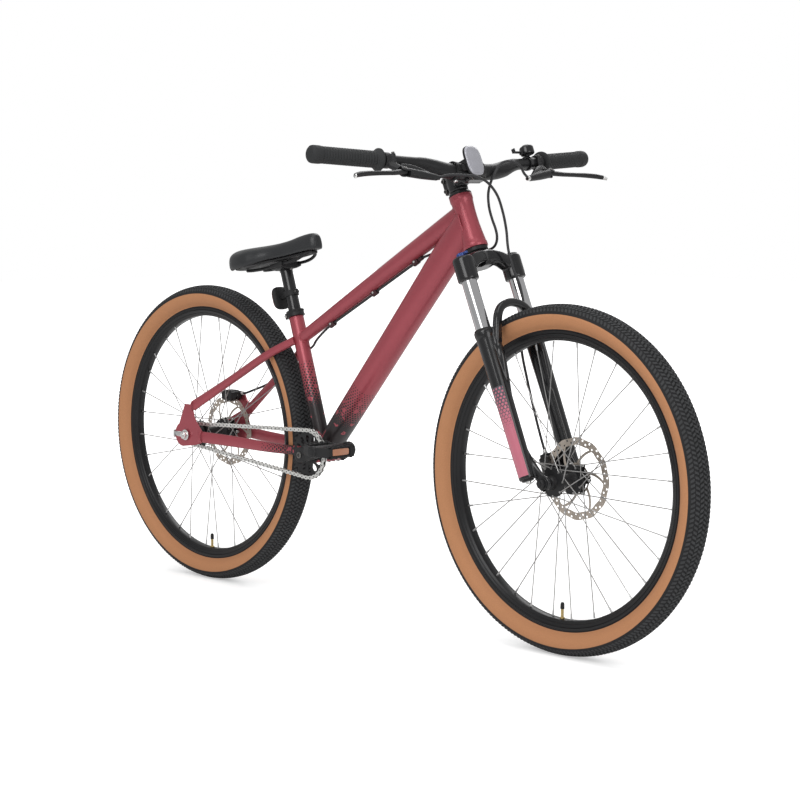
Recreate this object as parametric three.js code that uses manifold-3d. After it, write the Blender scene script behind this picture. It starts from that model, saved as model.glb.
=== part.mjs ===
// A dirt jump bicycle with a hardtail frame, one gear and a suspension fork.
// Millimetres. +X is forward, +Z is up, and the drive side is at -Y.
// The origin lies on the ground, midway between the two axles.
import * as THREE from 'three';
import { mergeVertices } from 'three/addons/utils/BufferGeometryUtils.js';
import Module from 'manifold-3d';

const wasm = await Module();
wasm.setup();

// Clearances and cutting allowances
const clearance = 0.3;
const overrun = 2;
const weldDistance = 0.0001;
const degree = Math.PI / 180;

// Layout of the whole bicycle
const wheelbase = 1066;
const rearAxleX = -wheelbase / 2;
const frontAxleX = wheelbase / 2;
const headAngle = 67 * degree;
const seatAngle = 72 * degree;
const rimSeatRadius = 279.5;
const tyreHeight = 55.5;
const tyreRadius = rimSeatRadius + tyreHeight;
const axleHeight = tyreRadius;
const bottomBracketDrop = 9;
const seatTubeLength = 300;
const forkOffset = 46;
const tyreToCrown = 155.6;
const forkLength = tyreRadius + tyreToCrown;

// Finishes of the plain model
const paint = { color: 0xa54b55, roughness: 0.5, metalness: 0.2 };
const black = { color: 0x1b1b1d, roughness: 0.45, metalness: 0.1 };
const rubber = { color: 0x232323, roughness: 0.9, metalness: 0 };
const steel = { color: 0xb8b8b4, roughness: 0.3, metalness: 0.9 };
const chrome = { color: 0xd8d8d8, roughness: 0.12, metalness: 1 };
const brass = { color: 0xb8903c, roughness: 0.35, metalness: 0.9 };
const blue = { color: 0x31407a, roughness: 0.5, metalness: 0 };
const lens = { color: 0xb9bac6, roughness: 0.3, metalness: 0 };
const redLens = { color: 0x7a1518, roughness: 0.3, metalness: 0 };

const bike = new THREE.Group();
const axisX = new THREE.Vector3(1, 0, 0);
const axisY = new THREE.Vector3(0, 1, 0);
const axisZ = new THREE.Vector3(0, 0, 1);

// Short forms for points and for the two sides, right at -Y and left at +Y
const point = (x, y, z) => new THREE.Vector3(x, y, z);
const sides = [['right', -1], ['left', 1]];

// Signed volume, which tells whether a triangle list faces outwards.
function signedVolume(positions, index) {
  const a = point(0, 0, 0);
  const b = point(0, 0, 0);
  const c = point(0, 0, 0);
  let total = 0;
  for (let i = 0; i < index.length; i += 3) {
    a.fromArray(positions, index[i] * 3);
    b.fromArray(positions, index[i + 1] * 3);
    c.fromArray(positions, index[i + 2] * 3);
    total += a.dot(b.cross(c)) / 6;
  }
  return total;
}

// A closed three.js geometry as a manifold solid.
function solid(geometry) {
  const plain = geometry.clone();
  plain.deleteAttribute('normal');
  plain.deleteAttribute('uv');
  const merged = mergeVertices(plain, weldDistance);
  const positions = new Float32Array(merged.attributes.position.array);
  const source = merged.index.array;
  const triangles = [];
  for (let i = 0; i < source.length; i += 3) {
    const [a, b, c] = [source[i], source[i + 1], source[i + 2]];
    if (a !== b && b !== c && c !== a) triangles.push(a, b, c);
  }
  if (signedVolume(positions, triangles) < 0) triangles.reverse();
  const triVerts = new Uint32Array(triangles);
  return new wasm.Manifold(new wasm.Mesh({ numProp: 3, vertProperties: positions, triVerts }));
}

const join = (first, ...others) => others.reduce((sum, other) => sum.add(other), first);
const cut = (first, ...others) => others.reduce((rest, other) => rest.subtract(other), first);

// A named mesh made from a solid, put in a group.
function addPiece(parent, name, body, finish) {
  const mesh = body.getMesh();
  const geometry = new THREE.BufferGeometry();
  geometry.setAttribute('position', new THREE.BufferAttribute(mesh.vertProperties, 3));
  geometry.setIndex(new THREE.BufferAttribute(mesh.triVerts, 1));
  geometry.computeVertexNormals();
  const piece = new THREE.Mesh(geometry, new THREE.MeshStandardMaterial(finish));
  piece.name = name;
  parent.add(piece);
  return piece;
}

// A revolved solid about the Y axis, from a closed list of [radius, place along the axis].
function revolve(profile, segments) {
  const points = profile.map(([radius, along]) => new THREE.Vector2(radius, along));
  if (profile[0][0] > 0) points.push(points[0].clone());
  return new THREE.LatheGeometry(points, segments);
}

// Turns something built about the Y axis so that the axis follows a direction from a point.
function aim(geometry, start, direction) {
  const turn = new THREE.Quaternion().setFromUnitVectors(axisY, direction.clone().normalize());
  return geometry.applyQuaternion(turn).translate(start.x, start.y, start.z);
}

// A round bar between two points.
function bar(start, end, radius, facets, endRadius = radius) {
  const length = start.distanceTo(end);
  const shape = new THREE.CylinderGeometry(endRadius, radius, length, facets);
  shape.translate(0, length / 2, 0);
  return aim(shape, start, end.clone().sub(start));
}

// A box given by its size and its centre.
function block(sizeX, sizeY, sizeZ, centre) {
  return new THREE.BoxGeometry(sizeX, sizeY, sizeZ).translate(centre.x, centre.y, centre.z);
}

// A shape with holes, its outline turned so that the holes come out right.
function shapeWith(outline, holes) {
  const turned = THREE.ShapeUtils.isClockWise(outline) ? outline.slice().reverse() : outline;
  const shape = new THREE.Shape(turned);
  for (const hole of holes) shape.holes.push(new THREE.Path(hole));
  return shape;
}

// A flat plate with its outline in the XZ plane, between two places along Y.
function plateAcross(outline, fromY, toY, holes = []) {
  const shape = shapeWith(outline, holes);
  const options = { depth: toY - fromY, bevelEnabled: false, curveSegments: 5 };
  const plate = new THREE.ExtrudeGeometry(shape, options);
  return plate.rotateX(Math.PI / 2).translate(0, toY, 0);
}

// A flat plate with its outline in the YZ plane, between two places along X.
function plateAlong(outline, fromX, toX) {
  const shape = shapeWith(outline, []);
  const options = { depth: toX - fromX, bevelEnabled: false, curveSegments: 5 };
  const plate = new THREE.ExtrudeGeometry(shape, options);
  const basis = new THREE.Matrix4().makeBasis(axisY, axisZ, axisX);
  return plate.applyMatrix4(basis).translate(fromX, 0, 0);
}

// A flat plate with its outline in the XY plane, between two heights.
function plateFlat(outline, fromZ, toZ, holes = []) {
  const shape = shapeWith(outline, holes);
  const options = { depth: toZ - fromZ, bevelEnabled: false, curveSegments: 5 };
  return new THREE.ExtrudeGeometry(shape, options).translate(0, 0, fromZ);
}

const flat = (x, y) => new THREE.Vector2(x, y);

// Points round a circle, for outlines and holes.
function circle(centreX, centreY, radius, count, start = 0) {
  return Array.from({ length: count }, (_, i) => {
    const angle = start + (i / count) * 2 * Math.PI;
    return flat(centreX + radius * Math.cos(angle), centreY + radius * Math.sin(angle));
  });
}

// A closed skin over rings of equally many points, with flat ends or, as a loop, without.
function loft(rings, loop = false) {
  const count = rings[0].length;
  const positions = rings.flat().flatMap((p) => [p.x, p.y, p.z]);
  const index = [];
  for (let r = 0; r < rings.length - 1; r += 1) {
    for (let i = 0; i < count; i += 1) {
      const a = r * count + i;
      const b = r * count + ((i + 1) % count);
      index.push(a, b, b + count, a, b + count, a + count);
    }
  }
  const last = (rings.length - 1) * count;
  for (let i = 1; !loop && i < count - 1; i += 1) {
    index.push(0, i + 1, i);
    index.push(last, last + i, last + i + 1);
  }
  const geometry = new THREE.BufferGeometry();
  geometry.setAttribute('position', new THREE.Float32BufferAttribute(positions, 3));
  geometry.setIndex(index);
  return geometry;
}

// A tube through stations of { at, across, up }: across is the half size towards the reference
// direction, up the half size square to it. The path between stations is smoothed.
function tube(stations, facets, steps, reference = axisY) {
  const curve = new THREE.CatmullRomCurve3(stations.map((s) => s.at), false, 'centripetal');
  const rings = [];
  for (let i = 0; i <= steps; i += 1) {
    const share = i / steps;
    const centre = curve.getPoint(share);
    const tangent = curve.getTangent(share);
    const place = share * (stations.length - 1);
    const low = Math.min(Math.floor(place), stations.length - 2);
    const mix = place - low;
    const across = THREE.MathUtils.lerp(stations[low].across, stations[low + 1].across, mix);
    const up = THREE.MathUtils.lerp(stations[low].up, stations[low + 1].up, mix);
    const sideways = reference.clone().addScaledVector(tangent, -reference.dot(tangent)).normalize();
    const upwards = tangent.clone().cross(sideways);
    rings.push(Array.from({ length: facets }, (_, k) => {
      const angle = ((k + 0.5) / facets) * 2 * Math.PI;
      const ringPoint = centre.clone().addScaledVector(sideways, across * Math.cos(angle));
      return ringPoint.addScaledVector(upwards, up * Math.sin(angle));
    }));
  }
  return loft(rings);
}

// A cord or hose of even thickness through a list of points.
function hose(points, radius, facets, steps) {
  const path = new THREE.CatmullRomCurve3(points, false, 'centripetal');
  const section = new THREE.Shape(circle(0, 0, radius, facets));
  return new THREE.ExtrudeGeometry(section, { steps, extrudePath: path, bevelEnabled: false });
}

// The steering frame: its Z runs up the head tube, its X points forward, square to it.
const headUp = point(-Math.cos(headAngle), 0, Math.sin(headAngle));
const headForward = point(Math.sin(headAngle), 0, Math.cos(headAngle));
const headBottom = point(frontAxleX, 0, axleHeight)
  .addScaledVector(headForward, -forkOffset).addScaledVector(headUp, forkLength);
const steering = new THREE.Group();
steering.position.copy(headBottom);
steering.rotation.y = headAngle - Math.PI / 2;
bike.add(steering);

// A point of the steering frame, in the frame of the bicycle.
function fromSteering(x, y, z) {
  const place = headBottom.clone().addScaledVector(headForward, x);
  return place.addScaledVector(headUp, z).addScaledVector(axisY, y);
}

// Wheels: sizes shared by front and rear
const tyreWidth = 58;
const rimFlangeHeight = 6;
const rimWidth = 29;
const rimWall = 2;
const rimDepth = 13.5;
const rimInnerWidth = 16;
const wheelFacets = 32;
const spokeCount = 32;
const spokeRadius = 1.1;
const spokeCrossing = 67.5 * degree;
const axleRadius = 5;
const hubBore = axleRadius + clearance;
const rotorRadius = 80;
const rotorThickness = 1.8;
const rotorBandWidth = 15;
const rotorSpiderRadius = 24;
const valveRadius = 3;
const valveLength = 32;
const valveCapLength = 12;

// Tyre section: half widths as shares of half the width, heights as shares of the section height.
const tyreWidthShares = [0.86, 1, 0.86, 0.38];
const tyreHeightShares = [0.34, 0.6, 0.85, 1];

function makeTyre(parent, name) {
  const seat = rimSeatRadius + clearance;
  const beadHalf = rimWidth / 2 - rimWall - clearance;
  const half = [[seat, beadHalf], [rimSeatRadius + rimFlangeHeight + clearance, beadHalf]];
  tyreWidthShares.forEach((share, i) => {
    half.push([rimSeatRadius + tyreHeight * tyreHeightShares[i], (tyreWidth / 2) * share]);
  });
  const mirrored = half.map(([radius, along]) => [radius, -along]).reverse();
  return addPiece(parent, name, solid(revolve([...half, ...mirrored], wheelFacets)), rubber);
}

function makeRim(parent, name) {
  const flangeRadius = rimSeatRadius + rimFlangeHeight;
  const half = [
    [rimSeatRadius, rimWidth / 2 - rimWall],
    [flangeRadius, rimWidth / 2 - rimWall],
    [flangeRadius, rimWidth / 2],
    [rimSeatRadius - rimWall, rimWidth / 2],
    [rimSeatRadius - rimDepth, rimInnerWidth / 2],
  ];
  const mirrored = half.map(([radius, along]) => [radius, -along]).reverse();
  return addPiece(parent, name, solid(revolve([...half, ...mirrored], wheelFacets)), black);
}

// Hub shell with its spokes. The profile is given for each hub, with the flanges' places.
// Spokes leave the flange on its two faces in turn, so that crossing spokes pass each other.
function makeHub(parent, name, profile, flanges) {
  const hubFacets = 12;
  const spokeSideStep = 2 * spokeRadius;
  let body = solid(revolve(profile, hubFacets));
  const rimEnd = (rimSeatRadius - rimDepth) * Math.cos(Math.PI / wheelFacets) - clearance;
  for (let i = 0; i < spokeCount; i += 1) {
    const rimAngle = (i / spokeCount) * 2 * Math.PI + Math.PI / spokeCount;
    const flange = flanges[i % 2];
    const turn = Math.floor(i / 2) % 2 === 0 ? 1 : -1;
    const hubAngle = rimAngle + turn * spokeCrossing;
    const hubPoint = point(
      flange.radius * Math.cos(hubAngle), flange.along + turn * spokeSideStep,
      flange.radius * Math.sin(hubAngle));
    const rimPoint = point(rimEnd * Math.cos(rimAngle), 0, rimEnd * Math.sin(rimAngle));
    body = body.add(solid(bar(hubPoint, rimPoint, spokeRadius, 3)));
  }
  return addPiece(parent, name, body, steel);
}

// Brake disc: a wavy band with windows on a six-armed carrier.
function makeRotor(parent, name, fromY) {
  const waves = 12;
  const wavePoints = 3;
  const waveDepth = 1.6;
  const outline = Array.from({ length: waves * wavePoints }, (_, i) => {
    const angle = (i / (waves * wavePoints)) * 2 * Math.PI;
    const radius = rotorRadius - (i % wavePoints === 0 ? waveDepth : 0);
    return flat(radius * Math.cos(angle), radius * Math.sin(angle));
  });
  const arms = 6;
  const armHalfAngle = 9 * degree;
  const windowInner = rotorSpiderRadius;
  const windowOuter = rotorRadius - rotorBandWidth;
  const arcPoints = 3;
  const holes = [circle(0, 0, rotorBoreRadius, 12)];
  for (let arm = 0; arm < arms; arm += 1) {
    const start = (arm / arms) * 2 * Math.PI + armHalfAngle;
    const end = ((arm + 1) / arms) * 2 * Math.PI - armHalfAngle;
    const twist = armHalfAngle * 2;
    const hole = [];
    for (let i = 0; i < arcPoints; i += 1) {
      const angle = start + ((end - start) * i) / (arcPoints - 1);
      hole.push(flat(windowOuter * Math.cos(angle), windowOuter * Math.sin(angle)));
    }
    for (let i = arcPoints - 1; i >= 0; i -= 2) {
      const angle = start + ((end - start) * i) / (arcPoints - 1) + twist;
      hole.push(flat(windowInner * Math.cos(angle), windowInner * Math.sin(angle)));
    }
    holes.push(hole);
  }
  const slots = 6;
  const slotRadius = 3;
  const slotFacets = 4;
  for (let i = 0; i < slots; i += 1) {
    const angle = ((i + 0.5) / slots) * 2 * Math.PI;
    const reach = rotorRadius - rotorBandWidth / 2;
    holes.push(circle(reach * Math.cos(angle), reach * Math.sin(angle), slotRadius, slotFacets, angle));
  }
  const disc = plateAcross(outline, fromY, fromY + rotorThickness, holes);
  return addPiece(parent, name, solid(disc), steel);
}

// Valve with its cap, standing inwards from the rim at the bottom of the wheel.
function makeValve(parent, name) {
  const top = -(rimSeatRadius - rimDepth - clearance);
  const profile = [
    [0, top], [valveRadius, top], [valveRadius, top + valveLength - valveCapLength],
    [valveRadius * 1.35, top + valveLength - valveCapLength],
    [valveRadius * 1.2, top + valveLength], [0, top + valveLength],
  ];
  const valve = revolve(profile, 8).applyMatrix4(new THREE.Matrix4().makeBasis(axisY, axisZ, axisX));
  return addPiece(parent, name, solid(valve), brass);
}

// Hubs. Places run along the axle, from the drive side to the brake side.
const rotorBoreRadius = 17;
const hubEndRadius = 9;
const hubShellRadius = 14;
const hubFlangeRadius = 29;
const flangeThickness = 3;
const discSeatRadius = 23;
const spokeHoleInset = 3;
const frontHub = { length: 100, rightFlange: -31, leftFlange: 22, discSeat: 36.8 };
const rearHub = { length: 135, rightFlange: -30, leftFlange: 34, discSeat: 50.8 };
const freewheelSeatRadius = 13;
const freewheelSeatFrom = -58;
const freewheelSeatTo = -40;

function hubProfile(hub, drive) {
  const end = hub.length / 2;
  const right = hub.rightFlange;
  const left = hub.leftFlange;
  const pilot = rotorBoreRadius - clearance;
  const rightEnd = drive
    ? [[hubEndRadius, freewheelSeatFrom], [freewheelSeatRadius, freewheelSeatFrom],
      [freewheelSeatRadius, freewheelSeatTo], [hubShellRadius + spokeHoleInset, freewheelSeatTo]]
    : [[hubEndRadius, right - hubEndRadius], [hubShellRadius, right - flangeThickness]];
  return [
    [hubBore, -end], [hubEndRadius, -end], ...rightEnd,
    [hubFlangeRadius, right - flangeThickness / 2], [hubFlangeRadius, right + flangeThickness / 2],
    [hubShellRadius, right + flangeThickness], [hubShellRadius, left - flangeThickness],
    [hubFlangeRadius, left - flangeThickness / 2], [hubFlangeRadius, left + flangeThickness / 2],
    [discSeatRadius, left + flangeThickness], [discSeatRadius, hub.discSeat],
    [pilot, hub.discSeat], [pilot, hub.discSeat + rotorThickness + clearance],
    [hubEndRadius, hub.discSeat + hubEndRadius], [hubEndRadius, end], [hubBore, end],
  ];
}

function makeWheel(prefix, axleX, hub, drive) {
  const wheel = new THREE.Group();
  wheel.position.set(axleX, 0, axleHeight);
  bike.add(wheel);
  const holeRadius = hubFlangeRadius - spokeHoleInset;
  makeTyre(wheel, `${prefix}_tyre`);
  makeRim(wheel, `${prefix}_rim`);
  makeHub(wheel, `${prefix}_hub_and_spokes`, hubProfile(hub, drive), [
    { radius: holeRadius, along: hub.rightFlange }, { radius: holeRadius, along: hub.leftFlange }]);
  makeRotor(wheel, `${prefix}_rotor`, hub.discSeat + clearance);
  makeValve(wheel, `${prefix}_valve`);
}

makeWheel('front', frontAxleX, frontHub, false);
makeWheel('rear', rearAxleX, rearHub, true);

// Drivetrain layout. The chain runs without slack, so its links set the chain stay length,
// and there are as many as the tyre needs to turn behind the bottom bracket.
const chainPitch = 12.7;
const ringTeeth = 25;
const cogTeeth = 12;
const tyreRoom = 54;
const spanLinks = Math.ceil((tyreRadius + tyreRoom) / chainPitch);
const chainLine = -48;
const ringPitchRadius = chainPitch / 2 / Math.sin(Math.PI / ringTeeth);
const cogPitchRadius = chainPitch / 2 / Math.sin(Math.PI / cogTeeth);
const ringWrapLinks = 2 * Math.ceil(ringTeeth / 4) - 1;
const cogWrapLinks = 2 * Math.floor(cogTeeth / 4) - 1;
const ringLastAngle = (ringWrapLinks / 2) * ((2 * Math.PI) / ringTeeth);
const cogLastAngle = (cogWrapLinks / 2) * ((2 * Math.PI) / cogTeeth);
const spanRise = ringPitchRadius * Math.sin(ringLastAngle) - cogPitchRadius * Math.sin(cogLastAngle);
const spanRun = Math.sqrt((spanLinks * chainPitch) ** 2 - spanRise ** 2);
const driveCentres = spanRun - ringPitchRadius * Math.cos(ringLastAngle)
  - cogPitchRadius * Math.cos(cogLastAngle);
const driveTilt = Math.asin(-bottomBracketDrop / driveCentres);
const bottomBracketX = rearAxleX + driveCentres * Math.cos(driveTilt);
const bottomBracket = point(bottomBracketX, 0, axleHeight - bottomBracketDrop);
const seatUp = point(-Math.cos(seatAngle), 0, Math.sin(seatAngle));

// Frame sizes
const headTubeLength = 110.5;
const headTubeTopRadius = 23;
const headTubeWaistRadius = 20.5;
const headTubeBottomRadius = 25;
const headTubeRimHeight = 12;
const headTubeFlareHeight = 34;
const headTubeBore = 18;
const topTubeRadius = 17;
const topTubeSeatRadius = 12.5;
const topTubeHeadHeight = 77;
const topTubeDrop = 50;
const downTubeRadius = 27.5;
const downTubeFlat = 18;
const downTubeFlare = 4;
const downTubeHeadHeight = 55;
const seatTubeRadius = 16;
const seatTubeBore = 13.9;
const seatTubeBoreDepth = 165;
const shellRadius = 20.5;
const shellBore = 17.3;
const shellWidth = 68;
const dropoutGap = 136;
const dropoutThickness = 6;
const stayRadius = 9;
const frameFacets = 14;

// Chain stays: places from the shell to the axle, as shares of the distance between them.
const chainStayShares = [0.05, 0.145, 0.26, 0.66, 0.89];
const chainStaySideShares = [0.348, 0.478, 0.667, 0.826, 1];
const chainStayWidthShares = [1, 0.875, 0.875, 0.81, 0.625];
const chainStayHeightShares = [0.8, 0.8, 0.92, 1, 1];
const chainStaySpread = 69;
const chainStayHalfWidth = 8;
const chainStayHalfHeight = 12.5;

// Seat stays: side places, and the ends of both. The brake side is lower to leave room.
const seatStaySideShares = [0.209, 0.627, 0.761, 1];
const seatStaySpread = 67;
const seatStayShares = [0, 0.22, 0.54, 1];
const seatStayEndRight = { x: 16, z: 64 };
const seatStayEndLeft = { x: 40, z: 39 };

function headTubePiece() {
  const ends = headTubeLength;
  const profile = [
    [0, 0], [headTubeBottomRadius, 0], [headTubeBottomRadius, headTubeRimHeight],
    [headTubeWaistRadius + (headTubeBottomRadius - headTubeWaistRadius) / 3, headTubeFlareHeight],
    [headTubeWaistRadius, ends / 2], [headTubeWaistRadius, ends - headTubeFlareHeight],
    [headTubeTopRadius, ends - headTubeRimHeight], [headTubeTopRadius, ends], [0, ends],
  ];
  return aim(revolve(profile, 16), headBottom, headUp);
}

const headPoint = (height) => headBottom.clone().addScaledVector(headUp, height);
const seatPoint = (height) => bottomBracket.clone().addScaledVector(seatUp, height);
const seatTubeTop = seatPoint(seatTubeLength);
const rearAxle = point(rearAxleX, 0, axleHeight);

function topTubePiece() {
  const start = seatPoint(seatTubeLength - topTubeDrop);
  const end = headPoint(topTubeHeadHeight);
  const middle = start.clone().lerp(end, 0.5);
  return tube([
    { at: start, across: topTubeSeatRadius, up: topTubeSeatRadius },
    { at: middle, across: topTubeRadius, up: topTubeRadius },
    { at: end, across: topTubeRadius, up: topTubeRadius + downTubeFlare },
  ], frameFacets, 4);
}

function downTubePiece() {
  const end = headPoint(downTubeHeadHeight);
  const at = (share) => bottomBracket.clone().lerp(end, share);
  return tube([
    { at: at(0), across: downTubeRadius - downTubeFlare / 2, up: downTubeFlat },
    { at: at(0.16), across: downTubeRadius, up: downTubeRadius - downTubeFlare / 2 },
    { at: at(0.5), across: downTubeRadius, up: downTubeRadius },
    { at: at(0.84), across: downTubeRadius - downTubeFlare / 2, up: downTubeRadius + downTubeFlare },
    { at: at(1), across: headTubeWaistRadius - clearance, up: downTubeRadius + downTubeFlare },
  ], frameFacets, 5);
}

function chainStayPiece(side) {
  const stations = chainStayShares.map((share, i) => ({
    at: bottomBracket.clone().lerp(rearAxle, share).setY(side * chainStaySpread * chainStaySideShares[i]),
    across: chainStayHalfWidth * chainStayWidthShares[i],
    up: chainStayHalfHeight * chainStayHeightShares[i],
  }));
  return tube(stations, 8, 8);
}

function seatStayPiece(side) {
  const start = seatPoint(seatTubeLength - topTubeDrop);
  const offset = side < 0 ? seatStayEndRight : seatStayEndLeft;
  const end = rearAxle.clone().add(point(offset.x, 0, offset.z));
  const stations = seatStayShares.map((share, i) => ({
    at: start.clone().lerp(end, share).setY(side * seatStaySpread * seatStaySideShares[i]),
    across: i < seatStayShares.length - 1 ? stayRadius : stayRadius / 2,
    up: i < seatStayShares.length - 1 ? stayRadius : stayRadius + dropoutThickness / 2,
  }));
  return tube(stations, 8, 8);
}

// Dropout: a plate rounded under the axle, with a slot that opens to the rear.
const dropoutRadius = 27;
const dropoutSetBack = 14;
const dropoutFront = 56;
const dropoutTop = 70;
const slotHeight = 2 * (axleRadius + clearance);

function dropoutPiece(side) {
  const arcFrom = 280 * degree;
  const arcTo = 120 * degree;
  const arcPoints = 7;
  const outline = [];
  for (let i = 0; i < arcPoints; i += 1) {
    const angle = arcFrom + ((arcTo - arcFrom) * i) / (arcPoints - 1);
    outline.push(flat(
      dropoutRadius * Math.cos(angle) - dropoutSetBack, dropoutRadius * Math.sin(angle)));
  }
  const top = side < 0 ? dropoutTop : dropoutTop * 0.66;
  const forward = side < 0 ? dropoutSetBack : dropoutFront * 0.72;
  outline.push(flat(forward - dropoutSetBack * 1.3, top));
  outline.push(flat(forward + dropoutSetBack * 0.7, top));
  outline.push(flat(dropoutFront * 0.86, dropoutRadius));
  outline.push(flat(dropoutFront, dropoutSetBack));
  outline.push(flat(dropoutFront, -dropoutSetBack));
  const inner = dropoutGap / 2;
  const from = side < 0 ? -inner - dropoutThickness : inner;
  const plate = plateAcross(outline, from, from + dropoutThickness);
  return plate.translate(rearAxleX, 0, axleHeight);
}

// Brake mount: a tab that rises from the left seat stay to the rear caliper.
const rearCaliperOffset = { x: 10, z: 82 };
const caliperSize = { along: 44, across: 32, deep: 26 };

function brakeTabPiece() {
  const foot = seatStayEndLeft;
  const head = rearCaliperOffset;
  const outline = [
    flat(foot.x - stayRadius, foot.z), flat(foot.x, foot.z - stayRadius),
    flat(foot.x + 3 * stayRadius, foot.z + 2 * stayRadius),
    flat(head.x + caliperSize.along / 2, head.z + stayRadius),
    flat(head.x - caliperSize.along / 2, head.z + stayRadius),
    flat(head.x - caliperSize.along / 2, head.z - stayRadius),
  ];
  const from = rearHub.discSeat + caliperSize.across / 2 + rotorThickness + clearance;
  const to = dropoutGap / 2 + dropoutThickness;
  return plateAcross(outline, from, to).translate(rearAxleX, 0, axleHeight);
}

// Guides that carry the rear hose along the underside of the top tube
const hoseRadius = 2.6;
const guideShares = [0.19, 0.455, 0.7];
const guideLength = 16;
const guideWidth = 13;
const guideWall = 2.6;

function guidePlace(share) {
  const start = seatPoint(seatTubeLength - topTubeDrop);
  const end = headPoint(topTubeHeadHeight);
  const run = end.clone().sub(start).normalize();
  const down = point(run.z, 0, -run.x);
  const reach = share < 0.5
    ? THREE.MathUtils.lerp(topTubeSeatRadius, topTubeRadius, 2 * share)
    : THREE.MathUtils.lerp(topTubeRadius, topTubeRadius + downTubeFlare, 2 * share - 1);
  const centre = start.clone().lerp(end, share)
    .addScaledVector(down, reach + hoseRadius + 2 * clearance);
  return { centre, run, down };
}

function guidePiece(share) {
  const { centre, run } = guidePlace(share);
  const half = guideLength / 2;
  const body = block(guideLength, guideWidth, 2 * (hoseRadius + guideWall), point(0, 0, 0));
  body.rotateY(-Math.atan2(run.z, run.x)).translate(centre.x, centre.y, centre.z);
  const from = centre.clone().addScaledVector(run, -half - overrun);
  const to = centre.clone().addScaledVector(run, half + overrun);
  return { body, bore: bar(from, to, hoseRadius + 2 * clearance, 8) };
}

function makeFrame() {
  const tubes = [topTubePiece(), downTubePiece()];
  tubes.push(bar(bottomBracket, seatTubeTop, seatTubeRadius, frameFacets));
  tubes.push(bar(
    point(bottomBracket.x, -shellWidth / 2, bottomBracket.z),
    point(bottomBracket.x, shellWidth / 2, bottomBracket.z), shellRadius, 16));
  for (const [, side] of sides) {
    tubes.push(chainStayPiece(side), seatStayPiece(side), dropoutPiece(side));
  }
  tubes.push(brakeTabPiece());
  let body = join(solid(headTubePiece()), ...tubes.map(solid));
  for (const share of guideShares) {
    const guide = guidePiece(share);
    body = body.add(solid(guide.body)).subtract(solid(guide.bore));
  }
  const headBore = bar(headPoint(-overrun), headPoint(headTubeLength + overrun), headTubeBore, 16);
  const seatBore = bar(
    seatPoint(seatTubeLength - seatTubeBoreDepth), seatPoint(seatTubeLength + overrun),
    seatTubeBore, frameFacets);
  const shellHole = bar(
    point(bottomBracket.x, -shellWidth / 2 - overrun, bottomBracket.z),
    point(bottomBracket.x, shellWidth / 2 + overrun, bottomBracket.z), shellBore, 16);
  const slotLength = dropoutRadius + dropoutSetBack + overrun;
  const slot = block(slotLength, dropoutGap + 4 * dropoutThickness, slotHeight,
    point(rearAxleX - slotLength / 2, 0, axleHeight));
  const axleHole = bar(
    point(rearAxleX, -dropoutGap, axleHeight), point(rearAxleX, dropoutGap, axleHeight),
    axleRadius + clearance, 12);
  body = cut(body, solid(headBore), solid(seatBore), solid(shellHole), solid(slot), solid(axleHole));
  return addPiece(bike, 'frame', body, paint);
}

makeFrame();

// Rear axle with its washers and nuts
const washerRadius = 12;
const washerThickness = 1.8;
const nutRadius = 9.5;
const nutHeight = 8;
const axleStub = 4;

function makeAxle(parent, name, outerFace, centre) {
  const axis = (y) => point(centre.x, y, centre.z);
  let body = solid(bar(axis(-outerFace - nutHeight - axleStub), axis(outerFace + nutHeight + axleStub),
    axleRadius, 12));
  for (const [, side] of sides) {
    const seat = side * (outerFace + clearance);
    const rim = seat + side * washerThickness;
    body = body.add(solid(bar(axis(seat), axis(rim), washerRadius, 16)));
    body = body.add(solid(bar(axis(seat), axis(seat + side * nutHeight), nutRadius, 6)));
  }
  return addPiece(parent, name, body, steel);
}

makeAxle(bike, 'rear_axle', dropoutGap / 2 + dropoutThickness, rearAxle);

// Headset: a flanged sleeve at each end of the head tube
const steererRadius = 14.3;
const headsetFlange = 8;
const headsetSleeve = 12;
const headsetRadius = 23;
const topCoverRadius = 19;

function makeHeadset() {
  const sleeve = headTubeBore - clearance;
  const bore = steererRadius + clearance;
  const lower = [
    [bore, -headsetFlange], [headsetRadius, -headsetFlange], [headsetRadius, -clearance],
    [sleeve, -clearance], [sleeve, headsetSleeve], [bore, headsetSleeve],
  ];
  const top = headTubeLength;
  const upper = [
    [bore, top - headsetSleeve], [sleeve, top - headsetSleeve], [sleeve, top + clearance],
    [headsetRadius, top + clearance], [headsetRadius, top + headsetFlange / 2],
    [topCoverRadius, top + headsetFlange], [bore, top + headsetFlange],
  ];
  const turned = (profile) => aim(revolve(profile, 16), headBottom, headUp);
  addPiece(bike, 'headset_lower_cup', solid(turned(lower)), black);
  addPiece(bike, 'headset_upper_cup', solid(turned(upper)), black);
}

makeHeadset();

// Bottom bracket: a cartridge with a flange on each side of the shell
const spindleRadius = 8.5;
const bracketFlangeRadius = 19;
const bracketFlange = 3.5;

function makeBottomBracket() {
  const half = shellWidth / 2;
  const bore = spindleRadius + clearance;
  const inner = shellBore - clearance;
  const profile = [
    [bore, -half - bracketFlange], [bracketFlangeRadius, -half - bracketFlange],
    [bracketFlangeRadius, -half - clearance], [inner, -half - clearance],
    [inner, half + clearance], [bracketFlangeRadius, half + clearance],
    [bracketFlangeRadius, half + bracketFlange], [bore, half + bracketFlange],
  ];
  const cartridge = revolve(profile, 16).translate(bottomBracket.x, 0, bottomBracket.z);
  addPiece(bike, 'bottom_bracket', solid(cartridge), black);
}

makeBottomBracket();

// Seat post, which slides in the seat tube, with the collar that grips it
const postRadius = 13.6;
const postExposed = 99;
const postInsertion = 120;
const collarHeight = 14;
const collarWall = 3.6;
const collarSlot = 3;
const collarLugReach = 9;
const collarLugThickness = 5;

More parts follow.
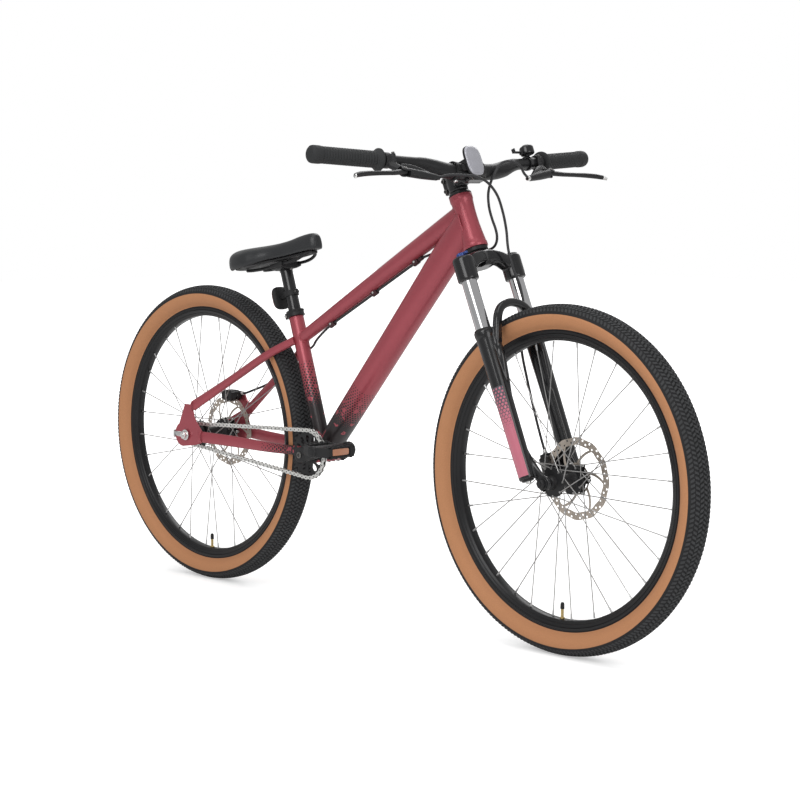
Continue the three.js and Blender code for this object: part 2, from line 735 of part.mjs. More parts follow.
function makeSeatCollar() {
  const foot = seatPoint(seatTubeLength + clearance);
  const bore = postRadius + clearance;
  const outer = seatTubeRadius + collarWall;
  const height = collarHeight;
  const ring = revolve([[bore, 0], [outer, 0], [outer, height], [bore, height]], 20);
  const lugs = block(
    outer + collarLugReach, height, collarSlot + 2 * collarLugThickness,
    point(-(outer + collarLugReach) / 2, height / 2, 0));
  const hole = bar(point(0, -overrun, 0), point(0, height + overrun, 0), bore, 20);
  const slot = block(
    outer + collarLugReach + overrun, height + 2 * overrun, collarSlot,
    point(-(outer + collarLugReach + overrun) / 2, height / 2, 0));
  const bolt = bar(
    point(-outer - collarLugReach / 2, height / 2, -outer / 2),
    point(-outer - collarLugReach / 2, height / 2, outer / 2), collarLugReach / 3, 8);
  const collar = cut(join(solid(ring), solid(lugs)), solid(hole), solid(slot)).add(solid(bolt));
  const piece = addPiece(bike, 'seat_collar', collar, black);
  piece.position.copy(foot);
  piece.rotation.set(Math.PI / 2, 0, 0);
  piece.rotation.y = seatAngle - Math.PI / 2;
  piece.rotation.order = 'YXZ';
}

makeSeatCollar();

const postTop = seatPoint(seatTubeLength + postExposed);
addPiece(bike, 'seatpost', solid(bar(
  seatPoint(seatTubeLength - postInsertion), postTop, postRadius, frameFacets)), black);

// Saddle frame: the origin on the post's top, tilted nose up
const saddleTilt = 8.5 * degree;
const saddleLength = 266;
const saddleTailReach = 148;
const saddleWidth = 142;
const saddleCrownHeight = 62;
const saddleSideHeight = 30;
const saddleBaseHeight = 24;
const saddleBaseThickness = 4;
const railRadius = 3.5;
const railSpacing = 44;
const railHeight = 11;
const railRun = 92;
const clampLength = 40;
const clampWidth = 58;

const saddle = new THREE.Group();
saddle.position.copy(postTop);
saddle.rotation.y = -saddleTilt;
bike.add(saddle);

// Along the saddle from the tail: place, half width, crown and lower edge, all as shares.
const saddlePlaceShares = [0, 0.05, 0.15, 0.27, 0.4, 0.53, 0.68, 0.82, 0.94, 1];
const saddleWidthShares = [0.42, 0.78, 0.97, 1, 0.8, 0.52, 0.36, 0.31, 0.26, 0.14];
const saddleCrownShares = [0.9, 1, 1.03, 0.99, 0.94, 0.92, 0.93, 0.96, 0.94, 0.83];
const saddleEdgeShares = [0.6, 0.18, 0, 0.06, 0.3, 0.5, 0.6, 0.62, 0.72, 0.95];
// Round the section: side place and height, as shares, from the lower middle to the crown.
const saddleSideShares = [0, 0.5, 0.86, 1, 0.93, 0.72, 0.4, 0];
const saddleRiseShares = [0, 0, 0.05, 0.32, 0.66, 0.88, 0.98, 1];

function saddleRing(i) {
  const x = -saddleTailReach + saddleLength * saddlePlaceShares[i];
  const half = (saddleWidth / 2) * saddleWidthShares[i];
  const crown = saddleCrownHeight * saddleCrownShares[i];
  const floor = saddleBaseHeight + clearance;
  const edge = floor + (saddleSideHeight - saddleBaseHeight) * saddleEdgeShares[i];
  const left = saddleSideShares.map((share, k) => (
    point(x, half * share, edge + (crown - edge) * saddleRiseShares[k])));
  const right = left.slice(1, -1).reverse().map((p) => point(p.x, -p.y, p.z));
  return [...left, ...right];
}

function makeSaddleCover() {
  const rings = saddlePlaceShares.map((_, i) => saddleRing(i));
  addPiece(saddle, 'saddle_cover', solid(loft(rings)), black);
}

makeSaddleCover();

// The shell under the cover, a plate of the saddle's outline drawn in a little
function makeSaddleBase() {
  const inset = 0.84;
  const right = saddlePlaceShares.map((share, i) => flat(
    -saddleTailReach * inset + saddleLength * inset * share,
    -(saddleWidth / 2) * saddleWidthShares[i] * inset));
  const left = right.slice().reverse().map((p) => flat(p.x, -p.y));
  const top = saddleBaseHeight;
  const plate = solid(plateFlat([...right, ...left], top - saddleBaseThickness, top));
  addPiece(saddle, 'saddle_base', plate, black);
}

makeSaddleBase();

// One bent rod makes both rails: it rises to the base at the back and at the nose.
function makeRails() {
  const half = railSpacing / 2;
  const top = saddleBaseHeight - saddleBaseThickness - railRadius - clearance;
  const nose = railRun * 1.12;
  const backX = -railRun * 1.1;
  const side = (sign) => [
    point(backX, sign * half * 1.1, top), point(backX + railRadius * 3, sign * half, railHeight + railRadius),
    point(-railRun / 2, sign * half, railHeight), point(-railRun / 4, sign * half, railHeight),
    point(railRun / 4, sign * half, railHeight), point(railRun / 2, sign * half, railHeight),
    point(railRun * 0.86, sign * half * 0.86, railHeight + railRadius),
    point(nose, sign * half * 0.5, top),
  ];
  const path = [...side(1), ...side(-1).reverse()];
  const rod = hose(path, railRadius, 6, 26);
  return addPiece(saddle, 'saddle_rails', solid(rod), steel);
}

makeRails();

// Clamp head: two jaws round the rails, on the post's top
function makeSeatClamp() {
  const foot = clearance;
  const top = railHeight + railRadius + clearance + overrun;
  const outline = [
    flat(-clampWidth / 2, railHeight - railRadius * 1.6), flat(-postRadius, foot),
    flat(postRadius, foot), flat(clampWidth / 2, railHeight - railRadius * 1.6),
    flat(clampWidth / 2, top), flat(-clampWidth / 2, top),
  ];
  const leaning = new THREE.Matrix4().makeRotationY(saddleTilt - (Math.PI / 2 - seatAngle));
  let jaws = solid(plateAlong(outline, -clampLength / 2, clampLength / 2));
  for (const [, side] of sides) {
    const y = (side * railSpacing) / 2;
    const groove = bar(
      point(-clampLength, y, railHeight), point(clampLength, y, railHeight),
      railRadius + 2 * clearance, 8);
    jaws = jaws.subtract(solid(groove));
  }
  const head = block(4 * postRadius, 4 * postRadius, 2 * postRadius, point(0, 0, -postRadius + clearance));
  head.applyMatrix4(leaning);
  jaws = jaws.subtract(solid(head));
  addPiece(saddle, 'seat_clamp', jaws, black);
}

makeSeatClamp();

// Rear reflector on a band round the post
const reflectorBandHeight = 12;
const reflectorBandWall = 2.5;
const reflectorBandPlace = 52;
const rearReflectorWidth = 42;
const rearReflectorHeight = 50;
const rearReflectorDepth = 13;
const reflectorArm = 14;

function makeRearReflector() {
  const mount = new THREE.Group();
  mount.position.copy(seatPoint(seatTubeLength + reflectorBandPlace));
  mount.rotation.y = -(Math.PI / 2 - seatAngle);
  bike.add(mount);
  const bore = postRadius + clearance;
  const outer = postRadius + reflectorBandWall;
  const half = reflectorBandHeight / 2;
  const band = revolve([[bore, -half], [outer, -half], [outer, half], [bore, half]], 16);
  band.rotateX(Math.PI / 2);
  const armEnd = -outer - reflectorArm;
  const arm = block(reflectorArm + overrun, reflectorBandHeight, reflectorBandHeight * 0.7,
    point((armEnd - outer + overrun) / 2, 0, 0));
  const hole = bar(point(0, 0, -half - overrun), point(0, 0, half + overrun), bore, 16);
  addPiece(mount, 'rear_reflector_clamp', cut(join(solid(band), solid(arm)), solid(hole)), black);
  const w = rearReflectorWidth / 2;
  const h = rearReflectorHeight / 2;
  const shape = [
    flat(-w, -h * 0.6), flat(-w * 0.6, -h), flat(w * 0.6, -h), flat(w, -h * 0.6),
    flat(w, h * 0.6), flat(w * 0.6, h), flat(-w * 0.6, h), flat(-w, h * 0.6)];
  const back = armEnd - clearance;
  const housing = plateAlong(shape, back - rearReflectorDepth, back);
  addPiece(mount, 'rear_reflector', solid(housing), redLens);
}

makeRearReflector();

// Chain: real links. Pins step round both sprockets and along the two spans.
const rollerRadius = 3.5;
const rollerFacets = 4;
const plateReach = 4;
const plateStep = 1.3;
const plateHeight = 7.6;
const plateThickness = 1.1;
const innerPlateFrom = 1.7;
const outerPlateFrom = 2.9;
const overlapForWeld = 0.2;

// Places of the pins in a frame on the ring's centre, with the cog behind it at -X.
function chainPins() {
  const pins = [];
  const ringStep = (2 * Math.PI) / ringTeeth;
  const cogStep = (2 * Math.PI) / cogTeeth;
  for (let i = 0; i <= ringWrapLinks; i += 1) {
    const angle = ringLastAngle - i * ringStep;
    pins.push(flat(ringPitchRadius * Math.cos(angle), ringPitchRadius * Math.sin(angle)));
  }
  const cogPins = [];
  for (let i = 0; i <= cogWrapLinks; i += 1) {
    const angle = Math.PI + cogLastAngle - i * cogStep;
    cogPins.push(flat(
      cogPitchRadius * Math.cos(angle) - driveCentres, cogPitchRadius * Math.sin(angle)));
  }
  const between = (from, to) => Array.from({ length: spanLinks - 1 }, (_, i) => (
    from.clone().lerp(to, (i + 1) / spanLinks)));
  const lower = between(pins[pins.length - 1], cogPins[0]);
  const upper = between(cogPins[cogPins.length - 1], pins[0]);
  return [...pins, ...lower, ...cogPins, ...upper];
}

// One side of the chain as a closed ribbon of plates, inner and outer by turns
function plateRibbon(pins, side) {
  const rings = [];
  pins.forEach((pin, i) => {
    const next = pins[(i + 1) % pins.length];
    const along = next.clone().sub(pin).normalize();
    const inner = i % 2 === 0;
    const near = side * (inner ? innerPlateFrom : outerPlateFrom);
    const far = near + side * (inner ? plateThickness + overlapForWeld : plateThickness);
    const reach = inner ? plateReach : -plateReach - plateStep;
    const ends = [pin.clone().addScaledVector(along, -reach), next.clone().addScaledVector(along, reach)];
    for (const end of ends) {
      const up = flat(-along.y, along.x).multiplyScalar(plateHeight / 2);
      rings.push([
        point(end.x - up.x, near, end.y - up.y), point(end.x - up.x, far, end.y - up.y),
        point(end.x + up.x, far, end.y + up.y), point(end.x + up.x, near, end.y + up.y),
      ]);
    }
  });
  rings.push(rings[0]);
  return loft(rings, true);
}

function makeChain() {
  const pins = chainPins();
  const parts = [solid(plateRibbon(pins, 1)), solid(plateRibbon(pins, -1))];
  const end = innerPlateFrom + plateThickness / 2;
  for (const pin of pins) {
    const roller = bar(point(pin.x, -end, pin.y), point(pin.x, end, pin.y), rollerRadius, rollerFacets);
    parts.push(solid(roller));
  }
  const piece = addPiece(bike, 'chain', wasm.Manifold.union(parts), steel);
  piece.position.set(bottomBracket.x, chainLine, bottomBracket.z);
  piece.rotation.y = -driveTilt;
}

makeChain();

// A toothed wheel: flat-bottomed gaps for the rollers and teeth that narrow to their tips
const toothThickness = 2.2;
const gapDepth = 4;
const gapHalfWidth = 2.6;
const tipHeight = 3;
const tipHalfWidth = 1.2;

function toothOutline(teeth, pitchRadius) {
  const outline = [];
  const root = pitchRadius - gapDepth;
  const tip = pitchRadius + tipHeight;
  for (let i = 0; i < teeth; i += 1) {
    const gapAngle = ((i + 0.5) / teeth) * 2 * Math.PI;
    const toothAngle = ((i + 1) / teeth) * 2 * Math.PI;
    const rootTurn = gapHalfWidth / root;
    const tipTurn = tipHalfWidth / tip;
    for (const [radius, angle] of [[root, gapAngle - rootTurn], [root, gapAngle + rootTurn],
      [tip, toothAngle - tipTurn], [tip, toothAngle + tipTurn]]) {
      outline.push(flat(radius * Math.cos(angle), radius * Math.sin(angle)));
    }
  }
  return outline;
}

// Crank set: ring, two arms on one spindle, each with its pedal axle
const crankLength = 152;
const crankRise = 11 * degree;
const crankBossRadius = 17;
const crankEyeRadius = 13.5;
const crankInner = 57;
const crankThickness = 17;
const crankEyeInner = 65;
const crankEyeThickness = 14;
const crankWaistHeight = 24;
const crankEyeHeight = 21;
const pedalAxleRadius = 4.6;
const pedalGap = 8;
const pedalAxleLength = 84;
const spiderWindows = 5;
const ringBossRadius = 15;
const windowOutset = 9;

const crank = new THREE.Group();
crank.position.copy(bottomBracket);
crank.rotation.y = -crankRise;
bike.add(crank);

function makeChainring() {
  const outer = ringPitchRadius - gapDepth - windowOutset / 2;
  const inner = crankBossRadius + windowOutset / 2;
  const bow = outer + toothThickness / 2;
  const holes = [circle(0, 0, ringBossRadius + 2 * clearance, 16)];
  for (let i = 0; i < spiderWindows; i += 1) {
    const centre = ((i + 0.5) / spiderWindows) * 2 * Math.PI;
    const spread = (0.34 / spiderWindows) * 2 * Math.PI;
    holes.push([
      flat(outer * Math.cos(centre - spread), outer * Math.sin(centre - spread)),
      flat(bow * Math.cos(centre), bow * Math.sin(centre)),
      flat(outer * Math.cos(centre + spread), outer * Math.sin(centre + spread)),
      flat(inner * Math.cos(centre + spread / 2), inner * Math.sin(centre + spread / 2)),
      flat(inner * Math.cos(centre - spread / 2), inner * Math.sin(centre - spread / 2)),
    ]);
  }
  const half = toothThickness / 2;
  const ring = solid(plateAcross(toothOutline(ringTeeth, ringPitchRadius), -half, half, holes));
  const piece = addPiece(crank, 'chainring', ring, black);
  piece.position.y = chainLine;
  piece.rotation.y = crankRise - driveTilt;
}

makeChainring();

// An arm lies along +X of the crank frame on the right and along -X on the left.
function makeCrankArm(name, side) {
  const turn = side < 0 ? 1 : -1;
  const reach = turn * crankLength;
  const bossY = side * (crankInner + crankThickness / 2);
  const eyeY = side * (crankEyeInner + crankEyeThickness / 2);
  const stations = [
    { at: point(turn * crankBossRadius * 0.4, bossY, 0), across: crankThickness / 2, up: crankBossRadius },
    { at: point(reach * 0.28, bossY, 0), across: crankThickness / 2.3, up: crankWaistHeight / 2 },
    { at: point(reach * 0.65, (bossY + eyeY) / 2, 0), across: crankEyeThickness / 2.1, up: crankEyeHeight / 2 },
    { at: point(reach, eyeY, 0), across: crankEyeThickness / 2.1, up: crankEyeHeight / 2 },
  ];
  const axis = (x, y) => point(x, side * y, 0);
  const bossStart = side < 0 ? -chainLine - toothThickness / 2 : crankInner;
  let arm = join(
    solid(tube(stations, 8, 4)),
    solid(bar(axis(0, crankInner), axis(0, crankInner + crankThickness), crankBossRadius, 14)),
    solid(bar(axis(0, bossStart), axis(0, crankInner + overrun), ringBossRadius, 12)),
    solid(bar(axis(reach, crankEyeInner), axis(reach, crankEyeInner + crankEyeThickness),
      crankEyeRadius, 12)),
    solid(bar(axis(reach, crankEyeInner + overrun),
      axis(reach, crankEyeInner + crankEyeThickness + pedalGap + pedalAxleLength), pedalAxleRadius, 10)));
  const socket = bar(axis(0, bossStart - overrun), axis(0, crankInner + crankThickness / 2),
    spindleRadius + clearance, 12);
  arm = arm.subtract(solid(socket));
  return addPiece(crank, name, arm, black);
}

makeCrankArm('crank_arm_right', -1);
makeCrankArm('crank_arm_left', 1);
const spindleHalf = crankInner + crankThickness / 2 - clearance;
addPiece(crank, 'crank_spindle', solid(bar(
  point(0, -spindleHalf, 0), point(0, spindleHalf, 0), spindleRadius, 12)), steel);

// Pedals: a six-sided platform with two windows, ridged edges and a tube round the axle
const pedalLength = 88;
const pedalWidth = 76;
const pedalNose = 18;
const pedalThickness = 24;
const pedalBar = 11;
const pedalTubeRadius = 11;
const pedalTeeth = 5;
const pedalToothHeight = 2.6;
const pedalToothLength = 5;

function makePedal(name, side) {
  const turn = side < 0 ? 1 : -1;
  const half = pedalLength / 2;
  const start = crankEyeInner + crankEyeThickness + pedalGap;
  const sign = (y) => side * (start + y);
  const outline = [
    flat(-half, sign(0)), flat(half, sign(0)), flat(half, sign(pedalWidth)),
    flat(pedalTubeRadius, sign(pedalWidth + pedalNose)),
    flat(-pedalTubeRadius, sign(pedalWidth + pedalNose)), flat(-half, sign(pedalWidth)),
  ];
  const windows = [-1, 1].map((end) => [
    flat(end * (half - pedalBar), sign(pedalBar)),
    flat(end * pedalTubeRadius, sign(pedalBar)),
    flat(end * pedalTubeRadius, sign(pedalWidth - pedalBar / 4)),
    flat(end * (half - pedalBar), sign(pedalWidth - pedalBar)),
  ]);
  const thick = pedalThickness / 2;
  let body = solid(plateFlat(outline, -thick, thick));
  for (const window of windows) {
    body = body.subtract(solid(plateFlat(window, -thick - overrun, thick + overrun)));
  }
  const bore = bar(point(0, sign(-overrun), 0), point(0, sign(pedalAxleLength + clearance), 0),
    pedalAxleRadius + clearance, 10);
  body = body.subtract(solid(bore));
  for (const end of [-1, 1]) {
    for (let i = 0; i < pedalTeeth; i += 1) {
      const y = sign(pedalBar + ((pedalWidth - 2 * pedalBar) * i) / (pedalTeeth - 1));
      const tooth = block(pedalBar, pedalToothLength, pedalThickness + 2 * pedalToothHeight,
        point(end * (half - pedalBar / 2 - clearance), y, 0));
      body = body.add(solid(tooth));
    }
  }
  const piece = addPiece(crank, name, body, black);
  piece.position.x = turn * crankLength;
  piece.rotation.y = crankRise;
}

makePedal('pedal_right', -1);
makePedal('pedal_left', 1);

// Freewheel: the cog on a round body that screws on the hub
const freewheelRadius = 18;

function makeFreewheel() {
  const half = toothThickness / 2;
  const bore = freewheelSeatRadius + clearance;
  const from = freewheelSeatFrom - chainLine;
  const to = freewheelSeatTo - chainLine - clearance;
  const body = revolve([[bore, from], [freewheelRadius, from], [freewheelRadius, to], [bore, to]], 18);
  const teeth = plateAcross(toothOutline(cogTeeth, cogPitchRadius), -half, half);
  const hole = bar(point(0, -freewheelRadius, 0), point(0, freewheelRadius, 0), bore, 18);
  const piece = addPiece(bike, 'freewheel', cut(join(solid(body), solid(teeth)), solid(hole)), steel);
  piece.position.set(rearAxleX, chainLine, axleHeight);
  piece.rotation.y = -driveTilt;
}

makeFreewheel();

// Fork: a crown on the steerer, two stanchions, and lowers that slide on them
const legSpacing = 132;
const legOffset = 18.5;
const stanchionRadius = 15;
const stanchionTop = -30;
const stanchionOverlap = 124;
const lowersTop = -176;
const stanchionBottom = lowersTop - stanchionOverlap;
const crownCupRadius = 21;
const crownCupTop = -24.5;
const crownCupBottom = -74;
const crownBossTop = -headsetFlange - clearance;
const crownBossBottom = -42;
const crownBossRadius = 22;
const crownBossFootRadius = 24;
const crownArmFrom = 3;
const crownArmTo = 33;
const steererTop = 160.4;
const stanchionBore = stanchionRadius + clearance;

// Half outline of the arched crown arms, as shares of the leg spacing's half and of their depth
const crownArmDepth = 64;
const crownArmSideShares = [0, 0.364, 0.636, 0.818, 1, 1, 0.803, 0.682, 0.379, 0];
const crownArmDropShares = [0.156, 0.172, 0.297, 0.406, 0.422, 0.938, 1, 0.766, 0.641, 0.61];

function crownArmOutline() {
  const right = crownArmSideShares.map((share, i) => (
    flat((legSpacing / 2) * share, -crownArmDepth * crownArmDropShares[i])));
  const left = right.slice(1, -1).reverse().map((p) => flat(-p.x, p.y));
  return [...right, ...left];
}

function makeCrown() {
  let crown = join(
    solid(bar(point(0, 0, crownBossTop - overrun), point(0, 0, steererTop), steererRadius, 16)),
    solid(bar(point(0, 0, crownBossBottom), point(0, 0, crownBossTop), crownBossFootRadius, 18,
      crownBossRadius)),
    solid(plateAlong(crownArmOutline(), crownArmFrom, crownArmTo)));
  for (const [, side] of sides) {
    const axis = (z) => point(legOffset, (side * legSpacing) / 2, z);
    crown = crown.add(solid(bar(axis(crownCupBottom), axis(crownCupTop), crownCupRadius, 14)));
    const bore = bar(axis(crownCupBottom - overrun), axis(stanchionTop + clearance), stanchionBore, 14);
    crown = crown.subtract(solid(bore));
  }
  addPiece(steering, 'fork_crown', crown, black);
}

makeCrown();

for (const [name, side] of sides) {
  const axis = (z) => point(legOffset, (side * legSpacing) / 2, z);
  addPiece(steering, `stanchion_${name}`, solid(bar(
    axis(stanchionBottom), axis(stanchionTop), stanchionRadius, 14)), chrome);
}

// Preload knob on the right cup, with a small lever
const knobRadius = 10;
const knobHeight = 8;
const knobLeverReach = 17;
const knobLeverWidth = 6;
const knobLeverHeight = 5;

function makeKnob() {
  const foot = crownCupTop + clearance;
  const axis = (z) => point(legOffset, -legSpacing / 2, z);
  const lever = block(knobLeverReach, knobLeverWidth, knobLeverHeight,
    point(legOffset + knobLeverReach / 2, -legSpacing / 2, foot + knobHeight - knobLeverHeight / 2));
  const knob = join(solid(bar(axis(foot), axis(foot + knobHeight), knobRadius, 12)), solid(lever));
  addPiece(steering, 'preload_knob', knob, blue);
}

makeKnob();

// Lowers: two legs, the arch in front, dropout plates and the brake tab
const frontAxle = point(forkOffset, 0, -forkLength);
const legFootRise = 16.6;
const lowersBottom = legFootRise - forkLength;
const lowersTopRadius = 18.6;
const lowersBottomRadius = 16;
const lowersLipRadius = 20;
const lowersLipHeight = 7;
const lowersFootDepth = 72;
const forkDropoutInner = 50.3;
const forkDropoutOuter = 60;
const forkDropoutRadius = 15;
const forkTabFrom = 54.3;
const forkTabTo = 62;

// Half of the arch, from the right leg to its crest, as shares of its own sizes
const archForward = 46.5;
const archSide = 63;
const archCrest = -130;
const archDrop = 96;
const archHalfDepth = 8;
const archHalfHeight = 9;
const archForwardShares = [0.516, 0.86, 0.99, 1, 1];
const archSideShares = [1, 0.857, 0.667, 0.333, 0];
const archDropShares = [1, 0.583, 0.229, 0.042, 0];
const archHeightShares = [0.89, 0.89, 0.89, 0.945, 1];

function archPiece() {
  const right = archForwardShares.map((share, i) => ({
    at: point(archForward * share, -archSide * archSideShares[i], archCrest - archDrop * archDropShares[i]),
    across: archHalfDepth,
    up: archHalfHeight * archHeightShares[i],
  }));
  const left = right.slice(0, -1).reverse().map((s) => (
    { at: point(s.at.x, -s.at.y, s.at.z), across: s.across, up: s.up }));
  return tube([...right, ...left], 8, 12, axisX);
}

function forkDropout(side) {
  const foot = lowersBottom + lowersBottomRadius;
  const outline = [
    flat(legOffset - lowersBottomRadius * 0.8, foot + lowersLipRadius),
    flat(legOffset - lowersBottomRadius * 0.7, foot - lowersLipRadius),
    flat(frontAxle.x - forkDropoutRadius, frontAxle.z - forkDropoutRadius * 0.7),
    flat(frontAxle.x - forkDropoutRadius * 0.5, frontAxle.z - forkDropoutRadius),
    flat(frontAxle.x + forkDropoutRadius * 0.5, frontAxle.z - forkDropoutRadius),
    flat(frontAxle.x + forkDropoutRadius, frontAxle.z - forkDropoutRadius * 0.5),
    flat(frontAxle.x + forkDropoutRadius, frontAxle.z + forkDropoutRadius * 0.5),
    flat(legOffset + lowersBottomRadius * 0.9, foot + 2 * lowersLipRadius),
  ];
  const near = side < 0 ? -forkDropoutOuter : forkDropoutInner;
  const far = side < 0 ? -forkDropoutInner : forkDropoutOuter;
  return plateAcross(outline, near, far);
}

function makeLowers() {
  let lowers = solid(archPiece());
  for (const [, side] of sides) {
    const y = (side * legSpacing) / 2;
    const axis = (z) => point(legOffset, y, z);
    lowers = join(lowers,
      solid(bar(axis(lowersBottom), axis(lowersTop), lowersBottomRadius, 14, lowersTopRadius)),
      solid(bar(axis(lowersTop - lowersLipHeight), axis(lowersTop), lowersLipRadius, 14)),
      solid(forkDropout(side)));
  }
  const tab = block(
    2.3 * lowersBottomRadius, forkTabTo - forkTabFrom, 3 * lowersBottomRadius,
    point(legOffset - 1.9 * lowersBottomRadius, (forkTabFrom + forkTabTo) / 2,
      lowersBottom + 2 * lowersBottomRadius));
  lowers = lowers.add(solid(tab));
  for (const [, side] of sides) {
    const axis = (z) => point(legOffset, (side * legSpacing) / 2, z);
    const bore = bar(axis(lowersBottom + lowersFootDepth), axis(lowersTop + 2 * lowersLipRadius), stanchionBore, 14);
    lowers = lowers.subtract(solid(bore));
  }
  const hole = bar(
    point(frontAxle.x, -legSpacing, frontAxle.z), point(frontAxle.x, legSpacing, frontAxle.z),
    axleRadius + clearance, 12);
  const slot = block(
    2 * (axleRadius + clearance), 2 * legSpacing, 2 * forkDropoutRadius,
    point(frontAxle.x, 0, frontAxle.z - forkDropoutRadius));
  addPiece(steering, 'fork_lowers', cut(lowers, solid(hole), solid(slot)), black);
}

makeLowers();
makeAxle(steering, 'front_axle', forkDropoutOuter, frontAxle);

// Front caliper, a body that straddles the edge of the rotor behind the left leg
const frontCaliper = { back: -28, front: -2, inner: 27, rise: 4, height: 50 };
const padGap = 3;
const rotorSwing = rotorRadius + overrun;
const portLength = 8;
const portRadius = 4.5;

function rotorSlot(centre, rotorFace) {
  const middle = rotorFace + clearance + rotorThickness / 2;
  return bar(
    point(centre.x, middle - padGap / 2, centre.z), point(centre.x, middle + padGap / 2, centre.z),
    rotorSwing, 32);
}

function makeFrontCaliper() {
  const outer = forkTabFrom - clearance;
  const { back, front, inner, rise, height } = frontCaliper;
  const low = lowersBottom + rise;
  const high = low + height;
  const body = block(front - back, outer - inner, high - low,
    point((front + back) / 2, (outer + inner) / 2, (low + high) / 2));
  const portX = back + portLength;
  const portY = frontHosePort.y;
  const port = bar(point(portX, portY, high - overrun), point(portX, portY, high + portLength),
    portRadius, 8);
  const socket = bar(point(portX, portY, high + clearance), point(portX, portY, high + portLength + overrun),
    hoseRadius + clearance, 8);
  const caliper = cut(join(solid(body), solid(port)), solid(socket), solid(rotorSlot(frontAxle, frontHub.discSeat)));
  addPiece(steering, 'front_caliper', caliper, black);
}

const frontHosePort = point(
  frontCaliper.back + portLength, frontHub.discSeat + portLength + clearance * 4,
  lowersBottom + frontCaliper.rise + frontCaliper.height + 2 * clearance);
makeFrontCaliper();

function makeRearCaliper() {
  const { along, across, deep } = caliperSize;
  const centreX = rearAxleX + rearCaliperOffset.x;
  const centreZ = axleHeight + rearCaliperOffset.z;
  const middle = rearHub.discSeat + clearance + rotorThickness / 2;
  const body = block(along, across, deep, point(centreX, middle, centreZ));
  const portY = rearHosePort.y;
  const port = bar(
    point(rearHosePort.x - overrun - clearance, portY, rearHosePort.z),
    point(rearHosePort.x + portLength, portY, rearHosePort.z), portRadius, 8);
  const socket = bar(
    point(rearHosePort.x - clearance, portY, rearHosePort.z),
    point(rearHosePort.x + portLength + overrun, portY, rearHosePort.z), hoseRadius + clearance, 8);
  const slot = rotorSlot(rearAxle, rearHub.discSeat);
  addPiece(bike, 'rear_caliper', cut(join(solid(body), solid(port)), solid(socket), solid(slot)), black);
}

const rearHosePort = point(
  rearAxleX + rearCaliperOffset.x + caliperSize.along / 2 + 2 * clearance, rearHub.discSeat + portLength,
  axleHeight + rearCaliperOffset.z + caliperSize.deep / 4);
makeRearCaliper();

// Stem with its face plate and top cap
const stemFoot = headTubeLength + headsetFlange + clearance;
const stemTop = 161;
const stemClampRadius = 19.5;
const stemReach = 45;
const barHeight = 142.6;
const barClampRadius = 21.5;
const barClampWidth = 46;
const stemBodyWidth = 32;
const stemBodyHeight = 30;
const stemLugReach = 28;
const stemLugWidth = 20;
const stemSlot = 2;
const faceGap = 2;
const faceDepth = 12;
const faceHeight = 45;
const boltRadius = 3;
const boltHeadRadius = 4.2;
const boltHeadHeight = 3;
const boltSpreadY = 15;
const boltSpreadZ = 18.6;
const barCentreRadius = 15.9;
const barEndRadius = 11.1;
const capRadius = 17;
const capHeight = 4;

const barClampPoint = (y) => point(stemReach, y, barHeight);

function barClamp() {
  const half = barClampWidth / 2;
  return join(
    solid(bar(barClampPoint(-half), barClampPoint(half), barClampRadius, 20)),
    solid(block(2 * faceDepth, barClampWidth, faceHeight, barClampPoint(0))));
}

function makeStem() {
  const half = barClampWidth / 2;
  const bore = bar(barClampPoint(-half - overrun), barClampPoint(half + overrun),
    barCentreRadius + 2 * clearance, 20);
  const frontHalf = block(
    2 * barClampRadius, barClampWidth + overrun, 2 * faceHeight,
    point(stemReach - faceGap / 2 + barClampRadius, 0, barHeight));
  const backHalf = frontHalf.clone().translate(faceGap - 2 * barClampRadius, 0, 0);
  const steererHole = bar(point(0, 0, stemFoot - overrun), point(0, 0, stemTop + overrun),
    steererRadius + clearance, 16);
  const slot = block(stemLugReach, stemSlot, stemTop, point(-stemLugReach / 2 - steererRadius / 2, 0, stemTop));
  const lugs = block(stemLugReach, stemLugWidth, stemTop - stemFoot - 2 * overrun,
    point(-stemLugReach / 2, 0, (stemTop + stemFoot) / 2));
  let stem = join(
    solid(bar(point(0, 0, stemFoot), point(0, 0, stemTop), stemClampRadius, 20)),
    solid(block(stemReach, stemBodyWidth, stemBodyHeight, point(stemReach / 2, 0, barHeight))),
    solid(lugs), cut(barClamp(), solid(frontHalf)));
  stem = cut(stem, solid(steererHole), solid(bore), solid(slot));
  for (const share of [0.25, 0.75]) {
    const z = THREE.MathUtils.lerp(stemFoot, stemTop, share);
    const x = -(stemLugReach + stemClampRadius) / 2;
    stem = stem.add(solid(bar(
      point(x, -stemLugWidth / 2 - boltHeadHeight / 2, z), point(x, stemLugWidth / 2, z), boltRadius, 6)));
  }
  addPiece(steering, 'stem', stem, black);

  let face = cut(barClamp(), solid(backHalf), solid(bore));
  for (const y of [-boltSpreadY, boltSpreadY]) {
    for (const z of [-boltSpreadZ, boltSpreadZ]) {
      const from = point(stemReach + faceDepth - overrun, y, barHeight + z);
      const to = point(stemReach + faceDepth + boltHeadHeight, y, barHeight + z);
      face = face.add(solid(bar(from, to, boltHeadRadius, 6)));
    }
  }
  addPiece(steering, 'stem_faceplate', face, black);
  const capFoot = stemTop + clearance;
  const cap = join(
    solid(bar(point(0, 0, capFoot), point(0, 0, capFoot + capHeight), capRadius, 16)),
    solid(bar(point(0, 0, capFoot + overrun), point(0, 0, capFoot + capHeight + boltHeadHeight / 2),
      boltHeadRadius, 6)));
  addPiece(steering, 'headset_top_cap', cap, black);
}

makeStem();

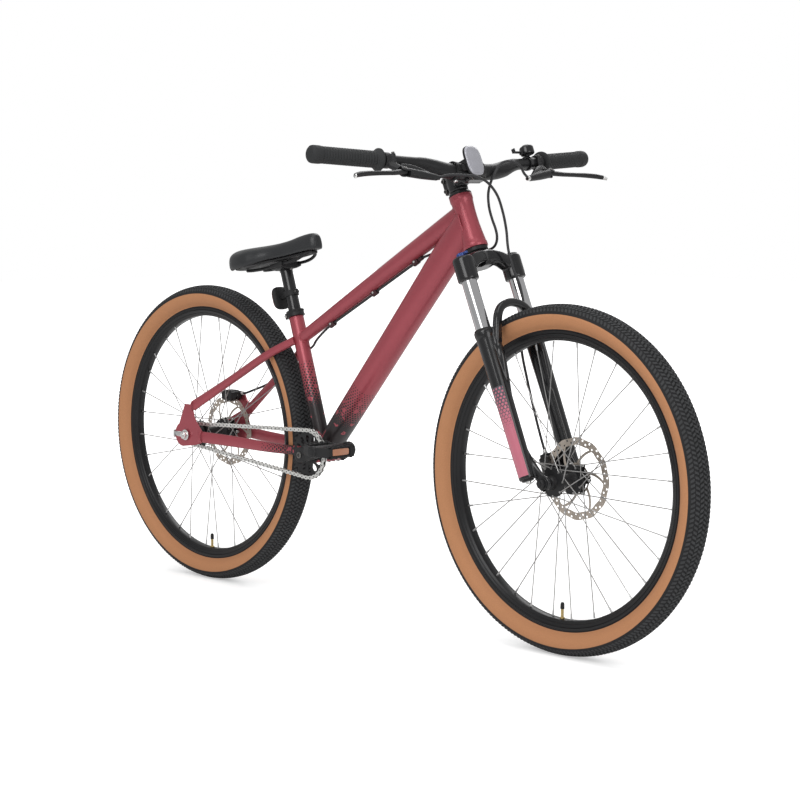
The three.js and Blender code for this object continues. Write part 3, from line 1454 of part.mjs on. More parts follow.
// Handlebar: half of its path from the right end to the middle, as shares of its own sizes
const barHalfLength = 376;
const barSweep = 28;
const barRise = 44.2;
const barSideShares = [1, 0.798, 0.596, 0.46, 0.34, 0.2234, 0.1543, 0];
const barSweepShares = [1, 0.714, 0.4286, 0.2357, 0.0643, 0, 0, 0];
const barRiseShares = [1, 0.81, 0.62, 0.4887, 0.362, 0.0905, 0, 0];
const barThinStations = 5;
const barPath = barSideShares.map((share, i) => ({
  at: point(
    stemReach - barSweep * barSweepShares[i], -barHalfLength * share,
    barHeight + barRise * barRiseShares[i]),
  size: i < barThinStations ? barEndRadius : barCentreRadius,
}));

function makeHandlebar() {
  const right = barPath.map(({ at, size }) => ({ at, across: size, up: size }));
  const left = right.slice(0, -1).reverse().map((s) => (
    { at: point(s.at.x, -s.at.y, s.at.z), across: s.across, up: s.up }));
  addPiece(steering, 'handlebar', solid(tube([...right, ...left], 12, 22, axisX)), black);
}

makeHandlebar();

// The bar's centre at a place along Y, on the left side, and its direction outwards
function barPlace(y) {
  const i = barPath.findIndex(({ at }) => -at.y <= y);
  const outer = barPath[i - 1].at;
  const inner = barPath[i].at;
  const share = (y + inner.y) / (inner.y - outer.y);
  const place = inner.clone().lerp(outer, share);
  return point(place.x, -place.y, place.z);
}

const onSide = (p, side) => point(p.x, side * p.y, p.z);
const barOutwards = onSide(barPath[0].at.clone().sub(barPath[2].at), -1).normalize();

// Grips with a flange inside and a closed end
const gripLength = 154;
const gripRadius = 16.3;
const gripFlangeRadius = 22;
const gripFlange = 5;
const gripEnd = 4;
const gripInner = barHalfLength - gripLength + gripEnd;

for (const [name, side] of sides) {
  const bore = barEndRadius + clearance;
  const profile = [
    [bore, 0], [gripFlangeRadius, 0], [gripFlangeRadius, gripFlange], [gripRadius, gripFlange + overrun],
    [gripRadius, gripLength], [gripRadius - overrun, gripLength + gripEnd], [0, gripLength + gripEnd],
    [0, gripLength], [bore, gripLength],
  ];
  const start = onSide(barPlace(gripInner), side);
  const grip = aim(revolve(profile, 16), start, onSide(barOutwards, side));
  addPiece(steering, `grip_${name}`, solid(grip), rubber);
}

// Brake levers. Their own frame has its origin on the pivot: X outwards along the bar side,
// Y towards the bar, and Z along the pivot.
const leverForward = 66;
const leverInset = 21;
const leverRise = 132;
const leverPivot = point(leverForward, gripInner - leverInset, leverRise);
const leverLean = 43 * degree;
const bladeHalf = 5;
const leverCheek = 3;
const leverPinRadius = 2.4;
const leverBossRadius = 7;
const leverBarReach = 48;
const leverRingRadius = 15.5;
const leverRingWidth = 12;
const cylinderRadius = 8.5;
const cylinderDrop = 13;
const leverPortForward = 6;
const leverPortInset = 75;
const leverPortDrop = 14;

// Edges of the blade: places along it as shares of its length, and the heights of its near and
// far side as shares of its curve
const bladeLength = 143;
const bladeCurve = 24;
const bladePlaceShares = [0.084, 0.245, 0.49, 0.7, 0.881, 1];
const bladeNearShares = [0.167, -0.0625, -0.167, -0.25, -0.417, -0.708];
const bladeFarShares = [-0.3125, -0.417, -0.479, -0.583, -0.792, -1];

function bladeEdge(heightShares) {
  return bladePlaceShares.map((share, i) => flat(bladeLength * share, bladeCurve * heightShares[i]));
}

function leverFrame(side) {
  const group = new THREE.Group();
  const outwards = point(0, side, 0);
  const towardsBar = point(-Math.sin(leverLean), 0, Math.cos(leverLean));
  const basis = new THREE.Matrix4().makeBasis(outwards, towardsBar, outwards.clone().cross(towardsBar));
  group.quaternion.setFromRotationMatrix(basis);
  group.position.copy(onSide(leverPivot, side));
  steering.add(group);
  return group;
}

function makeLever(name, side) {
  const group = leverFrame(side);
  const inside = (p) => {
    const local = onSide(p, side).sub(group.position);
    return local.applyQuaternion(group.quaternion.clone().invert());
  };
  const boss = circle(0, 0, leverBossRadius, 12).filter((p) => p.x < leverBossRadius / 3);
  const near = bladeEdge(bladeNearShares);
  const far = bladeEdge(bladeFarShares).reverse();
  const start = boss.filter((p) => p.y >= 0);
  const end = boss.filter((p) => p.y < 0);
  const blade = plateFlat([...near, ...far, ...end.reverse(), ...start.reverse()], -bladeHalf, bladeHalf);
  const pinHole = bar(point(0, 0, -2 * bladeHalf), point(0, 0, 2 * bladeHalf), leverPinRadius + clearance, 10);
  addPiece(group, `brake_lever_${name}`, cut(solid(blade), solid(pinHole)), black);

  const cheekTop = bladeHalf + clearance + leverCheek;
  const slotHalf = bladeHalf + clearance;
  const ringCentre = inside(barPlace(leverPivot.y + leverBossRadius));
  const ringAlong = inside(leverPivot.clone().add(barOutwards)).sub(inside(leverPivot.clone()));
  const half = leverRingWidth / 2;
  const ring = bar(ringCentre.clone().addScaledVector(ringAlong, -half),
    ringCentre.clone().addScaledVector(ringAlong, half), leverRingRadius, 16);
  const bore = bar(ringCentre.clone().addScaledVector(ringAlong, -4 * half),
    ringCentre.clone().addScaledVector(ringAlong, 4 * half), barEndRadius + 2 * clearance, 14);
  const body = [
    flat(leverBossRadius, leverBossRadius), flat(leverBossRadius, -leverBossRadius),
    flat(-leverBossRadius, -leverBossRadius - cylinderRadius),
    flat(-3 * leverBossRadius, -leverBossRadius - cylinderRadius),
    flat(-3 * leverBossRadius, leverBossRadius),
    flat(-leverBossRadius / 2, leverBarReach - leverRingRadius / 2),
    flat(2 * leverBossRadius, leverBarReach - leverRingRadius / 2),
    flat(1.5 * leverBossRadius, leverBarReach - 1.6 * leverRingRadius),
  ];
  const slot = block(
    5 * leverBossRadius, 5 * leverBossRadius, 2 * slotHalf,
    point(2.5 * leverBossRadius - 1.3 * leverBossRadius, -leverBossRadius / 2, 0));
  const port = inside(leverHosePort);
  const cylinderEnd = inside(point(leverHosePort.x, leverHosePort.y + clearance, leverHosePort.z));
  const cylinder = bar(point(-2 * leverBossRadius, -cylinderDrop / 2, 0), cylinderEnd, cylinderRadius, 12,
    cylinderRadius * 0.8);
  const socket = bar(port.clone(), port.clone().add(point(portLength, 0, 0)), hoseRadius + clearance, 8);
  const pin = bar(point(0, 0, -cheekTop), point(0, 0, cheekTop), leverPinRadius, 8);
  const plate = cut(solid(plateFlat(body, -cheekTop, cheekTop)), solid(slot));
  const holder = cut(join(plate, solid(ring), solid(cylinder)), solid(bore), solid(socket)).add(solid(pin));
  addPiece(group, `brake_lever_body_${name}`, holder, black);
}

const leverHosePort = point(
  leverForward + leverPortForward, leverPivot.y - leverPortInset, leverRise - leverPortDrop);
makeLever('right', -1);
makeLever('left', 1);

// Bell on the left of the bar: a dome on a ring, with a sprung lever
const bellPlace = 178;
const bellRadius = 14.5;
const bellFoot = 180;
const bellHeight = 20;
const bellForward = 9;
const bellRingRadius = 14.5;
const bellRingWidth = 9;
const bellLeverReach = 24;
const bellLeverGap = 1.5;
const bellLeverWidth = 7;
const bellLeverThickness = 3;
const bellThumbHeight = 9;

function makeBell() {
  const at = barPlace(bellPlace);
  const half = bellRingWidth / 2;
  const ring = bar(at.clone().addScaledVector(barOutwards, -half),
    at.clone().addScaledVector(barOutwards, half), bellRingRadius, 14);
  const bore = bar(at.clone().addScaledVector(barOutwards, -2 * bellRingWidth),
    at.clone().addScaledVector(barOutwards, 2 * bellRingWidth), barEndRadius + 2 * clearance, 14);
  const middle = point(at.x + bellForward, bellPlace, bellFoot);
  const dome = revolve([
    [0, 0], [bellRadius * 0.8, 0], [bellRadius, bellHeight * 0.25], [bellRadius, bellHeight * 0.6],
    [bellRadius * 0.7, bellHeight * 0.93], [0, bellHeight],
  ], 16);
  dome.rotateX(Math.PI / 2).translate(middle.x, middle.y, middle.z);
  const foot = bar(point(at.x + bellForward / 2, bellPlace, at.z + barEndRadius - overrun),
    point(at.x + bellForward / 2, bellPlace, bellFoot + overrun), bellRingWidth / 2, 8);
  const pivot = point(middle.x, bellPlace - bellRadius - bellLeverWidth / 2 - bellLeverGap, bellFoot);
  const ear = block(bellLeverWidth, bellRadius + bellLeverWidth, bellLeverThickness,
    point(middle.x, bellPlace - bellRadius / 2 - bellLeverWidth / 2, bellFoot + bellLeverThickness / 2));
  const earTop = bellFoot + bellLeverThickness;
  const pinTop = earTop + bellLeverThickness + 2 * clearance;
  const pin = bar(point(pivot.x, pivot.y, earTop - overrun / 2), point(pivot.x, pivot.y, pinTop), leverPinRadius / 2, 8);
  const body = join(cut(solid(ring), solid(bore)), solid(dome), cut(solid(foot), solid(bore)),
    solid(ear)).add(solid(pin));
  addPiece(steering, 'bell_body', body, black);

  const group = new THREE.Group();
  group.position.set(pivot.x, pivot.y, earTop + clearance);
  steering.add(group);
  const arm = block(bellLeverWidth, bellLeverReach, bellLeverThickness,
    point(0, -bellLeverReach / 2 + bellLeverWidth / 2 - clearance, bellLeverThickness / 2));
  const thumb = block(bellLeverWidth * 1.2, bellLeverThickness, bellThumbHeight,
    point(0, -bellLeverReach + bellLeverWidth / 2, bellThumbHeight / 2));
  const hole = bar(point(0, 0, -overrun), point(0, 0, bellThumbHeight), leverPinRadius / 2 + clearance, 8);
  addPiece(group, 'bell_lever', cut(join(solid(arm), solid(thumb)), solid(hole)), steel);
}

makeBell();

// Front reflector in front of the stem, on a bracket that grips the bar
const frontReflector = { forward: 68, depth: 8, side: -14, width: 44, height: 62, centre: 154 };
const bracketPlace = 50;
const bracketRingRadius = 19.5;
const bracketRingWidth = 10;
const bracketArm = 4;
const bracketArmHeight = 12;

function makeFrontReflector() {
  const { forward, depth, side, width, height, centre } = frontReflector;
  const w = width / 2;
  const h = height / 2;
  const outline = [
    flat(-w, -h * 0.7), flat(-w * 0.72, -h * 0.94), flat(0, -h), flat(w * 0.72, -h * 0.94),
    flat(w, -h * 0.7), flat(w, h * 0.7), flat(w * 0.72, h * 0.94), flat(0, h),
    flat(-w * 0.72, h * 0.94), flat(-w, h * 0.7),
  ].map((p) => flat(p.x + side, p.y + centre));
  addPiece(steering, 'front_reflector', solid(plateAlong(outline, forward, forward + depth)), lens);

  const middle = onSide(barPlace(bracketPlace), -1);
  const along = onSide(barPlace(bracketPlace + overrun), -1).sub(middle).normalize();
  const onBar = (reach) => middle.clone().addScaledVector(along, reach);
  const half = bracketRingWidth / 2;
  const ring = bar(onBar(-half), onBar(half), bracketRingRadius, 16);
  const bore = bar(onBar(-bracketRingWidth), onBar(bracketRingWidth), barCentreRadius + 3 * clearance, 16);
  const back = forward - clearance;
  const armTo = -barClampWidth / 2 - overrun;
  const armFrom = -bracketPlace - half;
  const arm = block(bracketArm, armTo - armFrom, bracketArmHeight,
    point(back - bracketArm / 2, (armTo + armFrom) / 2, middle.z));
  const foot = block(bracketArmHeight, bracketRingWidth, bracketArmHeight,
    point(back - bracketArmHeight / 2, -bracketPlace, middle.z));
  const bolt = bar(
    point(middle.x, middle.y, middle.z - bracketRingRadius - boltHeadHeight),
    point(middle.x, middle.y, middle.z - barCentreRadius - overrun / 2), boltHeadRadius, 6);
  const bracket = cut(join(solid(ring), solid(arm), solid(foot), solid(bolt)), solid(bore));
  addPiece(steering, 'front_reflector_bracket', bracket, black);
}

makeFrontReflector();

// Brake hoses, along routes chosen by hand in the steering frame, as shares of one route size
const routeSize = 100;
const frontHoseShares = [
  [0.72, -1.28, 1.18], [0.8, -1, 1.2], [0.89, -0.75, 1.16], [0.93, -0.4, 1.1], [0.89, -0.12, 1],
  [0.83, 0.1, 0.78], [0.69, 0.28, 0.48], [0.56, 0.38, 0.17], [0.48, 0.36, -0.22],
  [0.46, 0.36, -0.58], [0.45, 0.41, -1], [0.36, 0.42, -1.45],
];
const rearHoseShares = [
  [0.72, 1.28, 1.18], [0.805, 1.092, 1.249], [0.87, 0.969, 1.361], [0.862, 0.863, 1.45],
  [0.819, 0.763, 1.498], [0.763, 0.658, 1.503], [0.705, 0.555, 1.451], [0.641, 0.468, 1.347],
  [0.524, 0.407, 1.199], [0.377, 0.392, 1.01], [0.288, 0.394, 0.747], [0.27, 0.4, 0.498],
  [0.271, 0.412, 0.308], [0.253, 0.418, 0.17], [0.207, 0.42, 0.071], [0.133, 0.416, 0.004],
  [0.039, 0.406, -0.024], [-0.068, 0.391, -0.01], [-0.182, 0.372, 0.05], [-0.317, 0.351, 0.15],
];
// Below the fork's seals: forward and side place, and the share of the way down to the caliper
const frontHoseLowerShares = [
  [0.14, 0.43, 0], [0, 0.43, 0.16], [-0.08, 0.435, 0.386], [-0.14, 0.44, 0.633], [-0.19, 0.46, 0.838],
];
// Below the guides: the share of the way from the seat stays' top to the caliper, then the side
// place and the height over that line
const rearHoseLowerShares = [
  [0.052, 0.34, -0.162], [0.122, 0.44, -0.108], [0.199, 0.53, -0.032], [0.293, 0.58, 0.004], [0.418, 0.59, -0.08],
  [0.584, 0.64, -0.178], [0.738, 0.67, -0.159], [0.86, 0.63, -0.114], [0.934, 0.588, -0.087],
  [0.965, 0.588, -0.056],
];

// Beside the top tube, before and after the guides: the share of the way along the tube, the side
// place and the depth below the line of the guides
const tubeSideFrontShares = [[0.902, 0.329, 0.204], [0.853, 0.278, 0.108], [0.773, 0.09, 0.026]];
const tubeSideRearShares = [[0.114, 0.03, 0.018], [0.058, 0.11, 0.03], [0.011, 0.23, 0.034]];

function tubeSidePoint([share, side, drop]) {
  const { centre, down } = guidePlace(share);
  return centre.addScaledVector(down, routeSize * drop).setY(routeSize * side);
}

function frontHosePoints() {
  const upper = frontHoseShares.map(([x, y, z]) => point(x, y, z).multiplyScalar(routeSize));
  const lower = frontHoseLowerShares.map(([x, y, share]) => (
    point(routeSize * x, routeSize * y, THREE.MathUtils.lerp(lowersTop, frontHosePort.z, share))));
  return [...upper, ...lower, frontHosePort];
}

function rearLowerPoint([share, side, lift]) {
  const start = seatPoint(seatTubeLength - topTubeDrop);
  const run = rearHosePort.clone().sub(start).setY(0);
  const over = point(run.z, 0, -run.x).normalize();
  const place = start.addScaledVector(run, share).addScaledVector(over, routeSize * lift);
  return place.setY(routeSize * side);
}

function rearHosePoints() {
  const steered = rearHoseShares.map(([x, y, z]) => (
    fromSteering(routeSize * x, routeSize * y, routeSize * z)));
  const guides = guideShares.slice().reverse().flatMap((share) => {
    const { centre, run } = guidePlace(share);
    return [guideLength, 0, -guideLength].map((reach) => centre.clone().addScaledVector(run, reach));
  });
  return [
    ...steered, ...tubeSideFrontShares.map(tubeSidePoint), ...guides,
    ...tubeSideRearShares.map(tubeSidePoint), ...rearHoseLowerShares.map(rearLowerPoint),
    rearHosePort,
  ];
}

addPiece(steering, 'front_brake_hose', solid(hose(frontHosePoints(), hoseRadius, 8, 46)), rubber);
addPiece(bike, 'rear_brake_hose', solid(hose(rearHosePoints(), hoseRadius, 8, 80)), rubber);

export default bike;
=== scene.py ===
# %% [markdown]
# # A dirt jump bicycle, dressed in Blender
# The construction comes from the CAD model: every solid is already in its place, in metres, with
# +X forward, +Z up and the drive side at -Y. This script gives each solid its look. Where a solid
# is only a plain faceted form, a finer surface takes its place and rides on the same body.

# %% Load the construction
import math

import bmesh
import bpy
import numpy as np
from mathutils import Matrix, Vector


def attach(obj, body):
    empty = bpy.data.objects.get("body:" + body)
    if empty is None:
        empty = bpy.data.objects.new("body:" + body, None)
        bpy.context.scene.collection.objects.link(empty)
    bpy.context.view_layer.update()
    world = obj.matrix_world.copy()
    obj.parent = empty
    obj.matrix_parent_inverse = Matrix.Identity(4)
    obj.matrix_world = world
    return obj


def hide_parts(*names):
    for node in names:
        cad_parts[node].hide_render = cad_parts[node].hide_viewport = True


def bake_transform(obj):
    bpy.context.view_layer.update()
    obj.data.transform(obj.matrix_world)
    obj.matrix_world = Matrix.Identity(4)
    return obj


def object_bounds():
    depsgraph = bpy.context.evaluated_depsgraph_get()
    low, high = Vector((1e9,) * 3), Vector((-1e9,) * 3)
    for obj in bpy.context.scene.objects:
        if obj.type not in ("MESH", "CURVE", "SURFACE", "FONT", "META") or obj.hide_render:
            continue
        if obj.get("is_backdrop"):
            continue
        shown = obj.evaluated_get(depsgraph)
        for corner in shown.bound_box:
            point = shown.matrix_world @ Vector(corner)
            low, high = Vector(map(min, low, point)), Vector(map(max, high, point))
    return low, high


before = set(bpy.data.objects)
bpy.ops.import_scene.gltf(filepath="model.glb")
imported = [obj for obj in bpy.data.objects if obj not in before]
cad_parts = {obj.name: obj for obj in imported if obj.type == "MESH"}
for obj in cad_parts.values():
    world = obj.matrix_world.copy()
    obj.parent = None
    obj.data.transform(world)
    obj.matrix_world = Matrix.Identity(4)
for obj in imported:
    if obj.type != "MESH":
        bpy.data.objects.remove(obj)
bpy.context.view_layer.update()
scene = bpy.context.scene
scene.view_settings.view_transform = "Standard"

# %% [markdown]
# ## The camera
# The picture was taken from the front right, a little above the handlebar, with a long lens. The
# camera's place was worked out from the two wheels, whose size is known. A small shift keeps the
# bicycle where it stands in the picture without turning the camera.

# %% Camera at the picture's viewing angle
azimuth, elevation, distance = math.radians(46.82), math.radians(6.54), 4.16
back = Vector((math.sin(azimuth) * math.cos(elevation), -math.cos(azimuth) * math.cos(elevation),
               math.sin(elevation)))
camera = bpy.data.objects.new("camera", bpy.data.cameras.new("camera"))
scene.collection.objects.link(camera)
camera.location = Vector((0, 0, 0.4)) + back * distance
camera.rotation_mode = "QUATERNION"
camera.rotation_quaternion = (-back).to_track_quat("-Z", "Y")
picture_width, focal_length = 800, 1996.9  # in pixels
camera.data.sensor_width = 36
camera.data.lens = 36 * focal_length / picture_width
camera.data.shift_x, camera.data.shift_y = 28.8 / picture_width, 23.2 / picture_width
scene.camera = camera
print("camera at", tuple(round(c, 3) for c in camera.location))

# %% [markdown]
# ## Two ways to say where a point is
# Everything that turns with the handlebar is easiest to describe in the steering frame, whose
# height runs up the head tube. The rest is given in the world. Both are in millimetres, because
# bicycle parts are, and both helpers return metres.

# %% Places in the world and in the steering frame
HEAD_ANGLE = math.radians(67)
SEAT_ANGLE = math.radians(72)
FORWARD = np.array([math.sin(HEAD_ANGLE), 0, math.cos(HEAD_ANGLE)])
UPWARD = np.array([-math.cos(HEAD_ANGLE), 0, math.sin(HEAD_ANGLE)])
ACROSS = np.array([0.0, 1.0, 0.0])
AHEAD, UP = np.array([1.0, 0, 0]), np.array([0, 0, 1.0])
FRONT_AXLE = np.array([533.0, 0, 335])
REAR_AXLE = np.array([-533.0, 0, 335])
FORK_OFFSET, FORK_LENGTH = 46, 490.6
HEAD = FRONT_AXLE - FORK_OFFSET * FORWARD + FORK_LENGTH * UPWARD
BRACKET = np.array([-143.49, 0, 326])
SEAT_UP = np.array([-math.cos(SEAT_ANGLE), 0, math.sin(SEAT_ANGLE)])
WHEELS = (("front", FRONT_AXLE), ("rear", REAR_AXLE))
SIDES = ((-1, "right"), (1, "left"))


def turn(v):
    """A direction of the steering frame in the world: forward, left and up are added up."""
    v = np.asarray(v, float)
    return v[..., 0:1] * FORWARD + v[..., 1:2] * ACROSS + v[..., 2:3] * UPWARD


def steer(p):
    """A point of the steering frame, in millimetres of the world."""
    return HEAD + turn(p)


def seat_at(height):
    """The point on the seat tube's middle line at a height above the bottom bracket."""
    return BRACKET + height * SEAT_UP


# %% [markdown]
# ## From formulas to meshes
# Nearly every piece here is a surface over a grid: a section carried along a path, or a profile
# turned about an axis. The helpers below work out whole grids of points at once. `piece` joins
# such shells in one mesh, turns the faces outwards and lets it ride on a body of the model.

# %% Surfaces worked out with numpy
def unit(v):
    v = np.asarray(v, float)
    return v / np.linalg.norm(v, axis=-1, keepdims=True)


def spline(points, count):
    """A smooth line through points: between two of them each coordinate is a cubic whose slopes
    come from the neighbours, with knots spaced by the root of the distance."""
    p = np.asarray(points, float)
    q = np.vstack([2 * p[0] - p[1], p, 2 * p[-1] - p[-2]])
    k = np.concatenate([[0], np.cumsum(np.linalg.norm(np.diff(q, axis=0), axis=1) ** 0.5)])
    t = np.linspace(k[1], k[-2], count)
    i = np.clip(np.searchsorted(k, t, side="right") - 1, 1, len(q) - 3)
    t, k0, k1, k2, k3 = (c[:, None] for c in (t, k[i - 1], k[i], k[i + 1], k[i + 2]))
    a = ((k1 - t) * q[i - 1] + (t - k0) * q[i]) / (k1 - k0)
    b = ((k2 - t) * q[i] + (t - k1) * q[i + 1]) / (k2 - k1)
    c = ((k3 - t) * q[i + 1] + (t - k2) * q[i + 2]) / (k3 - k2)
    d = ((k2 - t) * a + (t - k0) * b) / (k2 - k0)
    e = ((k3 - t) * b + (t - k1) * c) / (k3 - k1)
    return ((k2 - t) * d + (t - k1) * e) / (k2 - k1)


def shell(grid, ring=False, caps=True):
    """Faces over a grid of points, rows along and columns round. Columns always close. Rows close
    with `ring`, and otherwise each end gets a flat cap."""
    rows, cols = grid.shape[:2]
    last = rows if ring else rows - 1
    r, c = np.meshgrid(np.arange(last), np.arange(cols), indexing="ij")
    r2, c2 = (r + 1) % rows, (c + 1) % cols
    quads = np.stack([r * cols + c, r * cols + c2, r2 * cols + c2, r2 * cols + c], -1).reshape(-1, 4)
    along = np.concatenate([[0], np.cumsum(np.linalg.norm(np.diff(grid.mean(1), axis=0), axis=1))])
    girth = np.linalg.norm(np.diff(grid[rows // 2], axis=0), axis=1).sum() * cols / (cols - 1)
    u, v = girth * np.arange(cols + 1) / cols, np.append(along, along[-1])
    uv = np.stack([np.stack([u[c], v[r]], -1), np.stack([u[c + 1], v[r]], -1),
                   np.stack([u[c + 1], v[r + 1]], -1), np.stack([u[c], v[r + 1]], -1)], 2)
    ends = [] if ring or not caps else [list(range(cols)), list(range((rows - 1) * cols, rows * cols))]
    return grid.reshape(-1, 3), quads, ends, uv.reshape(-1, 4, 2)


def tube(path, across, up, cols=32, reference=ACROSS, power=2.0):
    """A section carried along a path: half sizes `across` along the reference direction and `up`
    square to it. A power over 2 squares the ellipse off."""
    path = np.asarray(path, float)
    tangent = unit(np.gradient(path, axis=0))
    side = unit(reference - (tangent @ reference)[:, None] * tangent)
    over = np.cross(tangent, side)
    a = 2 * math.pi * (np.arange(cols) + 0.5) / cols
    ca, sa = np.cos(a), np.sin(a)
    ca, sa = np.sign(ca) * abs(ca) ** (2 / power), np.sign(sa) * abs(sa) ** (2 / power)
    across, up = (np.broadcast_to(s, len(path))[:, None, None] for s in (across, up))
    return shell(path[:, None] + across * ca[None, :, None] * side[:, None]
                 + up * sa[None, :, None] * over[:, None])


def turned(profile, start, axis, cols=32, ring=False):
    """A profile of (radius, place along) turned about an axis through a point. A closed profile,
    as of a ring with a bore, is given with ring."""
    p, axis = np.asarray(profile, float), unit(axis)
    side = unit(np.cross(axis, [0, 0, 1] if abs(axis[2]) < 0.9 else [1, 0, 0]))
    over = np.cross(axis, side)
    a = 2 * math.pi * (np.arange(cols) + 0.5) / cols
    spoke = np.cos(a)[:, None] * side + np.sin(a)[:, None] * over
    return shell(np.asarray(start) + p[:, 1, None, None] * axis + p[:, 0, None, None] * spoke, ring)


def plate(outline, depth, start, right, upward):
    """A flat outline pushed along its own normal by depth."""
    o = np.asarray(outline, float)
    right, upward = unit(right), unit(upward)
    flat = np.asarray(start) + o[:, :1] * right + o[:, 1:] * upward
    return shell(np.stack([flat, flat + depth * np.cross(right, upward)]))


def rounded(outline, radius, steps=4):
    """An outline with its corners cut to curves: each corner gives way to points on a parabola
    between its two neighbours, a radius away."""
    p = np.asarray(outline, float)
    before, after = np.roll(p, 1, 0) - p, np.roll(p, -1, 0) - p
    room = lambda d: np.minimum(radius / np.linalg.norm(d, axis=1), 0.45)[:, None] * d
    a, b = p + room(before), p + room(after)
    t = np.linspace(0, 1, steps)[None, :, None]
    return ((1 - t) ** 2 * a[:, None] + 2 * t * (1 - t) * p[:, None] + t ** 2 * b[:, None]).reshape(-1, 2)


def box(size, centre, right=(1, 0, 0), upward=(0, 0, 1)):
    """A block of (along right, along upward, along their normal) round its centre."""
    w, h, d = size
    normal = np.cross(unit(right), unit(upward))
    corner = [(-w / 2, -h / 2), (w / 2, -h / 2), (w / 2, h / 2), (-w / 2, h / 2)]
    return plate(corner, d, np.asarray(centre) - normal * d / 2, right, upward)


def rod(start, end, radius, cols=12, end_radius=None):
    """A round bar between two points."""
    length = np.linalg.norm(np.asarray(end, float) - start)
    return turned([(radius, 0), (radius if end_radius is None else end_radius, length)], start,
                  np.asarray(end, float) - start, cols)


def bolt(place, axis, radius=4.2, height=3):
    """A round bolt head with a six-sided socket sunk in it."""
    a = 2 * math.pi * np.arange(24) / 24
    hexagon = radius * 0.5 / np.cos((a + math.pi / 6) % (math.pi / 3) - math.pi / 6)
    axis = unit(axis)
    side = unit(np.cross(axis, [0, 0, 1] if abs(axis[2]) < 0.9 else [1, 0, 0]))
    spoke = np.cos(a)[:, None] * side + np.sin(a)[:, None] * np.cross(axis, side)
    rows = [(radius, 0), (radius, height * 0.8), (radius * 0.88, height), (hexagon, height),
            (hexagon, height * 0.3)]
    return shell(np.stack([np.asarray(place) + z * axis + np.reshape(r, (-1, 1)) * spoke for r, z in rows]))


# The material slot named for a finish's pieces, unless their own line names another. It is looked up but not
# kept.
SLOTS = {
    "black_metal": ("satin_black", "gloss_black_lacquer", "cast_black"),
    "black_plastic": ("guide_plastic", "moulded_black"),
    "clear_lens": ("clear_prism_lens", "amber_prism_lens"),
    "frame_paint": ("raspberry_paint", "raspberry_fading_to_black"),
    "hub": ("spoke_steel", "silver_alloy"),
    "knob_blue": ("blue_anodised",),
    "red_lens": ("red_prism_lens",),
    "rim": ("rim_black",),
    "rotor": ("disc_steel",),
    "rubber": ("black_rubber", "hose_rubber", "grip_rubber"),
    "stanchion_chrome": ("polished_chrome",),
    "steel": ("bright_steel", "dark_steel", "chain_steel"),
    "tyre": ("tread_rubber_painted_highlight",),
    "valve": ("valve_brass",),
}
SLOT_OF = {finish: slot for slot, finishes in SLOTS.items() for finish in finishes}


def settle(name, mesh, body, stands_for, slot, crease):
    """Puts a mesh in the scene under a name, lets it ride on a body if one is named, and hides the
    solids it stands for. Without a slot, one is looked up from the material, but it is not used further."""
    if body and not slot:
        slot = SLOT_OF[mesh.materials[0].name]
    mesh.shade_smooth()
    mesh.set_sharp_from_angle(angle=math.radians(crease))
    made = bpy.data.objects.new(name, mesh)
    scene.collection.objects.link(made)
    if body:
        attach(made, body)
    if stands_for:
        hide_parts(*np.atleast_1d(stands_for).tolist())
    return made


def piece(name, shells, material, body, stands_for=(), slot=None, crease=35, bevel=0.0):
    """Joins shells, given in millimetres, in one mesh in metres, and settles it."""
    points, faces, uvs, count = [], [], [], 0
    for verts, quads, ends, uv in shells:
        points.append(verts)
        faces += (quads + count).tolist() + [[i + count for i in e] for e in ends]
        uvs.append(uv.reshape(-1, 2))
        uvs.append(np.zeros((sum(map(len, ends)), 2)))
        count += len(verts)
    mesh = bpy.data.meshes.new(name)
    mesh.from_pydata(np.concatenate(points) * 0.001, [], faces)
    mesh.uv_layers.new(name="surface").data.foreach_set("uv", (np.concatenate(uvs) * 0.001).ravel())
    work = bmesh.new()
    work.from_mesh(mesh)
    bmesh.ops.recalc_face_normals(work, faces=work.faces)
    work.to_mesh(mesh)
    work.free()
    mesh.materials.append(material)
    made = settle(name, mesh, body, stands_for, slot, crease)
    if bevel:
        edge = made.modifiers.new("edge", "BEVEL")
        edge.width, edge.segments, edge.limit_method = bevel * 0.001, 2, "ANGLE"
        edge.angle_limit, edge.harden_normals = math.radians(40), True
    return made


print("helpers ready")

# %% [markdown]
# ## Effects shared by the finishes
# Real surfaces are never one even colour. Two node groups are built once and placed in every
# material with their own values. `mottle` moves the colour and the roughness slowly about and adds
# a fine grain. `scuffs` is a mask of thin, short scratches, made of noise squeezed in one direction.

# %% Node groups
def group(name, inputs, outputs):
    """An empty node group with named sockets, and its input and output nodes."""
    tree = bpy.data.node_groups.new(name, "ShaderNodeTree")
    for label, kind, value in inputs:
        tree.interface.new_socket(label, in_out="INPUT", socket_type=kind).default_value = value
    for label, kind in outputs:
        tree.interface.new_socket(label, in_out="OUTPUT", socket_type=kind)
    return tree, tree.nodes.new("NodeGroupInput"), tree.nodes.new("NodeGroupOutput")


def node(tree, kind, links=None, **settings):
    """A node with its settings, and its inputs linked or set by name or number."""
    made = tree.nodes.new(kind)
    for key, value in settings.items():
        setattr(made, key, value)
    for key, value in (links or {}).items():
        if isinstance(value, bpy.types.NodeSocket):
            tree.links.new(value, made.inputs[key])
        else:
            made.inputs[key].default_value = value
    return made


def math_node(tree, operation, a, b=0.0):
    return node(tree, "ShaderNodeMath", {0: a, 1: b}, operation=operation).outputs[0]


def vector_node(tree, operation, a, b=(0, 0, 0)):
    made = node(tree, "ShaderNodeVectorMath", {0: a, 1: b}, operation=operation)
    return made.outputs["Value" if operation == "LENGTH" else "Vector"]


def noise(tree, place, scale, detail=2.0, roughness=0.5):
    return node(tree, "ShaderNodeTexNoise", {"Vector": place, "Scale": scale, "Detail": detail,
                                             "Roughness": roughness}).outputs["Fac"]


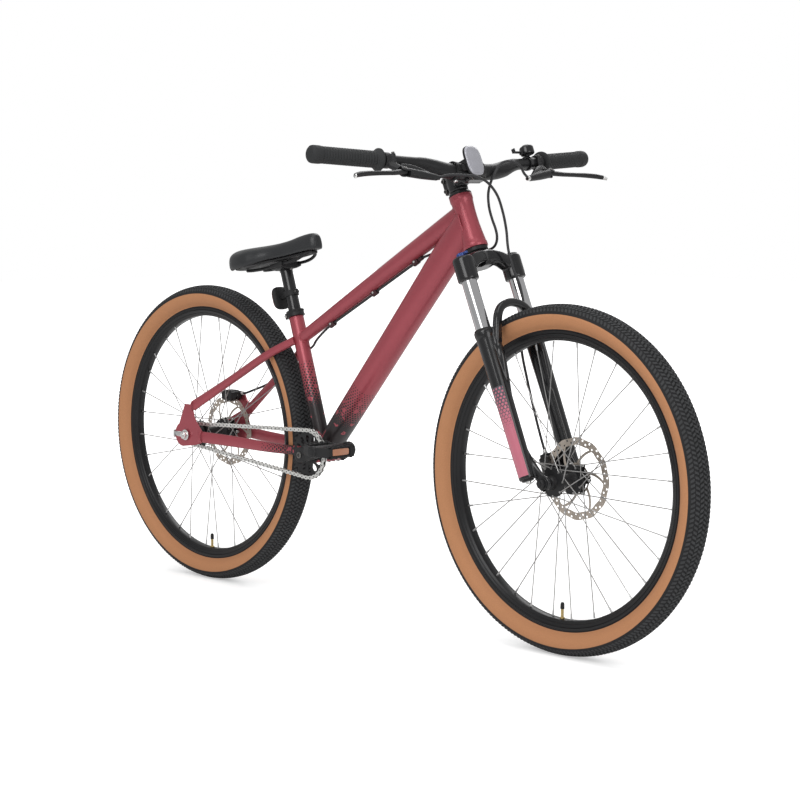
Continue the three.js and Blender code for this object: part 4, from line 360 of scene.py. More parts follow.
def remap(tree, value, low, high, to_low=0.0, to_high=1.0):
    """Carries a value between low and high, and no further, to the range of to_low to to_high."""
    return node(tree, "ShaderNodeMapRange", {"Value": value, "From Min": low, "From Max": high,
                                             "To Min": to_low, "To Max": to_high}).outputs[0]


def mixed(tree, factor, a, b):
    return node(tree, "ShaderNodeMix", {"Factor": factor, "A": a, "B": b},
                data_type="RGBA").outputs["Result"]


def grey(tree, value):
    return node(tree, "ShaderNodeCombineXYZ", {0: value, 1: value, 2: value}).outputs[0]


mottle, inside, outside = group("mottle", [
    ("Vector", "NodeSocketVector", (0, 0, 0)), ("Colour", "NodeSocketColor", (1, 1, 1, 1)),
    ("Roughness", "NodeSocketFloat", 0.5), ("Scale", "NodeSocketFloat", 20.0),
    ("Amount", "NodeSocketFloat", 0.15)],
    [("Colour", "NodeSocketColor"), ("Roughness", "NodeSocketFloat"), ("Grain", "NodeSocketFloat")])
cloud = noise(mottle, inside.outputs["Vector"], inside.outputs["Scale"], 4.0)
speck = noise(mottle, inside.outputs["Vector"], math_node(mottle, "MULTIPLY", inside.outputs["Scale"], 30.0))
swing = math_node(mottle, "MULTIPLY", math_node(mottle, "SUBTRACT", cloud, 0.5), inside.outputs["Amount"])
level = math_node(mottle, "ADD", 1.0, math_node(mottle, "MULTIPLY", swing, 2.5))
tint = vector_node(mottle, "MULTIPLY", inside.outputs["Colour"], grey(mottle, level))
mottle.links.new(tint, outside.inputs["Colour"])
mottle.links.new(math_node(mottle, "ADD", inside.outputs["Roughness"], swing), outside.inputs["Roughness"])
mottle.links.new(speck, outside.inputs["Grain"])

scuffs, inside, outside = group("scuffs", [
    ("Vector", "NodeSocketVector", (0, 0, 0)), ("Scale", "NodeSocketFloat", 60.0),
    ("Threshold", "NodeSocketFloat", 0.68)], [("Mask", "NodeSocketFloat")])
squeezed = vector_node(scuffs, "MULTIPLY", inside.outputs["Vector"], (0.25, 1.0, 3.0))
thin = noise(scuffs, squeezed, inside.outputs["Scale"], 6.0, 0.7)
scuffs.links.new(remap(scuffs, thin, inside.outputs["Threshold"], 0.85), outside.inputs["Mask"])


def finish(name, colour, roughness, metallic=0.0, scale=18.0, amount=0.15, bump=0.05, wear=0.72,
           worn=(0.35, 0.35, 0.34), coat=0.0, setup=None):
    """A material: base colour moved by mottle, lightened in the scuffs, with grain as bump. `setup`
    may change the colour and the height before they reach the shader."""
    material = bpy.data.materials.new(name)
    material.use_nodes = True
    tree = material.node_tree
    shader = tree.nodes["Principled BSDF"]
    place = node(tree, "ShaderNodeTexCoord").outputs["Object"]
    shade = node(tree, "ShaderNodeGroup", node_tree=mottle)
    for key, value in (("Colour", (*colour, 1)), ("Roughness", roughness), ("Scale", scale),
                       ("Amount", amount)):
        shade.inputs[key].default_value = value
    tree.links.new(place, shade.inputs["Vector"])
    marks = node(tree, "ShaderNodeGroup", node_tree=scuffs)
    marks.inputs["Threshold"].default_value = wear
    tree.links.new(place, marks.inputs["Vector"])
    colour_out, height, mask = shade.outputs["Colour"], shade.outputs["Grain"], marks.outputs["Mask"]
    if setup:
        colour_out, height = setup(tree, place, colour_out, height)
    mix = mixed(tree, math_node(tree, "MULTIPLY", mask, 0.35), colour_out, (*worn, 1))
    tree.links.new(mix, shader.inputs["Base Color"])
    rough = math_node(tree, "ADD", shade.outputs["Roughness"], math_node(tree, "MULTIPLY", mask, 0.2))
    tree.links.new(rough, shader.inputs["Roughness"])
    bumped = node(tree, "ShaderNodeBump", {"Strength": bump, "Distance": 0.0004, "Height": height})
    tree.links.new(bumped.outputs[0], shader.inputs["Normal"])
    shader.inputs["Metallic"].default_value = metallic
    shader.inputs["Coat Weight"].default_value = coat
    shader.inputs["Coat Roughness"].default_value = 0.08
    shader.inputs["Specular IOR Level"].default_value = 0.32 if max(colour) < 0.06 else 0.5
    return material


# %% [markdown]
# ## The plain finishes
# Most of the bicycle is black, but not the same black: the fork is glossy lacquer, the bar and
# stem are satin, the tyres and grips are rubber, and the saddle is a smooth synthetic leather.
# Metal parts differ in how much they blur what they mirror.

# %% Blacks, metals and plastics
gloss_black = finish("gloss_black_lacquer", (0.01, 0.01, 0.011), 0.2, 0.0, amount=0.08, bump=0.02, coat=0.35)
satin_black = finish("satin_black", (0.014, 0.014, 0.015), 0.42, 0.1, scale=35, amount=0.12, bump=0.06)
cast_black = finish("cast_black", (0.015, 0.015, 0.016), 0.45, 0.0, scale=60, amount=0.2, bump=0.25)
rim_black = finish("rim_black", (0.012, 0.012, 0.013), 0.33, 0.1, amount=0.1, bump=0.04, wear=0.66)
black_rubber = finish("black_rubber", (0.02, 0.02, 0.02), 0.75, scale=40, amount=0.2, bump=0.3, wear=0.8)
# The tread blocks are painted lighter than the same black rubber of the casing: a painted highlight on the
# block tops.
tread_rubber_painted_highlight = finish("tread_rubber_painted_highlight", (0.042, 0.043, 0.045), 0.8, scale=30, amount=0.3, bump=0.4,
                      wear=0.62, worn=(0.12, 0.115, 0.11))
hose_rubber = finish("hose_rubber", (0.03, 0.03, 0.032), 0.45, scale=50, amount=0.15, bump=0.1)
moulded_black = finish("moulded_black", (0.015, 0.015, 0.016), 0.55, scale=80, amount=0.15, bump=0.35)
bright_steel = finish("bright_steel", (0.72, 0.72, 0.71), 0.3, 0.9, scale=30, amount=0.12, bump=0.05)
spoke_steel = finish("spoke_steel", (0.36, 0.355, 0.35), 0.35, 0.8, scale=25, amount=0.1, bump=0.02)
chain_steel = finish("chain_steel", (0.72, 0.72, 0.7), 0.42, 0.75, scale=90, amount=0.2, bump=0.1)
dark_steel = finish("dark_steel", (0.16, 0.155, 0.15), 0.4, 0.9, scale=60, amount=0.25, bump=0.1)
chrome = finish("polished_chrome", (0.62, 0.62, 0.63), 0.07, 1.0, amount=0.04, bump=0.01, wear=0.83)
silver_alloy = finish("silver_alloy", (0.55, 0.55, 0.55), 0.38, 0.9, scale=40, amount=0.1, bump=0.08)
brass = finish("valve_brass", (0.5, 0.38, 0.17), 0.3, 1.0, scale=60, amount=0.15, bump=0.05)
blue_knob = finish("blue_anodised", (0.035, 0.07, 0.25), 0.4, 0.4, scale=50, amount=0.15, bump=0.05)
guide_plastic = finish("guide_plastic", (0.05, 0.018, 0.022), 0.5, scale=60, amount=0.15, bump=0.1)
print("materials:", len(bpy.data.materials))

# %% [markdown]
# ## Brake hoses
# Two hydraulic hoses leave the levers, loop in front of the head tube and end in the calipers.
# A hose is a tube of one thickness along a smooth line, stiff enough to hold its curve. The
# points repeat the CAD route, so the hoses pass through their guides and ports as the solids do.
# Each one crosses a joint, and stays in the world on no body.

# %% Hose routes and tubes
front_route = np.array([
    [.3191, -.128, .9054], [.3257, -.1, .9103], [.3356, -.075, .9102], [.3416, -.04, .9062],
    [.3418, -.012, .8955], [.3449, .01, .8729], [.3437, .028, .8398], [.3439, .038, .8062],
    [.3517, .036, .7671], [.364, .036, .7332], [.3795, .041, .6942], [.3888, .042, .6492],
    [.3806, .043, .6121], [.3829, .043, .5708], [.3971, .0435, .517], [.415, .044, .4593],
    [.4299, .046, .4114], [.4444, .046, .3748]]) * 1000
rear_route = np.array([
    [.3191, .128, .9054], [.3243, .1092, .9151], [.3259, .0969, .9279], [.3217, .0863, .9358],
    [.3158, .0763, .9385], [.3105, .0658, .9368], [.3072, .0555, .9297], [.3053, .0468, .9177],
    [.3003, .0407, .8995], [.2942, .0392, .8763], [.2963, .0394, .8486], [.3044, .04, .825],
    [.3119, .0412, .8076], [.3156, .0418, .7942], [.3152, .042, .7832], [.3111, .0416, .7742],
    [.3035, .0406, .7679], [.2931, .0391, .765], [.2803, .0372, .7661], [.2639, .0351, .77],
    [.2424, .0329, .7743], [.2135, .0278, .7695], [.17, .009, .7551], [.1466, 0, .7456],
    [.1327, 0, .7378], [.1187, 0, .7299], [.0257, 0, .6798], [.0117, 0, .672], [-.0022, 0, .6641],
    [-.1052, 0, .6088], [-.1192, 0, .601], [-.1331, 0, .5931], [-.1558, .003, .5791],
    [-.1829, .011, .563], [-.2059, .023, .5501], [-.228, .034, .542], [-.25, .044, .537],
    [-.275, .053, .533], [-.3029, .058, .523], [-.3341, .059, .498], [-.3761, .064, .4659],
    [-.42, .067, .446], [-.4561, .063, .4329], [-.478, .0588, .425], [-.4881, .0588, .4234],
    [-.5004, .0588, .4235]]) * 1000


def hose(name, route, count, stands_for):
    """A round tube of 5.2 mm along the route's spline, fixed in the world on no body."""
    line = spline(route, count)
    made = piece(name, [tube(line, 2.6, 2.6, 16, reference=np.array([0.3, 0.9, 0.3]))], hose_rubber,
                 None, stands_for, "rubber", crease=60)
    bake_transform(made)


hose("front_hose", front_route, 240, "front_brake_hose")
hose("rear_hose", rear_route, 420, "rear_brake_hose")

# %% [markdown]
# ## Floor, backdrop and light
# The bicycle stands on a plain pale floor in even studio light. One large soft lamp in front on
# the right models the tubes, a weaker one behind draws their upper edges, and the pale world
# fills the rest. The backdrop is fully white to the camera, and shines on the bicycle and in its
# mirrors at half that strength.

# %% Stage and lamps
world = bpy.data.worlds.new("studio")
scene.world = world
world.use_nodes = True
sky, paths = world.node_tree.nodes["Background"], node(world.node_tree, "ShaderNodeLightPath")
seen = math_node(world.node_tree, "MAXIMUM", paths.outputs["Is Camera Ray"],
                 paths.outputs["Is Transmission Ray"])
sky.inputs["Color"].default_value = (1, 1, 1, 1)
world.node_tree.links.new(math_node(world.node_tree, "MAXIMUM", 0.5, seen), sky.inputs["Strength"])

floor_paint = bpy.data.materials.new("floor_paper")
floor_paint.use_nodes = True
tree = floor_paint.node_tree
paper = tree.nodes["Principled BSDF"]
paper.inputs["Roughness"].default_value = 0.95
paper.inputs["Specular IOR Level"].default_value = 0.0
fibre = noise(tree, node(tree, "ShaderNodeTexCoord").outputs["Object"], 3.0)
tree.links.new(remap(tree, fibre, 0, 1, 0.88, 0.92), paper.inputs["Base Color"])
paper.inputs["Emission Color"].default_value = (1, 1, 1, 1)
rays = node(tree, "ShaderNodeLightPath")
away = vector_node(tree, "LENGTH", node(tree, "ShaderNodeTexCoord").outputs["Object"])
glow = remap(tree, away, 1.0, 4.0, 0.42, 1.0)
tree.links.new(math_node(tree, "MULTIPLY", rays.outputs["Is Camera Ray"], glow),
               paper.inputs["Emission Strength"])
edge = 14.0
sheet = bpy.data.meshes.new("floor")
sheet.from_pydata([(-edge, -edge, 0), (edge, -edge, 0), (edge, edge, 0), (-edge, edge, 0)], [],
                  [(0, 1, 2, 3)])
floor = bpy.data.objects.new("floor", sheet)
scene.collection.objects.link(floor)
floor.data.materials.append(floor_paint)
floor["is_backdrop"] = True


def lamp(name, place, target, size, power):
    """A square soft lamp at a place, turned to a target."""
    light = bpy.data.lights.new(name, "AREA")
    light.size, light.energy = size, power
    made = bpy.data.objects.new(name, light)
    scene.collection.objects.link(made)
    made.location = place
    made.rotation_euler = (Vector(target) - Vector(place)).to_track_quat("-Z", "Y").to_euler()
    return made


lamp("key", (1.2, -3.4, 2.9), (0, 0, 0.5), 2.2, 62)
lamp("fill", (3.6, -0.4, 1.6), (0, 0, 0.5), 1.8, 26)
lamp("rim", (-1.5, 2.8, 3.0), (0, 0, 0.6), 2.2, 42)
lamp("top", (0.2, -0.3, 3.6), (0, 0, 0.4), 2.5, 30)
print("stage set")

# %% [markdown]
# ## Plates with holes
# Discs, sprockets and drilled plates are sheets with openings. A filled 2D curve gives such a
# sheet at once: the first loop is the outline, and each loop inside it becomes a hole.

# %% Cut plates
def cutout(loops, depth, start, right, upward):
    """A sheet of the first loop less the others, pushed along its normal by depth."""
    curve = bpy.data.curves.new("cut", "CURVE")
    curve.dimensions, curve.fill_mode, curve.extrude = "2D", "BOTH", depth / 2
    for loop in loops:
        line = curve.splines.new("POLY")
        line.points.add(len(loop) - 1)
        line.points.foreach_set("co", np.c_[loop, np.zeros(len(loop)), np.ones(len(loop))].ravel())
        line.use_cyclic_u = True
    holder = bpy.data.objects.new("cut", curve)
    mesh = bpy.data.meshes.new_from_object(holder)
    work = bmesh.new()
    work.from_mesh(mesh)
    bmesh.ops.remove_doubles(work, verts=work.verts, dist=0.001)
    work.verts.index_update()
    flat = np.array([v.co for v in work.verts])
    faces = [[v.index for v in f.verts] for f in work.faces]
    work.free()
    bpy.data.objects.remove(holder)
    right, upward = unit(right), unit(upward)
    verts = (np.asarray(start) + flat[:, :1] * right + flat[:, 1:2] * upward
             + (flat[:, 2:] + depth / 2) * np.cross(right, upward))
    return verts, np.empty((0, 4), int), faces, np.empty((0, 4, 2))


def circle(radius, centre=(0, 0), count=24, phase=0.0):
    """Points round a circle: centre + radius (cos a, sin a)."""
    a = phase + 2 * math.pi * np.arange(count) / count
    return np.c_[centre[0] + radius * np.cos(a), centre[1] + radius * np.sin(a)]


def polar(radius, angle):
    return np.c_[radius * np.cos(angle), radius * np.sin(angle)]


# %% [markdown]
# ## Tyres
# A mountain bicycle tyre is a rubber tube over a tan casing. The tread is thick and black, the side
# wall shows the bare casing, and a dark strip covers the bead by the rim. The section is one
# smooth curve turned about the axle. On it stand rows of small slanted blocks, each row shifted by
# half a step, so that the slants join in waves.

# %% Casing and tread blocks
def srgb(r, g, b):
    """The linear colour of a picture's 0-255 values."""
    c = np.array([r, g, b]) / 255
    return tuple(np.where(c > 0.04045, ((c + 0.055) / 1.055) ** 2.4, c / 12.92))


def banded(centre, limits, colour):
    """A setup that paints a ring about the Y axis through a centre, between two radii."""
    def setup(tree, place, base, height):
        shifted = vector_node(tree, "SUBTRACT", place, tuple(centre * 0.001))
        radius = vector_node(tree, "LENGTH", vector_node(tree, "MULTIPLY", shifted, (1, 0, 1)))
        blur = 0.4 * 0.001
        inner, outer = (limit * 0.001 for limit in limits)
        inside = math_node(tree, "MULTIPLY", remap(tree, radius, inner - blur, inner + blur),
                           remap(tree, radius, outer + blur, outer - blur))
        cords = noise(tree, place, 500.0)
        shade = remap(tree, cords, 0, 1, 0.86, 1.1)
        tan = vector_node(tree, "MULTIPLY", grey(tree, shade), colour)
        return mixed(tree, inside, base, tan), height
    return setup


section = np.array([[280, 12.2], [286.6, 12.4], [291, 17.2], [297, 23.6], [304, 27.6], [311, 29],
                    [317.5, 28.4], [323, 25.6], [328, 20], [331, 12.5], [332.4, 5.5], [332.6, 0]])
section = spline(np.vstack([section, section[-2::-1] * [1, -1]]), 57)
spread = np.concatenate([[0], np.cumsum(np.linalg.norm(np.diff(section, axis=0), axis=1))])
spread -= spread[-1] / 2


TREAD_ROWS, TREAD_STEPS = 7, 230


def tread(centre, rows=TREAD_ROWS, steps=TREAD_STEPS, size=(8.5, 5.8), height=2.3):
    """Blocks on the crown. A corner lies s across and t round: the section gives radius and side
    for s, and the block's top stands off along the section's normal."""
    row, step = np.meshgrid(np.arange(rows), np.arange(steps), indexing="ij")
    s0 = (row - (rows - 1) / 2) * 8.8
    t0 = (step + 0.5 * (row % 2)) * 2 * math.pi / steps
    corner = np.array([(-1, -1), (1, -1), (1, 1), (-1, 1)])
    lift = np.array([-1.2, height])
    taper = np.array([1.0, 0.8])
    slant = np.where(row % 2, 1.0, -1.0)[..., None, None] * 1.9
    ds = corner[:, 0] * size[0] / 2 * taper[:, None]
    dt = corner[:, 1] * size[1] / 2 * taper[:, None] + slant * corner[:, 0]
    s = s0[..., None, None] + ds
    low = 1 - 0.45 * (abs(s0) / s0.max())[..., None, None] ** 2
    radius, side = (np.interp(s, spread, section[:, i]) for i in (0, 1))
    nr, ny = (np.interp(s, spread, np.gradient(section[:, i], spread)) for i in (1, 0))
    radius, side = radius - nr * lift[:, None] * low, side + ny * lift[:, None] * low
    t = t0[..., None, None] + dt / 335
    points = np.stack([radius * np.cos(t), side, radius * np.sin(t)], -1).reshape(-1, 8, 3) + centre
    face = np.array([(0, 1, 5, 4), (1, 2, 6, 5), (2, 3, 7, 6), (3, 0, 4, 7), (4, 5, 6, 7), (3, 2, 1, 0)])
    quads = (face[None] + 8 * np.arange(len(points))[:, None, None]).reshape(-1, 4)
    return points.reshape(-1, 3), quads, [], np.zeros((len(quads), 4, 2))


for wheel, centre in WHEELS:
    # The casing's black is painted darker than the tread's rubber: painted shade in the gaps between the
    # blocks.
    casing = finish(wheel + "_tyre_casing", (0.014, 0.014, 0.015), 0.7, scale=30, amount=0.18, bump=0.25,
                    wear=0.68, worn=(0.2, 0.17, 0.14),
                    setup=banded(centre, (287.6, 316.5), srgb(186, 131, 92)))
    hollow = np.vstack([section, section[::-6] * [1, 0.8] - [2.0, 0]])
    piece(wheel + "_tyre_casing", [turned(hollow, centre, ACROSS, 160, ring=True)], casing,
          wheel + "_wheel", wheel + "_tyre", "tyre")
    piece(wheel + "_tyre_tread", [tread(centre)], tread_rubber_painted_highlight, wheel + "_wheel", crease=20)
print("tread blocks per tyre:", TREAD_ROWS * TREAD_STEPS)

# %% [markdown]
# ## Rims, spokes and hubs
# The rim is an aluminium extrusion bent to a hoop, with two shallow grooves along each side. The
# 32 spokes leave the two hub flanges in turn, cross each other and end in nipples in the rim.
# Their places repeat the CAD layout. The valve stands in the gap at the bottom of the wheel.

# %% Hoops, spokes, hubs and valves
hoop = np.array([[279.5, 12.5], [285.2, 12.5], [285.5, 13.4], [284.8, 14.4], [280.2, 14.5], [279.4, 13.5],
                 [278.6, 14.4], [273.4, 12.8], [272.6, 11.6], [271.6, 12], [266.8, 9.2], [266, 8]])
hoop = np.vstack([hoop, hoop[::-1] * [1, -1]])
hubs = {"front": dict(right=-31, left=22, disc=36.8, end=50),
        "rear": dict(right=-30, left=34, disc=50.8, end=67.5)}

for wheel, centre in WHEELS:
    hub = hubs[wheel]
    body = wheel + "_wheel"
    piece(wheel + "_rim_hoop", [turned(hoop, centre, ACROSS, 160, ring=True)], rim_black, body,
          wheel + "_rim", crease=50)
    i = np.arange(32)
    at_rim = i / 32 * 2 * math.pi + math.pi / 32
    way = np.where(i // 2 % 2 == 0, 1, -1)
    at_hub = at_rim + way * math.radians(67.5)
    flange = np.where(i % 2 == 0, hub["right"], hub["left"])
    near = centre + np.c_[26 * np.cos(at_hub), flange + 2.2 * way, 26 * np.sin(at_hub)]
    seat = np.where(i % 2 == 0, -3.0, 3.0)
    far = centre + np.c_[268 * np.cos(at_rim), seat, 268 * np.sin(at_rim)]
    line = unit(far - near)
    spokes = [rod(a, b, 1.0, 8) for a, b in zip(near, far - line * 8)]
    spokes += [rod(a - 1.5 * w * ACROSS, a + 1.3 * w * ACROSS, 2.1, 10) for a, w in zip(near, way)]
    nipples = [rod(b - l * 14, b - l * 3, 1.7, 8, 2.1) for b, l in zip(far, line)]
    piece(wheel + "_spokes", spokes, spoke_steel, body)
    piece(wheel + "_nipples", nipples, silver_alloy, body)
    r, l, d, e = hub["right"], hub["left"], hub["disc"], hub["end"]
    start = [(9, -e), (9, -58), (13, -57.5), (13, -40), (17, -39)] if wheel == "rear" else [
        (9, -e), (9, r - 12), (12, r - 10), (14, r - 4)]
    shape = [(5.3, -e)] + start + [
        (20, r - 3), (28.4, r - 2), (29, r - 1.2), (29, r + 1.2), (28.4, r + 2), (19, r + 3.4), (15.5, r + 7),
        (13.6, r + 14), (13, (r + l) / 2), (13.6, l - 14), (15.5, l - 7), (19, l - 3.4), (28.4, l - 2),
        (29, l - 1.2), (29, l + 1.2), (28.4, l + 2), (24, l + 3), (22.6, l + 4.5), (22.4, d), (16.6, d),
        (16.6, d + 2.1), (14, d + 3.5), (9, d + 6), (9, e), (5.3, e)]
    piece(wheel + "_hub_shell", [turned(shape, centre, ACROSS, 64, ring=True)], satin_black, body,
          wheel + "_hub_and_spokes", "hub", crease=30)
    foot = centre - 266 * UP
    stem = [(2.7 + 0.35 * (k % 2), 1.0 * k) for k in range(0, 21)]
    piece(wheel + "_valve_stem",
          [turned(stem, foot, UP, 16), turned([(4.6, 0.2), (5, 1), (5, 2.4), (4.2, 3.2)], foot, UP, 12)],
          brass, body, wheel + "_valve", crease=60)
    piece(wheel + "_valve_cap",
          [turned([(3.5, 19), (4, 19.6), (3.9, 28), (3.2, 31), (1.8, 32)], foot, UP, 20)], moulded_black,
          body, (), "valve", crease=40)
print("spokes per wheel:", len(i))

# %% [markdown]
# ## Brake discs
# A disc is a stainless sheet, cut with a wavy edge and rows of holes that clean the pads. Thin
# slanted arms join the band to the middle, where a black carrier with six arms is bolted to the
# hub.

# %% Wavy discs on their carriers
disc_steel = finish("disc_steel", srgb(186, 176, 165), 0.42, 0.75, scale=70, amount=0.2, bump=0.12,
                    wear=0.62, worn=srgb(215, 210, 203))
turnings = 2 * math.pi * np.arange(240) / 240
edge_line = polar(79.1 + 0.9 * np.sign(np.cos(12 * turnings)) * abs(np.cos(12 * turnings)) ** 0.6, turnings)
windows = []
drop = np.linspace(64.5, 31, 8)
for k in range(6):
    first, second = (n * math.pi / 3 + 0.45 * (64.5 - drop) / 33.5 for n in (k, k + 1))
    one, two = polar(drop, first + 3.2 / drop), polar(drop[::-1], (second - 3.2 / drop)[::-1])
    top = np.unwrap([math.atan2(two[-1][1], two[-1][0]), math.atan2(one[0][1], one[0][0])])
    low_ends = np.unwrap([math.atan2(one[-1][1], one[-1][0]), math.atan2(two[0][1], two[0][0])])
    windows.append(np.vstack([one, polar(31, np.linspace(*low_ends, 6)[1:-1]), two,
                              polar(64.5 + 0.9 * np.cos(np.linspace(0, 4 * math.pi, 16)[1:-1]),
                                    np.linspace(*top, 16)[1:-1])]))
small = [circle(r, (c * math.cos(a), c * math.sin(a)), 10)
         for k in range(12) for r, c, a in ((2.1, 75, (k + 0.22) * math.pi / 6),
                                            (2.1, 69.5, (k + 0.45) * math.pi / 6),
                                            (2.1, 75, (k + 0.68) * math.pi / 6),
                                            (1.7, 68.8, (k + 0.95) * math.pi / 6))]
arms = polar(27 + 7 * np.clip(np.cos(6 * turnings), -0.4, 0.75), turnings)
for wheel, centre in WHEELS:
    face = centre + [0, hubs[wheel]["disc"] + 0.3, 0]
    piece(wheel + "_disc",
          [cutout([edge_line, circle(27, count=48)] + windows + small, -1.8, face, AHEAD, UP)], disc_steel,
          wheel + "_wheel", wheel + "_rotor", crease=30)
    carrier = cutout([arms, circle(17.2, count=36)], -3.6, face - [0, 0.9, 0], AHEAD, UP)
    piece(wheel + "_disc_carrier", [carrier], cast_black, wheel + "_wheel")
    turn_by = np.arange(6) * math.pi / 3 + 0.25
    heads = [bolt(face + [22 * math.cos(a), 2.6, 22 * math.sin(a)], ACROSS, 3.4, 2) for a in turn_by]
    heads += [bolt(face + [30.5 * math.cos(a), y, 30.5 * math.sin(a)], way, 3, 1.6) for a in turn_by - 0.25
              for y, way in ((2.6, ACROSS), (-0.8, -ACROSS))]
    piece(wheel + "_disc_bolts", heads, bright_steel, wheel + "_wheel")
print("disc holes:", len(small) + len(windows))

# %% [markdown]
# ## Frame
# The frame is welded from aluminium tubes: a flared head tube, a wide down tube, a sloping top
# tube and thin stays. Each tube's end is coped, which means cut to the curve of the tube it meets,
# and a rippled weld runs round the joint. The satin raspberry paint fades to black by growing
# dots at the foot of the down tube and of the seat tube.

# %% Paint with a dot fade
def honeycomb(tree, uv, pitch, offset=(0, 0)):
    """How far a place is from the nearest dot's centre, in pitches: the least distance to two
    lattices half a cell apart. An offset in whole cells keeps places below zero in the pattern."""
    cell = vector_node(tree, "MULTIPLY", uv, (1 / pitch, 1 / pitch / math.sqrt(3), 0))
    gaps = []
    for shift in (0.0, 0.5):
        moved = vector_node(tree, "ADD", cell, (shift + offset[0], shift + offset[1], 0))
        centred = vector_node(tree, "SUBTRACT", vector_node(tree, "FRACTION", moved), (0.5, 0.5, 0))
        gaps.append(vector_node(tree, "LENGTH",
                                vector_node(tree, "MULTIPLY", centred, (1, math.sqrt(3), 0))))
    return math_node(tree, "MINIMUM", *gaps)


def dotted(pitch, black, clear, floor=None):
    """A setup that paints black dots. They end at distance `clear` from the bottom bracket, where
    their radius is a fifth of the pitch, and cover all at `black`. Where a floor is given, the
    pattern is only beyond that distance. A few random cells have smaller dots."""
    def setup(tree, place, base, height):
        uv = node(tree, "ShaderNodeUVMap", uv_map="surface").outputs[0]
        gap = honeycomb(tree, uv, pitch)
        away = vector_node(tree, "LENGTH", vector_node(tree, "SUBTRACT", place, tuple(BRACKET * 0.001)))
        patch = node(tree, "ShaderNodeTexVoronoi", {"Vector": uv, "Scale": 120.0},
                     feature="F1").outputs["Color"]
        jump = math_node(tree, "MULTIPLY", math_node(tree, "GREATER_THAN", node(
            tree, "ShaderNodeSeparateXYZ", {0: patch}).outputs[0], 0.9), 0.35)
        size = math_node(tree, "SUBTRACT", remap(tree, away, clear, black, 0.2, 0.62), jump)
        ink = math_node(tree, "MULTIPLY", math_node(tree, "LESS_THAN", gap, size),
                        math_node(tree, "LESS_THAN", away, clear))
        if floor:
            ink = math_node(tree, "MULTIPLY", ink, math_node(tree, "GREATER_THAN", away, floor))
        return mixed(tree, math_node(tree, "MULTIPLY", ink, 0.99), base, (0.018, 0.016, 0.017, 1)), height
    return setup


def paint(name, setup=None):
    return finish(name, srgb(160, 70, 80), 0.36, 0.35, scale=9, amount=0.09, bump=0.03, wear=0.74,
                  worn=srgb(196, 130, 136), coat=0.12, setup=setup)


raspberry = paint("raspberry_paint")
faded = paint("raspberry_fading_to_black", dotted(0.0065, 0.08, 0.2))
speckled = paint("raspberry_with_dot_patch", dotted(0.0062, 0.045, 0.155, floor=0.072))


# %% [markdown]
# Coping is done with one formula: a point p moves along a direction d by the s that solves
# |(p + s d - base) x axis| = radius, the first place where it reaches a cylinder. A weld bead
# follows the same line, with a radius that swells at even steps, as a welder's stitches do.

# %% Coped ends and weld beads
def meet(points, direction, base, axis, radius):
    """Moves points along a direction onto a cylinder about an axis."""
    d, m = np.cross(direction, unit(axis)), np.cross(points - base, unit(axis))
    a, b, c = d @ d, 2 * m @ d, (m * m).sum(-1) - radius ** 2
    s = (-b - np.sqrt(np.maximum(b * b - 4 * a * c, 0))) / (2 * a)
    return points + s[:, None] * direction


def bead(line, radius=1.9, pitch=3.6, ring=True):
    """A weld along a line: a round section whose radius swells once in every pitch."""
    closed = np.vstack([line, line[:1]]) if ring else np.asarray(line)
    long = np.concatenate([[0], np.cumsum(np.linalg.norm(np.diff(closed, axis=0), axis=1))])
    s = np.linspace(0, long[-1], max(int(long[-1] / 0.9), 8), endpoint=not ring)
    at = np.stack([np.interp(s, long, closed[:, k]) for k in range(3)], 1)
    tangent = unit(np.roll(at, -1, 0) - np.roll(at, 1, 0)) if ring else unit(np.gradient(at, axis=0))
    side = unit(np.cross(tangent, at - at.mean(0) + 0.01))
    over = np.cross(tangent, side)
    swell = radius * (0.82 + 0.3 * abs(np.sin(math.pi * max(round(long[-1] / pitch), 1) * s / long[-1])))
    a = 2 * math.pi * np.arange(8) / 8
    return shell(at[:, None] + swell[:, None, None] * (np.cos(a)[None, :, None] * side[:, None]
                                                     + np.sin(a)[None, :, None] * over[:, None]), ring)


def coped_tube(path, across, up, starts=None, ends=None, cols=40, power=2.0):
    """A tube whose first and last rows lie on cylinders (base, axis, radius inside, radius at the
    weld). Returns the tube and the welds at its coped ends."""
    made = tube(path, across, up, cols, power=power)
    verts, welds = made[0], []
    path = np.asarray(path, float)
    for row, heading, other in ((slice(0, cols), unit(path[0] - path[1]), starts),
                                (slice(len(verts) - cols, None), unit(path[-1] - path[-2]), ends)):
        if other is None:
            continue
        base, axis, inside, outside = other
        welds.append(bead(meet(verts[row], heading, base, axis, outside)))
        verts[row] = meet(verts[row], heading, base, axis, inside)
    return made, welds


def along(start, end, shares):
    return np.asarray(start) + np.asarray(shares, float)[:, None] * (np.asarray(end) - start)


# %% Head tube, main tubes and shell
head_profile = [(18, 0), (24.5, 0), (25, 0.7), (25, 8), (24.1, 10), (23.2, 18), (21.9, 32), (20.9, 47),
                (20.5, 62), (20.6, 76), (21.2, 88), (21.9, 97.5), (22.8, 99.5), (23, 100.5), (23, 109.9),
                (22.5, 110.5), (18, 110.5)]
head_tube = turned(head_profile, HEAD, UPWARD, 64, ring=True)
in_head = (HEAD, UPWARD, 18.6, 21.0)
in_seat = (BRACKET, SEAT_UP, 14.6, 16.3)
in_shell = (BRACKET, ACROSS, 18.0, 20.8)

